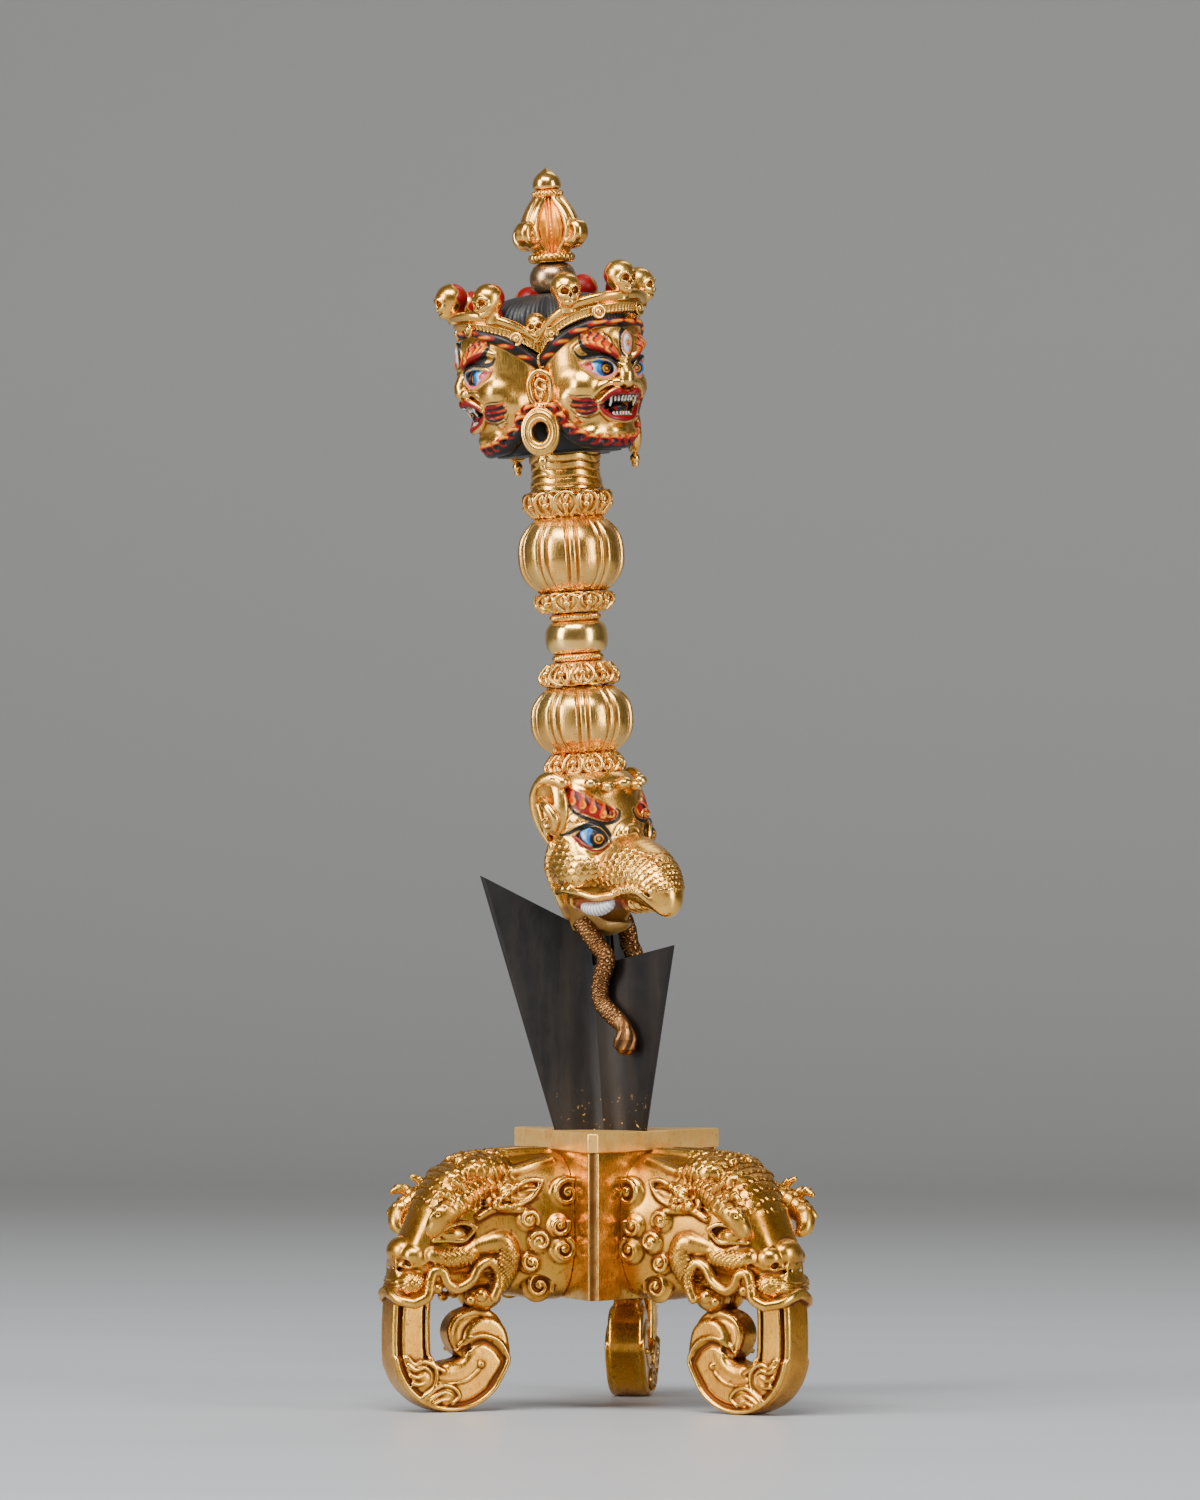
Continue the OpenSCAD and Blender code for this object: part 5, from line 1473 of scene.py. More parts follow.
def face_nose(clay):
    clay.rope(face_path([(0, 20.6, -0.2), (0, 18.4, 0.1), (0, 16.6, 1.0)]), [1.3] * 7 + [1.7] * 6, 0.7)
    clay.ball(on_face(0, 15.3, 0.9), (1.95, 1.9, 1.75), 0.5)
    clay.ball(on_face(5.2, 14.9, 0.4), (1.45, 1.7, 1.25), 0.35)
    clay.ball(on_face(3.4, 13.9, 1.3), (0.6, 0.8, 0.45), 0.25, carve=True)
    for h, r in ((18.3, 0.42), (19.3, 0.42), (20.2, 0.4)):
        clay.rope(face_path([(-0.5, h, 1.1), (2.4, h + 0.15, 0.8), (4.4, h + 0.6, 0.3)]), r, 0.25)


def face_brows(clay):
    ridge = face_path(
        [(4.5, 20.6, 0.3), (8, 21.2, 0.7), (13, 22.4, 0.7), (19, 23.2, 0.5), (25, 23.4, 0.3), (30, 22.6, 0)]
    )
    clay.rope(ridge, graded(ridge, [0, 0.3, 0.7, 1], [0.8, 1.15, 1.1, 0.6]), 0.7)
    for rows in (
        [(10, 22.6), (15, 24.6), (20, 26.0)], [(16, 23.2), (21, 24.8), (26, 25.4)], [(7, 21.8), (10, 24.0), (13, 25.4)],
    ):
        clay.rope(face_path(rows, lift=0.1), [0.75] * 4 + [0.6] * 5 + [0.35] * 4, 0.4)


def face_eye(clay):
    clay.ball(on_face(15.3, 18.0, -1.5), (3.0, 2.3, 2.0), 0.15)
    upper = face_path([(27, 19.2, 0.2), (22, 20.1, 0.5), (15, 20.3, 0.9), (9, 19.2, 0.9), (6.2, 17.3, 0.4)])
    clay.rope(upper, graded(upper, [0, 0.5, 1], [0.35, 0.6, 0.45]), 0.25)
    lower = face_path([(25.5, 18.6, 0.1), (20, 16.5, 0.3), (14, 15.9, 0.5), (9, 16.4, 0.6), (6.2, 17.3, 0.4)])
    clay.rope(lower, 0.45, 0.3)
    # The third eye stands upright in the forehead
    clay.ball(on_face(0, 23.4, 0.9), (1.0, 0.8, 1.9), 0.2)
    lid = [(0, 26.0, 1.2), (3.3, 24.6, 1.0), (3.9, 23.2, 0.9), (2.8, 21.6, 0.9), (0, 20.7, 1.0)]
    clay.rope(face_path(lid), 0.42, 0.2)


def face_mouth(clay):
    hollow = face_path([(0, 9.7, -0.6), (7, 9.8, -0.6), (13, 10.0, -0.6), (16, 10.3, -0.4)])
    clay.rope(hollow, graded(hollow, [0, 0.5, 1], [1.9, 1.8, 0.8]), 0.4, carve=True)
    upper = face_path(
        [(0, 12.5, 0.9), (3.6, 12.4, 1.2), (7, 13.0, 1.3), (11, 12.5, 0.9), (15, 11.2, 0.3), (17.3, 10.2, 0)]
    )
    clay.rope(upper, graded(upper, [0, 0.4, 1], [0.8, 0.95, 0.5]), 0.3)
    lower = face_path([(0, 7.0, 1.0), (4, 7.0, 1.0), (9, 7.4, 0.8), (13.5, 8.7, 0.4), (17.3, 10.2, 0)])
    clay.rope(lower, graded(lower, [0, 0.5, 1], [0.95, 0.9, 0.5]), 0.3)
    for a in (1.3, 3.9, 6.5):
        clay.rope([on_face(a, 11.9, 0.1), on_face(a, 10.9, 0.2)], [0.5, 0.42], 0.1)
        clay.rope([on_face(a, 7.6, 0.1), on_face(a, 8.6, 0.2)], [0.48, 0.38], 0.1)
    clay.rope([on_face(9.6, 12.0, 0.2), on_face(9.8, 10.9, 0.5), on_face(9.6, 9.8, 0.5)], [0.62, 0.5, 0.16], 0.1)
    clay.rope([on_face(10.8, 8.0, 0.2), on_face(10.9, 9.3, 0.4)], [0.5, 0.15], 0.1)
    clay.ball(on_face(0, 9.6, -1.4), (2.5, 1.9, 1.0), 0.3)


def face_hair(clay):
    """The flaming corner of the mouth, the beard's curls and the band of hair under the crown."""
    for rows in (
        [(18, 10.6, 0.1), (24, 11.4, 0.2), (30, 11.2, 0.1), (35, 12.4, 0.0)],
        [(18, 9.8, 0.1), (25, 10.0, 0.2), (32, 9.6, 0.1), (36, 10.6, 0.0)],
        [(18, 9.0, 0.0), (25, 8.5, 0.2), (31, 8.0, 0.1)],
    ):
        flame = face_path(rows)
        clay.rope(flame, np.linspace(0.7, 0.35, len(flame)), 0.25)
    beard = face_path([(58, 11.6, -0.3), (48, 9.0, -0.2), (39, 5.6, 0), (27, 2.8, 0.0), (14, 1.9, 0.2), (0, 1.8, 0.4)])
    clay.rope(beard, graded(beard, [0, 0.4, 1], [1.2, 1.7, 1.6]), 0.5)
    for a, h in BEARD_CURLS:
        curl = face_path(
            [
                (a + 2.4, h + 0.9, 0.7), (a, h + 1.1, 1.3), (a - 2.0, h + 0.3, 1.5), (a - 1.0, h - 0.7, 1.3),
                (a + 1.4, h - 0.5, 1.0),
            ],
            5,
        )
        clay.rope(curl, np.linspace(0.5, 0.72, len(curl)), 0.2)
    band = face_path(
        [(0, 28.6, 0.4), (14, 28.2, 0.3), (26, 27.0, 0.3), (38, 25.0, 0.3), (50, 22.0, 0.1), (60, 19.6, -0.2)]
    )
    clay.rope(band, 1.25, 0.4)


BEARD_CURLS = ((50, 9.6), (43, 7.4), (36, 5.0), (28, 3.4), (20, 2.4), (11, 2.0), (3, 1.9))
# Length on the face of a degree about the axis
ARC = 0.19
# Paint colours, in linear light
BLACK = (0.007, 0.006, 0.006)
FLAME_RED = (0.21, 0.002, 0.001)
LIP_RED = (0.18, 0.002, 0.003)
FLAME_ORANGE = (0.52, 0.055, 0.001)
FLAME_YELLOW = (0.74, 0.27, 0.002)
EYE_WHITE = (0.50, 0.56, 0.60)
EYE_BLUE = (0.01, 0.10, 0.36)
EYE_BLUE_PALE = (0.06, 0.30, 0.62)
EYELID_PINK = (0.62, 0.10, 0.09)
TOOTH_WHITE = (0.74, 0.71, 0.62)


def face_paint(points, normals):
    """The painted brows, eyes, mouth, beard and hair band of one face."""
    x, y, z = np.abs(points[:, 0]), points[:, 1], points[:, 2]
    low = z - HEAD_Z
    azimuth = np.degrees(np.arctan2(x, -y))
    height = low + feature_drop(azimuth, low + 1.2)
    radius = np.hypot(x, y)
    a = math.radians(FACE_VIEW)
    # Marks are placed as they are seen from the side on which the face is turned away by FACE_VIEW
    seen = radius * np.sin(a - np.radians(azimuth))
    outward = (normals[:, 0] * np.sign(points[:, 0]) * math.sin(a) - normals[:, 1] * math.cos(a))
    paint = Paint(seen, height, smooth((outward + 0.1) * 5))
    brow = [(5.0, 25.3), (7.2, 26.2), (9.2, 25.6), (11.0, 24.2), (12.3, 22.4), (13.3, 20.8), (12.8, 19.9), (10.4, 20.9),
            (8.2, 21.4), (6.4, 22.6)]
    paint.area(brow, FLAME_ORANGE)
    paint.line([(6.2, 23.2), (8.4, 22.2), (10.8, 21.6), (12.8, 20.4)], [0.35, 0.65, 0.65, 0.35], FLAME_RED)
    for p, q, r in (
        ((8.9, 25.4), (7.9, 24.4), (8.6, 23.4)), ((10.5, 24.6), (9.7, 23.5), (10.4, 22.5)),
        ((11.9, 23.0), (11.3, 22.2), (12.0, 21.3)), ((7.4, 25.8), (6.6, 24.7), (7.2, 23.5)),
    ):
        paint.line(
            [(p[0] - 0.7, p[1] - 0.3), (q[0] - 0.6, q[1]), (r[0] - 0.6, r[1] + 0.1)], [0.2, 0.42, 0.15], FLAME_YELLOW,
        )
        paint.line([p, q, r], [0.34, 0.3, 0.12], FLAME_RED)
        paint.line([(p[0] + 0.1, p[1] + 0.3), (q[0] + 0.35, q[1] + 0.2)], [0.22, 0.08], BLACK)
    paint.line([(5.0, 25.8), (5.0, 24.0), (6.0, 22.3), (8.2, 21.1), (10.6, 20.5), (12.4, 19.5), (13.2, 19.6)],
               [0.15, 0.5, 0.7, 0.66, 0.55, 0.25], BLACK)
    eye = [(5.6, 18.9), (6.9, 19.6), (9.0, 19.9), (11.0, 19.3), (12.4, 17.9), (11.3, 16.8), (9.6, 16.4), (7.4, 17.2)]
    paint.area(eye, EYE_WHITE)
    paint.area([(7.7, 19.6), (9.2, 20.1), (9.6, 18.2), (9.2, 16.9), (8.0, 17.4)], EYE_BLUE_PALE)
    paint.spot((10.1, 18.0), (1.9, 1.7), EYE_BLUE)
    paint.spot((10.4, 18.0), (1.35, 1.4), BLACK)
    paint.spot((10.4, 18.0), (0.85, 0.9), FLAME_YELLOW)
    paint.spot((10.4, 18.0), (0.62, 0.66), BLACK)
    paint.spot((10.4, 18.0), (0.3, 0.3), FLAME_YELLOW)
    paint.area([(5.2, 19.1), (6.4, 19.6), (7.3, 18.8), (7.3, 17.6), (6.3, 18.1)], EYELID_PINK)
    paint.line([(6.9, 19.2), (7.3, 18.4), (7.4, 17.8)], [0.1, 0.3, 0.12], FLAME_RED)
    paint.line(
        [(4.4, 19.6), (5.6, 18.5), (7.6, 16.9), (9.6, 16.1), (11.6, 16.5), (12.7, 17.7)], [0.2, 0.24, 0.3, 0.28],
        EYELID_PINK,
    )
    paint.line([(3.6, 22.0), (4.6, 20.8), (6.6, 20.6), (9.0, 20.9), (11.2, 20.2), (12.4, 18.9), (12.9, 17.8)],
               [0.15, 0.5, 0.62, 0.66, 0.6, 0.4, 0.15], BLACK)
    # Mouth
    mouth = [
        (8.6, 10.2), (10.2, 11.4), (12.4, 12.2), (14.4, 12.2), (17.5, 12.0), (17.5, 7.4), (13.8, 7.4), (11.6, 7.8),
        (9.8, 9.0),
    ]
    paint.area(mouth, BLACK)
    upper = [
        (8.2, 10.4), (9.6, 12.0), (11.8, 13.4), (13.4, 13.6), (14.6, 12.9), (15.9, 13.2), (17.5, 12.9), (17.5, 11.9),
        (15.9, 12.1), (14.2, 12.2), (12.4, 12.1), (10.4, 11.3),
    ]
    paint.area(upper, LIP_RED)
    lower = [
        (8.0, 10.3), (9.2, 10.4), (10.4, 8.9), (12.2, 8.0), (14.4, 7.7), (17.5, 7.7), (17.5, 6.2), (13.6, 6.3),
        (10.6, 7.1), (8.8, 8.4),
    ]
    paint.area(lower, LIP_RED)
    front, around = (Paint(side, height, np.ones(len(x))) for side in (azimuth, ARC * azimuth))
    deep = radius - face_round(azimuth, low)
    upper_row = smooth((height - 10.75) * 4) * smooth((12.0 - height) * 5)
    lower_row = smooth((height - 7.75) * 5) * smooth((8.7 - height) * 5)
    between = smooth((0.78 - np.abs((azimuth % 2.6) - 1.3)) * 5)
    paint.lay((upper_row + lower_row) * smooth((deep + 0.1) * 6) * smooth((8.2 - azimuth) * 2) * between, TOOTH_WHITE)
    fang = smooth((height - 9.4) * 3) * smooth((12.0 - height) * 4) * smooth((0.75 - np.abs(azimuth - 9.8)) * 5)
    paint.lay(fang * smooth((deep - 0.2) * 6), TOOTH_WHITE)
    tongue = smooth((1 - np.hypot(azimuth / 7.5, (height - 9.3) / 0.75)) * 4)
    paint.lay(tongue * smooth((-deep + 0.35) * 5), FLAME_RED)
    # Flames at the corner of the mouth
    paint.area(
        [
            (7.9, 10.3), (6.4, 11.9), (4.6, 11.9), (3.2, 11.9), (1.9, 12.4), (2.4, 11.2), (1.8, 10.2), (3.0, 9.4),
            (4.0, 8.2), (6.2, 8.2), (7.8, 8.9),
        ],
        BLACK,
    )
    for rows in (
        [(2.2, 11.9), (4.2, 11.5), (7.4, 11.2)], [(2.4, 10.4), (4.4, 10.3), (7.6, 10.4)],
        [(3.4, 9.2), (5.2, 9.0), (7.6, 9.4)],
    ):
        paint.line(rows, [0.26, 0.34, 0.3], LIP_RED)
        paint.line(rows[:2], [0.3, 0.1], FLAME_ORANGE)
    for rows in (
        [(1.6, 11.1), (3.6, 10.9), (6.2, 11.0)], [(2.2, 9.8), (4.2, 9.7), (6.6, 9.9)],
        [(1.6, 12.8), (3.2, 12.3), (5.0, 12.4), (6.8, 12.2)], [(2.0, 9.4), (3.6, 8.0), (6.0, 7.6), (8.0, 8.2)],
    ):
        paint.line(rows, [0.1, 0.2, 0.1], BLACK)
    # The beard, the hair band and the third eye run across the middle of the face
    beard_low = np.interp(azimuth, [0, 14, 26, 39, 48, 60], [3.35, 3.3, 4.3, 7.4, 11.0, 13.6])
    front.lay(smooth((beard_low - height) * 4) * (azimuth < 59), BLACK)
    for p, q in BEARD_CURLS:
        p *= ARC
        around.line([(p + 0.6, q + 1.0), (p - 0.4, q + 0.8), (p - 0.8, q), (p - 0.4, q - 0.8), (p + 0.2, q - 0.9)],
                    [0.4, 0.5, 0.46, 0.38, 0.16], FLAME_RED)
        around.line([(p + 0.8, q + 1.0), (p, q + 1.0), (p - 0.5, q + 0.6)], [0.3, 0.5, 0.26], FLAME_ORANGE)
        around.line([(p + 0.5, q + 1.1), (p, q + 1.05)], [0.22, 0.3], FLAME_YELLOW)
    hair_low = np.interp(azimuth, [0, 10, 18, 26, 36, 48, 60], [26.6, 27.0, 26.9, 25.7, 23.6, 20.4, 17.8])
    front.lay(smooth((height - hair_low) * 4) * (azimuth < 59), BLACK)
    for p in range(6, 58, 11):
        q = float(np.interp(p, [0, 10, 18, 26, 36, 48, 60], [28.0, 28.2, 28.0, 26.9, 24.9, 21.8, 19.2]))
        p *= ARC
        around.line([(p - 0.8, q + 0.25), (p, q), (p + 0.8, q - 0.35)], [0.36, 0.52, 0.4], FLAME_RED)
        around.line([(p - 0.8, q + 0.25), (p, q + 0.05), (p + 0.5, q - 0.15)], [0.28, 0.42, 0.24], FLAME_ORANGE)
        around.line([(p - 0.7, q + 0.2), (p + 0.2, q + 0.05)], [0.2, 0.26], FLAME_YELLOW)
    third = [(0, 26.1), (2.6, 25.0), (3.6, 23.4), (2.6, 21.7), (0, 20.8), (-2.6, 21.7), (-3.6, 23.4), (-2.6, 25.0)]
    front.area(third, EYELID_PINK)
    front.area(
        [(0, 25.6), (1.8, 24.7), (2.4, 23.4), (1.8, 22.0), (0, 21.2), (-1.8, 22.0), (-2.4, 23.4), (-1.8, 24.7)],
        EYE_WHITE,
    )
    for (p, q), colour in (
        ((2.0, 1.05), EYE_BLUE), ((1.5, 0.8), FLAME_YELLOW), ((1.1, 0.6), BLACK), ((0.5, 0.28), FLAME_YELLOW),
    ):
        front.lay((1 - np.hypot(azimuth / p, (height - 23.4) / q)) * 4 + 0.3, colour)
    front.line([(0, 26.6), (3.4, 25.4), (4.6, 23.4), (3.4, 21.2), (1.2, 20.4)], [0.35, 0.5, 0.5, 0.2], BLACK)
    paint.allowed = np.ones(len(x))
    for over in (front, around):
        shown = over.cover[:, None]
        paint.colour = np.where(shown > 0.02, over.colour * shown + paint.colour * (1 - shown), paint.colour)
        paint.cover = np.maximum(paint.cover, over.cover)
    return paint


def sculpt_face(step):
    """One face up to its seams with the next two."""
    clay = Clay((0, -25.5, HEAD_Z - 0.9), (22.5, -3, HEAD_Z + HEAD_H + 0.4), step, mirrored=True)
    for add in (face_mass, face_forms, face_brows, face_eye, face_nose, face_mouth, face_hair):
        add(clay)
    x, y = clay.axes[0][:, None, None], clay.axes[1][None, :, None]
    seam = (x * math.cos(math.radians(61)) + y * math.sin(math.radians(61))).astype(np.float32)
    clay.field = np.maximum(clay.field, seam)
    clay.trim(2, HEAD_Z + HEAD_H - 0.05, False)
    return clay.surface()


BETWEEN_FACES = (60, 180, 300)
EAR_OUT = 12.1
EAR_Z = HEAD_Z + 13.2


def sculpt_deity_ear(step):
    """An ear with its rim and the curl inside it."""
    y = -EAR_OUT
    clay = Clay((-5, y - 5.2, EAR_Z - 7), (5, y + 2, EAR_Z + 6), step)
    clay.ball((0, y - 0.2, EAR_Z + 0.2), (2.6, 1.7, 3.8), 0.5)
    rim = curve(
        [
            [1.5, -1.6, -3.4], [2.5, -2.0, -0.6], [2.5, -2.2, 2.2], [0.8, -2.4, 3.9], [-1.2, -2.4, 3.7],
            [-2.5, -2.2, 1.6], [-2.3, -2.0, -1.4], [-1.2, -1.9, -3.6],
        ],
        6,
    )
    clay.rope(rim + (0, y + 0.2, EAR_Z), 0.62, 0.25)
    clay.ball((0.1, y - 2.3, EAR_Z + 0.6), (1.5, 0.9, 2.3), 0.3, carve=True)
    curl = curve(
        [
            [1.1, -1.9, 1.7], [-0.2, -2.0, 2.3], [-1.0, -2.0, 1.2], [-0.3, -2.0, 0.2], [0.7, -2.0, -0.4],
            [0.2, -2.0, -1.6],
        ],
        6,
    )
    clay.rope(curl + (0, y + 0.2, EAR_Z), 0.42, 0.2)
    clay.ball((0, y - 1.7, EAR_Z - 3.9), (1.35, 1.2, 1.5), 0.4)
    return clay.surface()


HOOP_Z = 152.9
HOOP_OUT = EAR_OUT + 3.6


def sculpt_earring(step):
    """An oval hoop with two grooves and a small ball below."""
    y = -HOOP_OUT
    clay = Clay((-5.6, y - 2, HOOP_Z - 9.4), (5.6, y + 2, HOOP_Z + 6.4), step)
    cut, gx, gy, gz = clay.window((-9, y - 9, HOOP_Z - 9), (9, y + 9, HOOP_Z + 9))
    oval = np.hypot(gx / 3.12, (gz - HOOP_Z) / 3.75)
    ring = (np.abs(oval - 1) * 3.4 - 1.5).astype(np.float32)
    ring = np.broadcast_to(ring, np.broadcast_shapes(gx.shape, gy.shape, gz.shape))
    clay.merge(cut, rounded(ring, np.abs(gy - y) - 1.15, 1.1), 0.1)
    t = np.linspace(0, 2 * math.pi, 60)
    for scale, r in ((1.24, 0.2), (0.88, 0.18)):
        path = np.column_stack((3.12 * scale * np.cos(t), np.full(60, y - 1.08), HOOP_Z + 3.75 * scale * np.sin(t)))
        clay.rope(path, r, 0.15, carve=True)
        clay.rope(path * (1, -1, 1) + (0, 2 * y, 0), r, 0.15, carve=True)
    clay.ball((0, y, HOOP_Z - 6.4), (1.15, 1.1, 1.2), 0.2)
    clay.ball((0, y, HOOP_Z - 7.7), (0.8, 0.8, 0.8), 0.3)
    clay.rope([[0, y, HOOP_Z + 4.6], [0, y + 0.4, HOOP_Z + 5.8]], 0.6, 0.3)
    return clay.surface()


# Crown and hair

HAIR_Z = 176.3
HAIR_H = 7.2
BAND_Z = 176.7
BAND_H = 4.9
BAND_T = 1.6
BAND_FLARE = 1.7
BAND_DIP = 7.1
TOPKNOT_R = 4.9
SKULL_R = 3.4
SMALL_SKULL_R = 2.5
SKULL_SPREAD = 33


# The crown sits a little crooked, turned about an axis at this azimuth
CROWN_AXIS = math.radians(-42)
CROWN_TILT = (
    Matrix.Translation((0, 0, BAND_Z))
    @ Matrix.Rotation(math.radians(3.5), 4, (math.sin(CROWN_AXIS), -math.cos(CROWN_AXIS), 0))
    @ Matrix.Translation((0, 0, -BAND_Z))
)


def face_azimuth(a):
    return (np.asarray(a, float) + 60 + 720) % 120 - 60


def band_low(a):
    return BAND_Z - BAND_DIP * (1 - np.cos(np.radians(face_azimuth(a) * 1.5))) ** 1.5


def band_in(a):
    return face_round(face_azimuth(a), 25.0) * 0.96 + 0.35


def band_points(a, out, up):
    """Places on the crown's band: out from its inner side, up from its lower edge, at azimuths."""
    a = np.asarray(a, float)
    r = band_in(a) + out + BAND_FLARE * np.asarray(up) / BAND_H
    t = np.radians(a)
    return np.column_stack((r * np.sin(t), -r * np.cos(t), band_low(a) + up))


def build_crown_band():
    """A rolled gold edge over a hanging fringe of small bars and a round moulding."""
    section = curve(
        [
            [0.25, 4.9], [0.85, 5.0], [1.6, 4.6], [1.95, 3.9], [1.7, 3.1], [1.05, 2.75], [0.95, 2.5], [1.35, 2.3],
            [1.4, 2.0], [1.05, 1.8], [1.0, 0.9], [1.2, 0.5], [0.9, 0.1], [0.3, 0.0], [0.0, 0.6], [0.0, 2.5], [0.1, 4.4],
            [0.25, 4.9],
        ],
        5,
    )[:-1]
    count = 1080
    a = np.linspace(0, 360, count, endpoint=False)
    grid = np.zeros((len(section), count, 3))
    for i, (out, up) in enumerate(section):
        fringe = 0.0
        if 0.3 < up < 2.0 and out > 0.8:
            fringe = 0.2 * np.abs(np.sin(np.radians(a) * 72)) - 0.1
        grid[i] = band_points(a, out + fringe, np.full(count, up))
    return grid.reshape(-1, 3), grid_faces(len(section), count, True, True)[:, ::-1]


def sculpt_skull(step):
    """A skull of radius 1, towards -Y, standing on its jaw at the origin."""
    clay = Clay((-1.15, -1.3, -0.45), (1.15, 1.25, 2.25), step)
    clay.ball((0, 0.08, 1.2), (0.98, 1.05, 0.98), 0.2)
    clay.ball((0, -0.28, 0.72), (0.74, 0.72, 0.55), 0.25)
    clay.ball((0, -0.35, 0.3), (0.55, 0.55, 0.42), 0.2)
    clay.rope([[0, 0.2, 0.4], [0, 0.3, -0.3]], 0.6, 0.2)
    for side in (-1, 1):
        clay.ball((side * 0.37, -0.88, 0.93), (0.29, 0.42, 0.3), 0.06, carve=True)
        clay.rope(
            curve([[side * 0.68, -0.62, 1.0], [side * 0.42, -0.93, 1.26], [side * 0.1, -0.97, 1.1]], 4), 0.09, 0.12,
        )
        clay.rope([[side * 0.62, -0.62, 0.72], [side * 0.36, -0.86, 0.6]], 0.11, 0.14)
    clay.ball((0, -0.98, 0.62), (0.12, 0.25, 0.16), 0.05, carve=True)
    clay.rope(curve([[-0.42, -0.72, 0.33], [0, -0.92, 0.28], [0.42, -0.72, 0.33]], 4), 0.05, 0.05, carve=True)
    for k in range(-2, 3):
        clay.rope(
            [[0.15 * k, -0.93 + 0.06 * abs(k), 0.2], [0.15 * k, -0.97 + 0.06 * abs(k), 0.45]], 0.028, 0.03, carve=True,
        )
    return clay.surface()


def skull_paint(points):
    """The backs of the skulls are painted red."""
    y = points[:, 1] + 0.12 * np.sin(points[:, 2] * 7)
    paint = Paint(np.zeros(len(points)), points[:, 2], np.ones(len(points)))
    paint.lay((y - 0.22) * 8, FLAME_RED)
    return paint


def place_skulls(points, faces, radius, azimuths):
    parts = []
    for a in azimuths:
        top = band_points([a], BAND_T / 2 - 0.05, np.array([BAND_H - 0.7]))[0]
        turned_skull = turned(points * radius, float(face_azimuth(a)) * 0.8 + a - float(face_azimuth(a)))
        parts.append((turned_skull + top, faces))
    return joined(parts)


def sculpt_rosette(step):
    """A round stud with a rim and a central dot."""
    clay = Clay((-2.2, -1.3, -2.2), (2.2, 0.6, 2.2), step)
    clay.ball((0, 0.1, 0), (1.55, 0.7, 1.55), 0.1)
    t = np.linspace(0, 2 * math.pi, 30)
    clay.rope(np.column_stack((1.3 * np.cos(t), np.full(30, -0.35), 1.3 * np.sin(t))), 0.36, 0.15)
    clay.ball((0, -0.6, 0), (0.75, 0.5, 0.75), 0.1)
    return clay.surface()


def place_rosettes(points, faces):
    parts = []
    for k in range(3):
        for a in (-46, -16, 16, 46, 60):
            azimuth = 120 * k + a
            at = band_points([azimuth], 1.25, np.array([0.9 if a != 60 else -0.9]))[0]
            parts.append((turned(points, azimuth) + at, faces))
    return joined(parts)


def build_hair_cap():
    """Combed black hair that closes round the topknot."""
    rows, count = 70, 720
    t = np.linspace(0, 1, rows)[:, None]
    a = np.linspace(0, 360, count, endpoint=False)[None]
    rise = 1 - np.sqrt(np.clip(1 - (t * 0.999) ** 2, 0, 1))
    base = face_round(face_azimuth(a), 25.5) * 0.87
    r = base + (TOPKNOT_R - 1.0 - base) * rise
    strands = 0.17 * np.abs(np.sin(np.radians(a) * 54 + 3.0 * np.sin(np.radians(a) * 3) + t * 1.5)) - 0.09
    r = r + strands * (1 - 0.5 * t)
    z = HAIR_Z + HAIR_H * t + 0 * a + 0.22 * np.sin(np.radians(a) * 27) * (1 - t)
    z = np.clip(z, HAIR_Z + 0.05, HAIR_Z + HAIR_H)
    rad = np.radians(a)
    grid = np.stack((r * np.sin(rad), -r * np.cos(rad), z), 2)
    inner = np.stack((BORE_R * np.sin(rad) + 0 * t[:1], -BORE_R * np.cos(rad) + 0 * t[:1], HAIR_Z + 0 * rad), 2)
    top = inner + (0, 0, HAIR_H)
    sheet = np.vstack((inner, grid, top))
    return sheet.reshape(-1, 3), grid_faces(rows + 2, count, True, True)


# Half vajra on top

TOPKNOT = (183.5, 6.8, 5.15)
BASE_RING = (190.3, 2.2, 5.2)
PRONG_Z = 192.5
PRONG_H = 12.1
PRONG_TURN = 6
COLLAR = (204.6, 1.7, 3.5)
TIP = (206.3, 5.0, 3.15)


def build_ball(z, height, radius, deep, relief=None):
    """A turned ball or ring with half round sides."""
    f = np.linspace(0, math.pi, 40)
    outer = np.column_stack((radius - deep + deep * np.sin(f), z + height / 2 - height / 2 * np.cos(f)))
    profile = bored(outer, z, height, 0.4)
    return revolve(profile, 360, relief)


def build_beaded_ring(z, height, radius, beads):
    def beaded(r, height_at, angle):
        middle = bump((height_at - z) / height - 0.5, 0.36)
        return r + 0.3 * (np.sqrt(np.abs(np.sin(angle * beads / 2))) - 0.75) * middle

    return build_ball(z, height, radius - 0.06, height * 0.5, beaded)


def build_finial_core(z, height):
    """The ridged middle prong, an onion of four broad leaves."""
    t = np.linspace(0, 1, 90)
    full = np.interp(t, [0, 0.08, 0.25, 0.42, 0.6, 0.78, 0.92, 1], [3.0, 3.6, 4.7, 5.1, 4.8, 3.9, 2.8, 2.4])
    outer = np.column_stack((np.convolve(np.pad(full, 4, "edge"), np.ones(9) / 9, "valid"), z + height * t))
    profile = bored(outer, z, height, 0.3)

    def leaves(r, height_at, angle):
        phi = (np.degrees(angle) - PRONG_TURN) % 90 - 45
        away = np.abs(phi) * math.pi / 180 * r
        edge = np.interp(height_at, [z, z + height * 0.45, z + height], [1.5, 2.6, 1.2])
        beads = 0.14 * np.abs(np.sin(height_at * 3.4))
        rib = (0.1 + beads) * bump(away, 0.26)
        groove = 0.3 * bump(away - 0.62, 0.3)
        return r + rib - groove + 0.28 * bump(away - edge, 0.32) - 0.5 * smooth(away - edge - 0.2)

    return revolve(profile, 420, leaves)


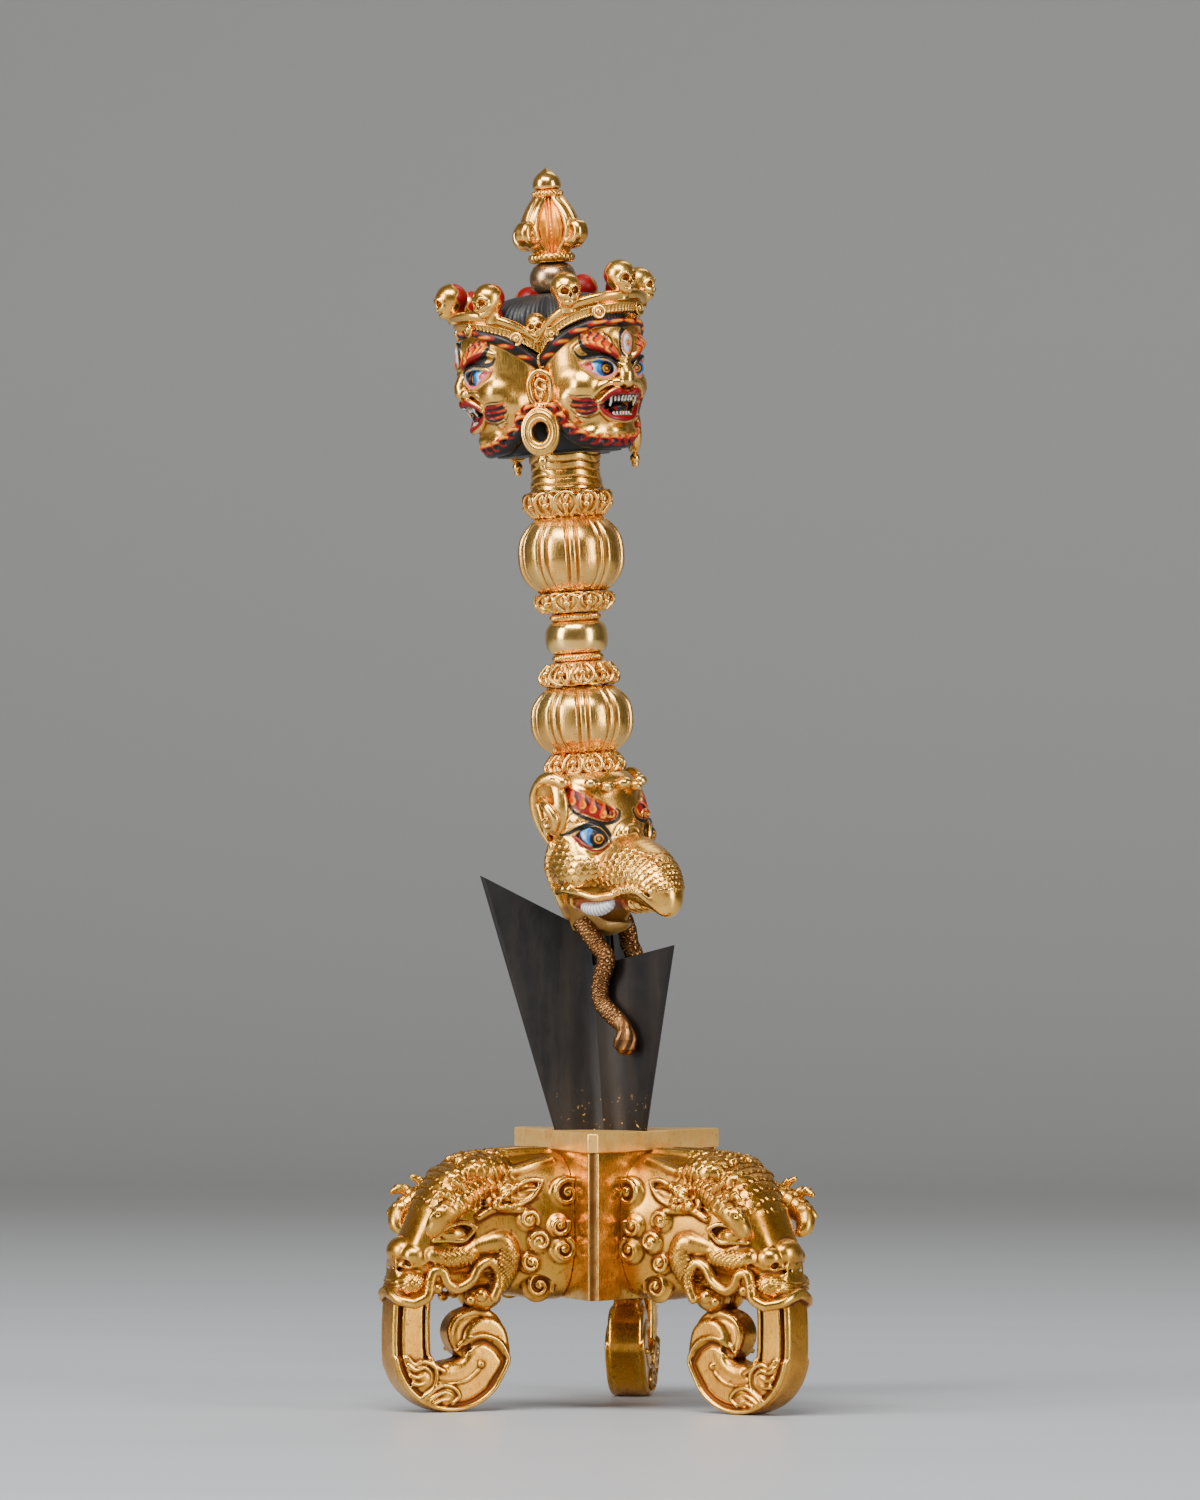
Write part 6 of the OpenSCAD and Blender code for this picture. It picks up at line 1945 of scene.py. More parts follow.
def sculpt_prong(step):
    """One of the four outer prongs: a broad rounded rib with a curled hook on its shoulder."""
    clay = Clay((-3.4, -10.6, PRONG_Z - 0.1), (3.4, -1.0, PRONG_Z + PRONG_H + 0.1), step)
    z = PRONG_Z
    rib = curve([[0, -3.2, z - 0.2], [0, -4.4, z + 1.2], [0, -6.0, z + 3.0], [0, -6.6, z + 5.2], [0, -6.1, z + 7.4],
                 [0, -4.8, z + 9.6], [0, -3.3, z + 11.4], [0, -2.9, z + 12.3]], 7)
    thick = graded(rib, [0, 0.2, 0.5, 0.8, 1], [1.0, 1.2, 1.5, 1.25, 0.8])
    clay.rope(rib, thick, 0.3)
    for side in (-1, 1):
        clay.rope(rib + (side * 1.3, 0.1, 0), 0.62 * thick, 0.25)
        clay.rope(rib + (side * 0.75, -1.35, 0), 0.22, 0.2, carve=True)
    hook = curve([[0, -6.2, z + 2.2], [0, -7.6, z + 2.2], [0, -8.8, z + 3.2], [0, -9.0, z + 4.6], [0, -8.4, z + 5.7],
                  [0, -7.3, z + 5.8], [0, -7.0, z + 4.8]], 6)
    for side in (-0.8, 0, 0.8):
        clay.rope(hook + (side, 0, 0), graded(hook, [0, 0.5, 1], [1.2, 1.1, 0.7]), 0.3)
    for side in (-1, 1):
        clay.ball((side * 2.0, -7.8, z + 4.3), (0.7, 0.7, 0.8), 0.2, carve=True)
        clay.rope(hook[4:] + (side * 1.55, 0, 0), 0.42, 0.2)
    return clay.surface()


def build_finial_tip(z, height, radius):
    rows = curve(
        [
            [radius * 0.72, z], [radius * 0.96, z + 0.5], [radius, z + 1.3], [radius * 0.9, z + 2.5],
            [radius * 0.62, z + 3.6], [radius * 0.28, z + 4.4], [0.14, z + height - 0.07], [0.01, z + height - 0.02],
        ],
        8,
    )
    angle = np.linspace(0, 2 * math.pi, 120, endpoint=False)
    rows = np.vstack(([0.01, z], rows))
    r = rows[:, :1]
    points = np.stack((r * np.sin(angle), -r * np.cos(angle), np.repeat(rows[:, 1:], 120, 1)), 2)
    return points.reshape(-1, 3), grid_faces(len(rows), 120, False, True)


# Finishes. The shared effects are node groups that feed the materials' own shaders.


class Nodes:
    """Adds nodes to a group or a material. Values are sockets, numbers or colours."""

    def __init__(self, tree, given):
        self.tree, self.given = tree, given
        self.position = given["Position"] if "Position" in given else given["Object"]

    def feed(self, socket, value):
        if isinstance(value, bpy.types.NodeSocket):
            self.tree.links.new(value, socket)
        elif isinstance(value, tuple):
            socket.default_value = (*value, 1)[: len(socket.default_value)]
        else:
            socket.default_value = value

    def node(self, kind, inputs, **settings):
        """The outputs of a new node whose inputs are named or numbered."""
        node = self.tree.nodes.new("ShaderNode" + kind)
        for name, value in settings.items():
            setattr(node, name, value)
        for key, value in inputs.items():
            self.feed(node.inputs[key], value)
        return node.outputs

    def maths(self, operation, values, clamp):
        result = values[0]
        for i, value in enumerate(values[1:], 2):
            last = clamp and i == len(values)
            result = self.node("Math", {0: result, 1: value}, operation=operation, use_clamp=last)[0]
        return result

    def add(self, *values, clamp=False):
        return self.maths("ADD", values, clamp)

    def times(self, *values, clamp=False):
        return self.maths("MULTIPLY", values, clamp)

    def minus(self, *values, clamp=False):
        return self.maths("SUBTRACT", values, clamp)

    def mix(self, factor, a, b):
        return self.node("Mix", {0: factor, 6: a, 7: b}, data_type="RGBA")[2]

    def noise(self, scale, detail=3.0, stretch=None):
        """A noise value over the position, which may be stretched."""
        place = self.position
        if stretch:
            place = self.node("Mapping", {"Scale": stretch, "Vector": place})[0]
        return self.node("TexNoise", {"Scale": scale, "Detail": detail, "Vector": place})[0]

    def ranged(self, value, low, high, to_low=0.0, to_high=1.0):
        return self.node("MapRange", {1: low, 2: high, 3: to_low, 4: to_high, 0: value})[0]


def new_group(name, inputs, outputs):
    """The nodes of a new group with named inputs, and its results."""
    tree = bpy.data.node_groups.new(name, "ShaderNodeTree")
    for way, sockets in (("INPUT", inputs), ("OUTPUT", outputs)):
        for label, kind in sockets.items():
            tree.interface.new_socket(label, in_out=way, socket_type="NodeSocket" + kind)
    return Nodes(tree, tree.nodes.new("NodeGroupInput").outputs), tree.nodes.new("NodeGroupOutput").inputs


def tarnish_group():
    """Brown tarnish that gathers in hollows and in soft patches."""
    inputs = {"Hollow": "Float", "Position": "Vector", "Amount": "Float"}
    nodes, result = new_group("tarnish", inputs, {"Mask": "Float"})
    patches, fine = nodes.noise(160.0, 4.0), nodes.noise(900.0, 2.0)
    sunk = nodes.ranged(nodes.given["Hollow"], 0.04, 0.75)
    uneven = nodes.add(nodes.times(patches, 0.9), nodes.times(fine, 0.35))
    mask = nodes.times(sunk, nodes.add(uneven, 0.45))
    cloud = nodes.add(nodes.ranged(patches, 0.5, 0.76, 0.0, 0.42), nodes.ranged(fine, 0.6, 0.74, 0.0, 0.5))
    nodes.feed(result["Mask"], nodes.times(nodes.add(mask, cloud), nodes.given["Amount"], clamp=True))
    return nodes.tree


def worn_edges_group():
    """Proud places that handling has polished."""
    nodes, result = new_group("worn_edges", {"Hollow": "Float", "Position": "Vector"}, {"Mask": "Float"})
    proud = nodes.ranged(nodes.times(nodes.given["Hollow"], -1.0), 0.1, 0.7)
    broken = nodes.ranged(nodes.noise(420.0), 0.3, 0.62)
    nodes.feed(result["Mask"], nodes.times(proud, broken, clamp=True))
    return nodes.tree


def hand_finish_group():
    """Fine burnishing marks: a height for the bump and a change of roughness."""
    outputs = {"Height": "Float", "Roughness": "Float"}
    nodes, result = new_group("hand_finish", {"Position": "Vector", "Marks": "Float"}, outputs)
    brushed = nodes.noise(1.0, 2.0, stretch=(5200.0, 5200.0, 420.0))
    crossed = nodes.noise(1.0, 2.0, stretch=(900.0, 900.0, 3800.0))
    grain, waves = nodes.noise(2600.0), nodes.noise(240.0, 2.0)
    lines = nodes.add(nodes.times(brushed, 0.6), nodes.times(crossed, 0.25))
    height = nodes.add(nodes.times(lines, nodes.given["Marks"]), nodes.times(grain, 0.3), nodes.times(waves, 2.6))
    nodes.feed(result["Height"], height)
    shine = nodes.add(nodes.ranged(brushed, 0.35, 0.7, -0.03, 0.07), nodes.ranged(waves, 0.3, 0.7, -0.03, 0.05))
    nodes.feed(result["Roughness"], shine)
    return nodes.tree


def floor_streaks_group():
    """Faint wide streaks across the floor."""
    nodes, result = new_group("floor_streaks", {"Position": "Vector"}, {"Mask": "Float"})
    streaks = nodes.noise(1.0, stretch=(0.35, 26.0, 1.0))
    nodes.feed(result["Mask"], nodes.ranged(streaks, 0.35, 0.68))
    return nodes.tree


GROUP_BUILDERS = {
    "tarnish": tarnish_group,
    "worn_edges": worn_edges_group,
    "hand_finish": hand_finish_group,
    "floor_streaks": floor_streaks_group,
}


class Coat(Nodes):
    """A material, with the nodes that feed its own shader."""

    def __init__(self, name):
        self.material = bpy.data.materials.new(name)
        self.material.use_nodes = True
        tree = self.material.node_tree
        super().__init__(tree, tree.nodes.new("ShaderNodeTexCoord").outputs)
        self.shader = tree.nodes["Principled BSDF"].inputs

    def shared(self, name, inputs):
        """The outputs of a shared group, which is made at its first use."""
        group = bpy.data.node_groups.get(name) or GROUP_BUILDERS[name]()
        return self.node("Group", {"Position": self.position, **inputs}, node_tree=group)

    def surface(self, values):
        for name, value in values.items():
            self.feed(self.shader[name], value)

    def relief(self, height, strength, distance):
        bumps = self.node("Bump", {"Strength": strength, "Distance": distance, "Height": height})
        self.surface({"Normal": bumps[0]})


def toned(colour, *factors):
    return tuple(c * f for c, f in zip(colour, factors))


def gilded(name, bright, deep, polished, roughness, tarnish, marks=0.5, painted=False, bump=0.16, metal=0.95):
    """Gilding with tarnish in its hollows, polished high places and hand marks; painted adds the paint."""
    coat = Coat(name)
    hollow = coat.node("Attribute", {}, attribute_name="hollow")["Fac"]
    stain = coat.shared("tarnish", {"Hollow": hollow, "Amount": tarnish})["Mask"]
    worn = coat.shared("worn_edges", {"Hollow": hollow})["Mask"]
    hand = coat.shared("hand_finish", {"Marks": marks})
    tone = coat.ranged(coat.noise(95.0), 0.3, 0.7)
    colour = coat.mix(tone, bright, toned(bright, 0.95, 0.76, 0.55))
    copper = coat.ranged(coat.noise(260.0, 4.0), 0.55, 0.72, 0.0, 0.45)
    colour = coat.mix(coat.times(copper, tarnish), colour, toned(bright, 0.9, 0.66, 0.5))
    colour = coat.mix(coat.times(worn, 0.75), colour, polished)
    colour = coat.mix(stain, colour, deep)
    rough = coat.add(hand["Roughness"], roughness, coat.times(stain, 0.26))
    rough = coat.minus(rough, coat.times(worn, 0.06), clamp=True)
    if painted:
        paint = coat.node("Attribute", {}, attribute_name="paint")
        cover = paint["Alpha"]
        shade = coat.mix(coat.times(stain, 0.35), paint["Color"], (0.02, 0.015, 0.012))
        colour = coat.mix(cover, colour, shade)
        metal = coat.minus(metal, cover, clamp=True)
        paint_rough = coat.ranged(coat.noise(700.0, 2.0), 0.3, 0.7, 0.3, 0.46)
        rough = coat.add(rough, coat.times(coat.minus(paint_rough, rough), cover))
        coat.surface({"Specular IOR Level": 0.25})
    coat.surface({"Metallic": metal, "Base Color": colour, "Roughness": rough})
    coat.relief(hand["Height"], bump, 0.00006)
    return coat.material


def iron(name):
    """Blackened satin iron with faint brown streaks and a few flecks of gold near the stand."""
    coat = Coat(name)
    hand = coat.shared("hand_finish", {"Marks": 0.9})
    streaks = coat.ranged(coat.noise(1.0, stretch=(160.0, 160.0, 22.0)), 0.42, 0.74)
    colour = coat.mix(streaks, (0.014, 0.012, 0.011), (0.034, 0.025, 0.018))
    flecks = coat.ranged(coat.noise(900.0, 2.0), 0.66, 0.7)
    height = coat.node("SeparateXYZ", {0: coat.position})["Z"]
    near_plate = coat.ranged(height, 0.0615, 0.070, 1.0, 0.0)
    colour = coat.mix(coat.times(flecks, near_plate, clamp=True), colour, (0.55, 0.33, 0.1))
    rough = coat.add(hand["Roughness"], coat.ranged(streaks, 0.0, 1.0, 0.4, 0.52))
    coat.surface({"Base Color": colour, "Roughness": rough, "Metallic": 0.6})
    coat.relief(hand["Height"], 0.1, 0.00005)
    return coat.material


def paint_coat(name, light, dark, roughness):
    """Plain paint with brush marks, darker in its hollows."""
    coat = Coat(name)
    hollow = coat.node("Attribute", {}, attribute_name="hollow")["Fac"]
    strokes = coat.ranged(coat.noise(600.0), 0.3, 0.7, -0.15, 0.15)
    depth = coat.add(coat.ranged(hollow, -0.2, 0.6), strokes, clamp=True)
    rough = coat.ranged(coat.noise(1400.0, 2.0), 0.3, 0.7, roughness - 0.07, roughness + 0.08)
    coat.surface({"Base Color": coat.mix(depth, light, dark), "Roughness": rough})
    coat.relief(coat.noise(2200.0), 0.25, 0.00006)
    return coat.material


def studio_floor(name, settings):
    """The pale floor and the grey backdrop it runs into, with painted shade that darkens the floor towards the bend,
    clear from behind so that every side can be seen.
    """
    coat = Coat(name)
    floor, wall = tuple(settings.floor_colour), tuple(settings.wall_colour)
    split = coat.node("SeparateXYZ", {0: coat.position})
    streaks = coat.times(coat.shared("floor_streaks", {})["Mask"], 0.35)
    # Painted shade: the floor colour darkens towards the back and is darkest at the foot of the bend into the backdrop.
    away = coat.ranged(split["Y"], 0.1, 0.9)
    base = coat.mix(away, coat.mix(streaks, floor, toned(floor, 0.86, 0.86, 0.86)), toned(wall, 0.92, 0.92, 0.92))
    colour = coat.mix(coat.ranged(split["Z"], 0.02, 0.3), base, wall)
    shown = coat.minus(1.0, coat.node("NewGeometry", {})["Backfacing"])
    coat.surface({"Base Color": colour, "Roughness": coat.ranged(away, 0.0, 1.0, 0.42, 0.9), "Alpha": shown})
    return coat.material


def finish(name):
    """One of the part's materials, made from the settings at its first use."""
    name += "_finish"
    found = bpy.data.materials.get(name)
    if found:
        return found
    look = bpy.context.scene.phurba_finish
    gold, deep, pale = tuple(look.gold), tuple(look.recess), tuple(look.polished)
    stand, stand_deep = tuple(look.stand_gold), tuple(look.stand_recess)
    rough, tarnish = look.roughness, look.tarnish
    plain = (gold, deep, pale, rough, tarnish)
    makers = {
        "gilding": (gilded, plain, {}),
        "gilding_painted": (gilded, plain, {"painted": True}),
        "gilding_polished": (gilded, (pale, deep, pale, rough - 0.04, 0.2 * tarnish), {"marks": 0.2}),
        "gilding_brushed": (
            gilded, ((0.84, 0.52, 0.14), deep, pale, rough + 0.02, tarnish), {"marks": 2.2, "bump": 0.3}
        ),
        "gilding_yellow": (gilded, ((0.88, 0.36, 0.03), (0.40, 0.12, 0.012), gold, 0.4, 0.7), {}),
        "gilding_worn_brown": (gilded, ((0.42, 0.27, 0.14), (0.035, 0.018, 0.012), (0.6, 0.45, 0.28), 0.26, 1.0), {}),
        "stand_gilding": (
            gilded, (stand, stand_deep, (0.80, 0.48, 0.10), rough + 0.04, tarnish * 1.3), {"marks": 0.8, "bump": 0.22}
        ),
        "stand_brushed": (
            gilded, ((0.90, 0.50, 0.11), stand_deep, (0.94, 0.60, 0.17), rough + 0.18, 0.7),
            {"marks": 2.4, "bump": 0.4, "metal": 0.66},
        ),
        "stand_polished": (gilded, ((0.40, 0.23, 0.06), stand_deep, (0.85, 0.60, 0.22), rough, 0.7), {"marks": 1.2}),
        "copper_gold": (gilded, ((0.26, 0.13, 0.045), (0.05, 0.02, 0.01), (0.52, 0.31, 0.12), 0.34, 0.9), {}),
        "dark_iron": (iron, (), {}),
        "silver_paint": (paint_coat, ((0.72, 0.73, 0.74), (0.32, 0.31, 0.31), 0.32), {}),
        "black_paint": (paint_coat, ((0.016, 0.015, 0.015), (0.004, 0.004, 0.004), 0.5), {}),
    }
    maker, values, extra = makers[name.removesuffix("_finish")]
    return maker(name, *values, **extra)


# Stage


def add_softbox(name, place, aim, size, power):
    """A rectangular soft light that faces a point."""
    light = bpy.data.lights.new(name, "AREA")
    light.shape = "RECTANGLE"
    light.size, light.size_y = size
    light.energy = power
    lamp = bpy.data.objects.new(name, light)
    lamp.location = place
    lamp.rotation_euler = (Vector(aim) - Vector(place)).to_track_quat("-Z", "Y").to_euler()
    bpy.context.collection.objects.link(lamp)


def build_backdrop():
    """A floor that runs up into a wall through a wide bend."""
    front, bend_start, bend, top, half_width, columns = -3.0, 1.05, 0.45, 3.2, 2.6, 9
    rows = [(front, 0.0), (0.0, 0.0), (bend_start, 0.0)]
    for t in np.radians(np.linspace(6, 90, 15)):
        rows.append((bend_start + bend * math.sin(t), bend * (1 - math.cos(t))))
    rows.append((bend_start + bend, top))
    points = [(x, y, z) for y, z in rows for x in np.linspace(-half_width, half_width, columns)]
    mesh = bpy.data.meshes.new("studio_floor")
    mesh.from_pydata(points, [], [tuple(f) for f in grid_faces(len(rows), columns).tolist()])
    mesh.polygons.foreach_set("use_smooth", [True] * len(mesh.polygons))
    return mesh


# Settings


def colour_setting(name, description, *default):
    return FloatVectorProperty(
        name=name, description=description, subtype="COLOR", size=3, min=0, max=1, default=default
    )


def length_setting(name, description, default, low=0.0001, high=0.001):
    return FloatProperty(name=name, description=description, unit="LENGTH", min=low, max=high, default=default)


def factor_setting(name, description, default, low=0.0):
    return FloatProperty(name=name, description=description, subtype="FACTOR", min=low, max=1, default=default)


class PhurbaFinish(bpy.types.PropertyGroup):
    """Colours and wear of the metals."""

    gold: colour_setting("Gold", "Gilding of the dagger", 0.84, 0.49, 0.105)
    polished: colour_setting("Polished gold", "Gilding on the high places", 0.92, 0.61, 0.19)
    recess: colour_setting("Recesses", "Tarnished gilding in the hollows", 0.24, 0.075, 0.012)
    stand_gold: colour_setting("Stand gold", "Gilding of the stand", 0.66, 0.335, 0.045)
    stand_recess: colour_setting("Stand recesses", "Tarnish in the stand's hollows", 0.13, 0.040, 0.008)
    roughness: factor_setting("Roughness", "Roughness of the gilding", 0.2, low=0.05)
    tarnish: factor_setting("Tarnish", "How much tarnish lies in the hollows", 0.85)


class PhurbaModel(bpy.types.PropertyGroup):
    """Fineness of the sculpted pieces."""

    leg_step: length_setting("Leg detail", "Grid step of the sculpted legs", 0.00025)
    head_step: length_setting("Makara detail", "Grid step of the makara head", 0.00021)
    face_step: length_setting("Face detail", "Grid step of the faces", 0.00021)
    fine_step: length_setting("Ornament detail", "Grid step of petals, skulls and prongs", 0.000165, low=0.00005)
    draft: BoolProperty(name="Draft", description="Sculpts on a coarser grid for a quick look", default=False)


class PhurbaStage(bpy.types.PropertyGroup):
    """Camera, light and backdrop."""

    azimuth: FloatProperty(
        name="Azimuth", description="Camera's turn to the right of the front", subtype="ANGLE", unit="ROTATION",
        default=math.radians(8),
    )
    distance: length_setting("Distance", "Camera's distance from the stand's axis", 2.17, 0.5, 10)
    height: length_setting("Height", "Camera's height over the floor", 0.1439, 0, 2)
    sideways: length_setting("Sideways", "Camera's shift to its right", -0.00327, -0.1, 0.1)
    lens: FloatProperty(name="Lens", description="Focal length in millimetres", min=20, max=500, default=236.7)
    light: FloatProperty(name="Light", description="Strength of all the lights", min=0.1, max=10, default=1.0)
    floor_colour: colour_setting("Floor", "Colour of the floor", 0.405, 0.415, 0.43)
    wall_colour: colour_setting("Backdrop", "Colour of the backdrop", 0.236, 0.236, 0.232)


def grid_step(millimetre_step):
    """The grid step in millimetres, coarser for a draft."""
    model = bpy.context.scene.phurba_model
    return millimetre_step / MM * (1.9 if model.draft else 1.0)


def add_form(name, form, matrix, body, slot, material, nodes=(), relief=None, paint=None, spread=12):
    """Turns points and faces in a local frame into a finished piece; relief and paint work on them."""
    points, faces = form
    if np.linalg.det(np.array(matrix)[:3, :3]) < 0:
        faces = faces[:, ::-1]
    mesh = build_mesh(name, points, faces, matrix)
    turn = np.array(matrix.to_3x3().normalized())
    if relief is not None:
        _, normals = vertex_arrays(mesh)
        displaced(mesh, relief(points, normals @ turn))
    weather(mesh, spread)
    if paint is not None:
        _, normals = vertex_arrays(mesh)
        paint(mesh, points, normals @ turn)
    return add_piece(name, mesh, body, slot, finish(material), *nodes)


def on_dagger(name, form, node, material="gilding", slot="gilding", place=ON_DAGGER, **extra):
    """Adds a form as the finished piece of the dagger that stands for a node."""
    return add_form(name, form, place, "dagger", slot, material, (node,), **extra)


# Pieces


class PHURBA_OT_stand_box(bpy.types.Operator):
    """Adds the stand's plate, walls and corner strips"""

    bl_idname = "phurba.stand_box"
    bl_label = "Stand box"

    def execute(self, context):
        pieces = (
            ("stand_top", build_stand_top(), "stand_brushed"), ("stand_walls", build_stand_walls(), "stand_gilding"),
        )
        for name, mesh, material in pieces:
            weather(mesh, 2)
            add_piece(name + "_cast", mesh, "stand", "stand_gilding", finish(material), name)
        add_form("corner_strips_polished", build_corner_strips(), ON_STAND, "stand", "stand_gilding", "stand_polished",
                 ("corner_strips",), spread=2)
        return {"FINISHED"}


class PHURBA_OT_makara_legs(bpy.types.Operator):
    """Sculpts one makara leg and sets it on the three sides of the box"""

    bl_idname = "phurba.makara_legs"
    bl_label = "Makara legs"

    def execute(self, context):
        form = sculpt_leg(grid_step(context.scene.phurba_model.leg_step))
        flip = Matrix.Scale(-1, 4, (0, 1, 0))
        for side, azimuth in (("left", -60), ("right", 60), ("back", 180)):
            place = ON_STAND @ Matrix.Rotation(math.radians(azimuth), 4, "Z") @ flip
            node = "makara_leg_" + side
            add_form(
                node + "_sculpted", form, place, "stand", "stand_gilding", "stand_gilding", (node,), leg_skin_relief,
            )
        return {"FINISHED"}


class PHURBA_OT_blade(bpy.types.Operator):
    """Adds the three-winged blade"""

    bl_idname = "phurba.blade"
    bl_label = "Blade"

    def execute(self, context):
        mesh = build_mesh("blade_ground", *build_blade(), ON_DAGGER)
        smooth_by_angle(mesh, 22)
        weather(mesh, 3)
        add_piece("blade_ground", mesh, "dagger", "dark_iron", finish("dark_iron"), "blade")
        rod_materials = frame["nodes"]["tang_rod"].data.materials
        rod_materials.clear()
        rod_materials.append(finish("dark_iron"))
        return {"FINISHED"}


class PHURBA_OT_makara_head(bpy.types.Operator):
    """Sculpts the makara head that holds the blade, with its ears and tusks"""

    bl_idname = "phurba.makara_head"
    bl_label = "Makara head"

    def execute(self, context):
        step = grid_step(context.scene.phurba_model.head_step)
        carving = {"relief": makara_relief, "paint": makara_paint}
        on_dagger("makara_head_sculpted", sculpt_makara_head(step), "makara_head", "gilding_painted", **carving)
        on_dagger("makara_ears_sculpted", mirrored_pair(*sculpt_makara_ear(0.8 * step)), "makara_ears")
        tusks = mirrored_pair(*build_makara_tusk())
        on_dagger("makara_tusks_painted", tusks, "makara_tusks", "silver_paint", "silver_paint", spread=4)
        return {"FINISHED"}


class PHURBA_OT_snakes(bpy.types.Operator):
    """Adds the two snakes beside the front wing"""

    bl_idname = "phurba.snakes"
    bl_label = "Snakes"

    def execute(self, context):
        points, faces = build_snake()
        for side, flip in (("right", 1), ("left", -1)):
            form = (points * (flip, 1, 1), faces if flip > 0 else faces[:, ::-1])
            on_dagger(f"snake_{side}_punched", form, "snake_" + side, "copper_gold", "copper_gold", spread=4)
        return {"FINISHED"}


class PHURBA_OT_handle(bpy.types.Operator):
    """Adds the petal collars, gored knobs, rope rings, bead and neck of the handle"""

    bl_idname = "phurba.handle"
    bl_label = "Handle"

    def execute(self, context):
        step = grid_step(context.scene.phurba_model.fine_step)
        for name, size in COLLARS.items():
            on_dagger(name + "_petals", build_collar(*size, step), name)
        for name, size in MELONS.items():
            on_dagger(name + "_gored", build_melon(*size, MELON_TURN), name, "gilding_brushed")
        for name, size in ROPES.items():
            on_dagger(name + "_twisted", build_rope_ring(*size), name, spread=6)
        on_dagger("handle_bead_turned", build_bead(*BEAD), "handle_bead", "gilding_polished")
        on_dagger("neck_engraved", build_neck(*NECK), "neck")
        return {"FINISHED"}


class PHURBA_OT_faces(bpy.types.Operator):
    """Sculpts and paints the three faces, their ears and earrings"""

    bl_idname = "phurba.faces"
    bl_label = "Faces"

    def execute(self, context):
        model = context.scene.phurba_model
        points, quads = sculpt_face(grid_step(model.face_step))
        count = len(points)

        def paint_faces(mesh, placed, normals):
            face_paint(placed[:count], normals[:count]).tiled(3).store(mesh)

        form = repeated(points, quads, (0, 120, 240))
        on_dagger("faces_sculpted", form, "faces_head", "gilding_painted", paint=paint_faces)
        step = grid_step(model.fine_step)
        on_dagger("deity_ears_sculpted", repeated(*sculpt_deity_ear(step), BETWEEN_FACES), "deity_ears")
        on_dagger("earrings_grooved", repeated(*sculpt_earring(step), BETWEEN_FACES), "earrings")
        return {"FINISHED"}


class PHURBA_OT_crown(bpy.types.Operator):
    """Adds the hair and the crown with its skulls and rosettes"""

    bl_idname = "phurba.crown"
    bl_label = "Crown"

    def execute(self, context):
        step = grid_step(context.scene.phurba_model.fine_step)
        place = ON_DAGGER @ CROWN_TILT
        on_dagger("hair_combed", build_hair_cap(), "hair_cap", "black_paint", "black_paint", spread=4)
        on_dagger("crown_band_rolled", build_crown_band(), "crown_band", place=place, spread=6)
        skull, faces = sculpt_skull(step / SKULL_R)
        back = skull_paint(skull)

        def paint_skulls(mesh, placed, normals):
            back.tiled(len(placed) // len(skull)).store(mesh)

        large = [120 * k + a for k in range(3) for a in (-SKULL_SPREAD, 0, SKULL_SPREAD)]
        skulls = (("crown_skulls", SKULL_R, large), ("crown_small_skulls", SMALL_SKULL_R, BETWEEN_FACES))
        for name, radius, azimuths in skulls:
            form = place_skulls(skull, faces, radius, azimuths)
            on_dagger(name + "_sculpted", form, name, "gilding_painted", place=place, paint=paint_skulls)
        on_dagger("crown_rosettes_beaded", place_rosettes(*sculpt_rosette(step)), "crown_rosettes", place=place)
        return {"FINISHED"}


class PHURBA_OT_finial(bpy.types.Operator):
    """Adds the topknot and the half vajra"""

    bl_idname = "phurba.finial"
    bl_label = "Finial"

    def execute(self, context):
        step = grid_step(context.scene.phurba_model.fine_step)
        prong = repeated(*sculpt_prong(step), [PRONG_TURN + 90 * k for k in range(4)])
        pieces = (
            ("topknot_ball_worn", build_ball(*TOPKNOT, 2.9), "gilding_worn_brown", "topknot_ball"),
            ("finial_base_ring_beaded", build_beaded_ring(*BASE_RING, 22), "gilding", "finial_base_ring"),
            ("finial_core_ridged", build_finial_core(PRONG_Z, PRONG_H), "gilding_yellow", "finial_core"),
            ("finial_prongs_hooked", prong, "gilding", "finial_prongs"),
            ("finial_collar_beaded", build_beaded_ring(*COLLAR, 20), "gilding", "finial_collar"),
            ("finial_tip_turned", build_finial_tip(*TIP), "gilding_polished", "finial_tip"),
        )
        for name, form, material, node in pieces:
            on_dagger(name, form, node, material)
        return {"FINISHED"}


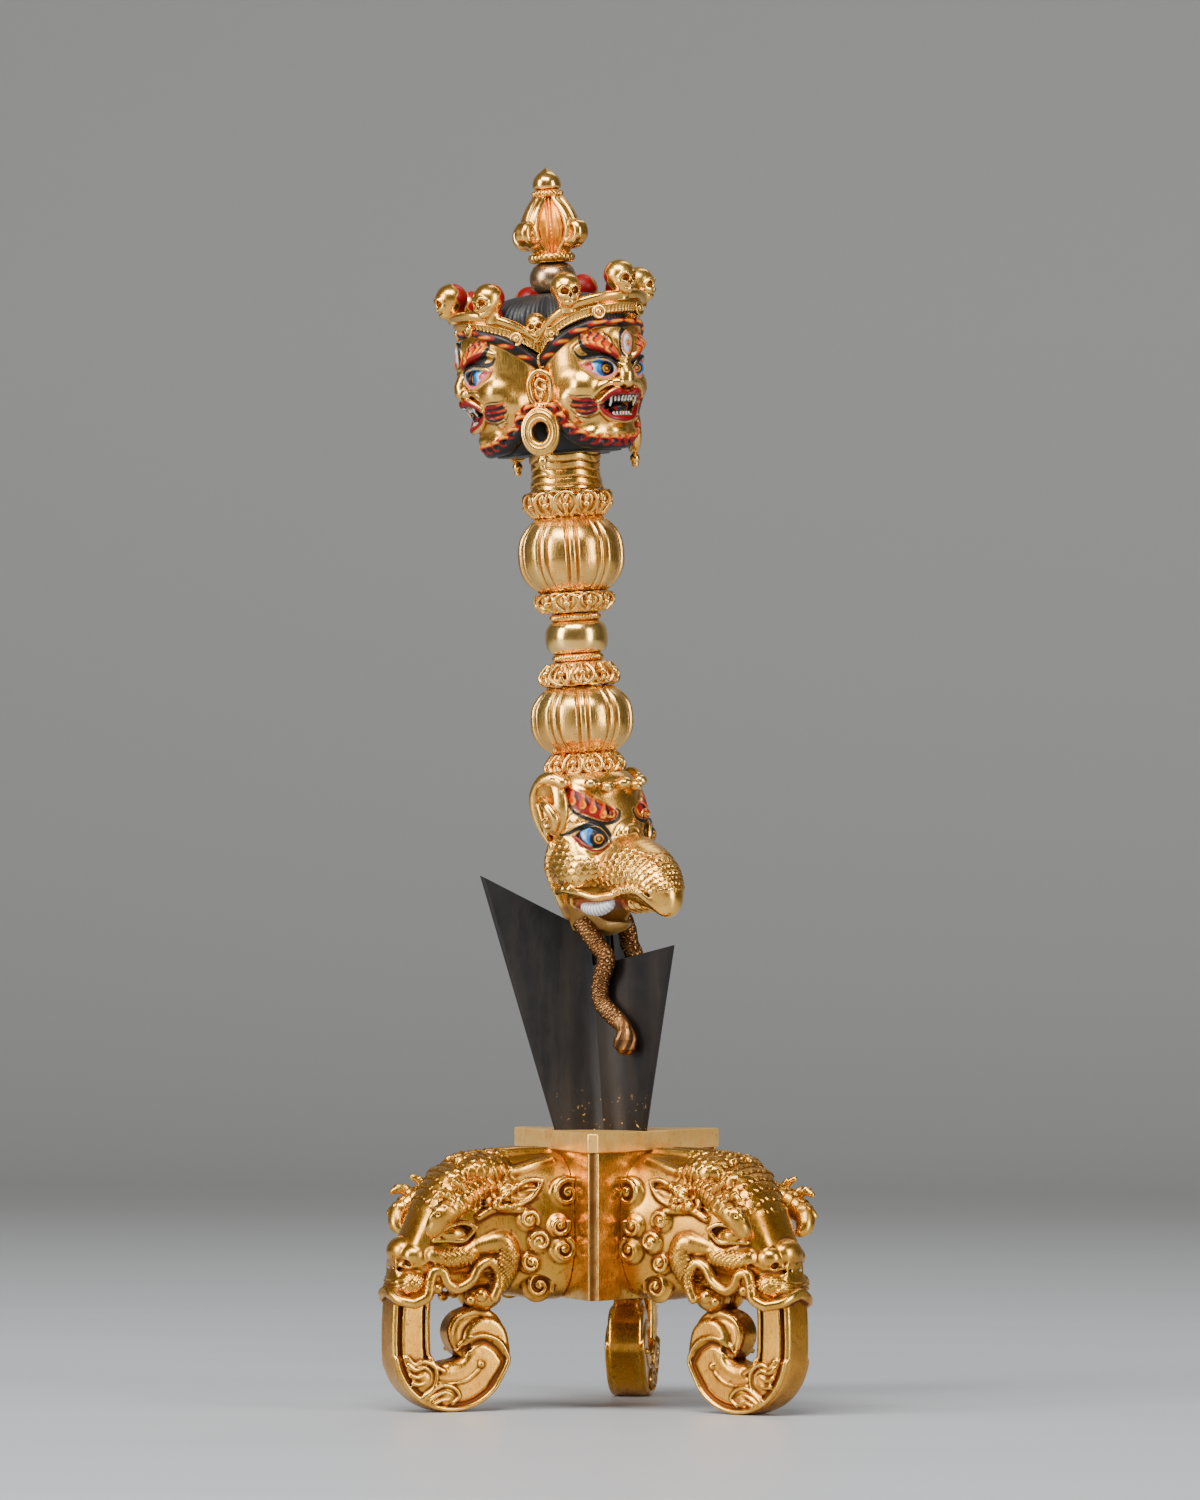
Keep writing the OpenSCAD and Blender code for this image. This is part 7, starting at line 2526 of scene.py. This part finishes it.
class PHURBA_OT_stage(bpy.types.Operator):
    """Sets the floor, backdrop, lights and camera"""

    bl_idname = "phurba.stage"
    bl_label = "Stage"

    def execute(self, context):
        settings = context.scene.phurba_stage
        floor = bpy.data.objects.new("studio_floor", build_backdrop())
        context.collection.objects.link(floor)
        floor.data.materials.append(studio_floor("studio_floor", settings))
        power = settings.light
        middle = (0, 0, 0.13)
        add_softbox("light_top", (-0.15, -0.75, 1.2), middle, (1.1, 0.5), 34 * power)
        add_softbox("light_left", (-1.2, -0.9, 0.6), middle, (0.55, 1.0), 26 * power)
        add_softbox("light_right", (1.25, -0.75, 0.45), middle, (0.4, 1.0), 18 * power)
        add_softbox("light_back", (0.5, 1.0, 1.7), (0, 1.3, 0.5), (1.6, 0.4), 8 * power)
        world = bpy.data.worlds.new("studio")
        world.use_nodes = True
        background = world.node_tree.nodes["Background"]
        background.inputs["Color"].default_value = (0.5, 0.5, 0.51, 1)
        background.inputs["Strength"].default_value = 0.12
        context.scene.world = world
        data = bpy.data.cameras.new("camera")
        data.lens = settings.lens
        data.clip_start = 0.1
        camera = bpy.data.objects.new("camera", data)
        a = settings.azimuth
        camera.location = (
            settings.distance * math.sin(a) + settings.sideways * math.cos(a),
            -settings.distance * math.cos(a) + settings.sideways * math.sin(a),
            settings.height,
        )
        camera.rotation_euler = (math.radians(90), 0, a)
        context.collection.objects.link(camera)
        context.scene.camera = camera
        return {"FINISHED"}


class PHURBA_PT_panel(bpy.types.Panel):
    bl_label = "Three-faced phurba"
    bl_idname = "PHURBA_PT_panel"
    bl_space_type = "VIEW_3D"
    bl_region_type = "UI"
    bl_category = "Phurba"

    def draw(self, context):
        scene = context.scene
        for setting in SETTINGS:
            group = getattr(scene, setting)
            box = self.layout.box()
            box.label(text=setting.removeprefix("phurba_").capitalize())
            for name in group.__annotations__:
                box.prop(group, name)
        for operator in OPERATORS:
            self.layout.operator(operator.bl_idname)


SETTINGS = {"phurba_finish": PhurbaFinish, "phurba_model": PhurbaModel, "phurba_stage": PhurbaStage}
OPERATORS = (
    PHURBA_OT_stand_box,
    PHURBA_OT_makara_legs,
    PHURBA_OT_blade,
    PHURBA_OT_makara_head,
    PHURBA_OT_snakes,
    PHURBA_OT_handle,
    PHURBA_OT_faces,
    PHURBA_OT_crown,
    PHURBA_OT_finial,
    PHURBA_OT_stage,
)
CLASSES = (*SETTINGS.values(), *OPERATORS, PHURBA_PT_panel)


def register():
    for item in CLASSES:
        bpy.utils.register_class(item)
    for name, group in SETTINGS.items():
        setattr(bpy.types.Scene, name, PointerProperty(type=group))


def unregister():
    for name in SETTINGS:
        delattr(bpy.types.Scene, name)
    for item in reversed(CLASSES):
        bpy.utils.unregister_class(item)


def main():
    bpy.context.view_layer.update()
    register()
    bpy.context.scene.phurba_model.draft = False
    bpy.ops.phurba.stand_box()
    bpy.ops.phurba.makara_legs()
    bpy.ops.phurba.blade()
    bpy.ops.phurba.makara_head()
    bpy.ops.phurba.snakes()
    bpy.ops.phurba.handle()
    bpy.ops.phurba.faces()
    bpy.ops.phurba.crown()
    bpy.ops.phurba.finial()
    bpy.ops.phurba.stage()


if __name__ == "__main__":
    main()
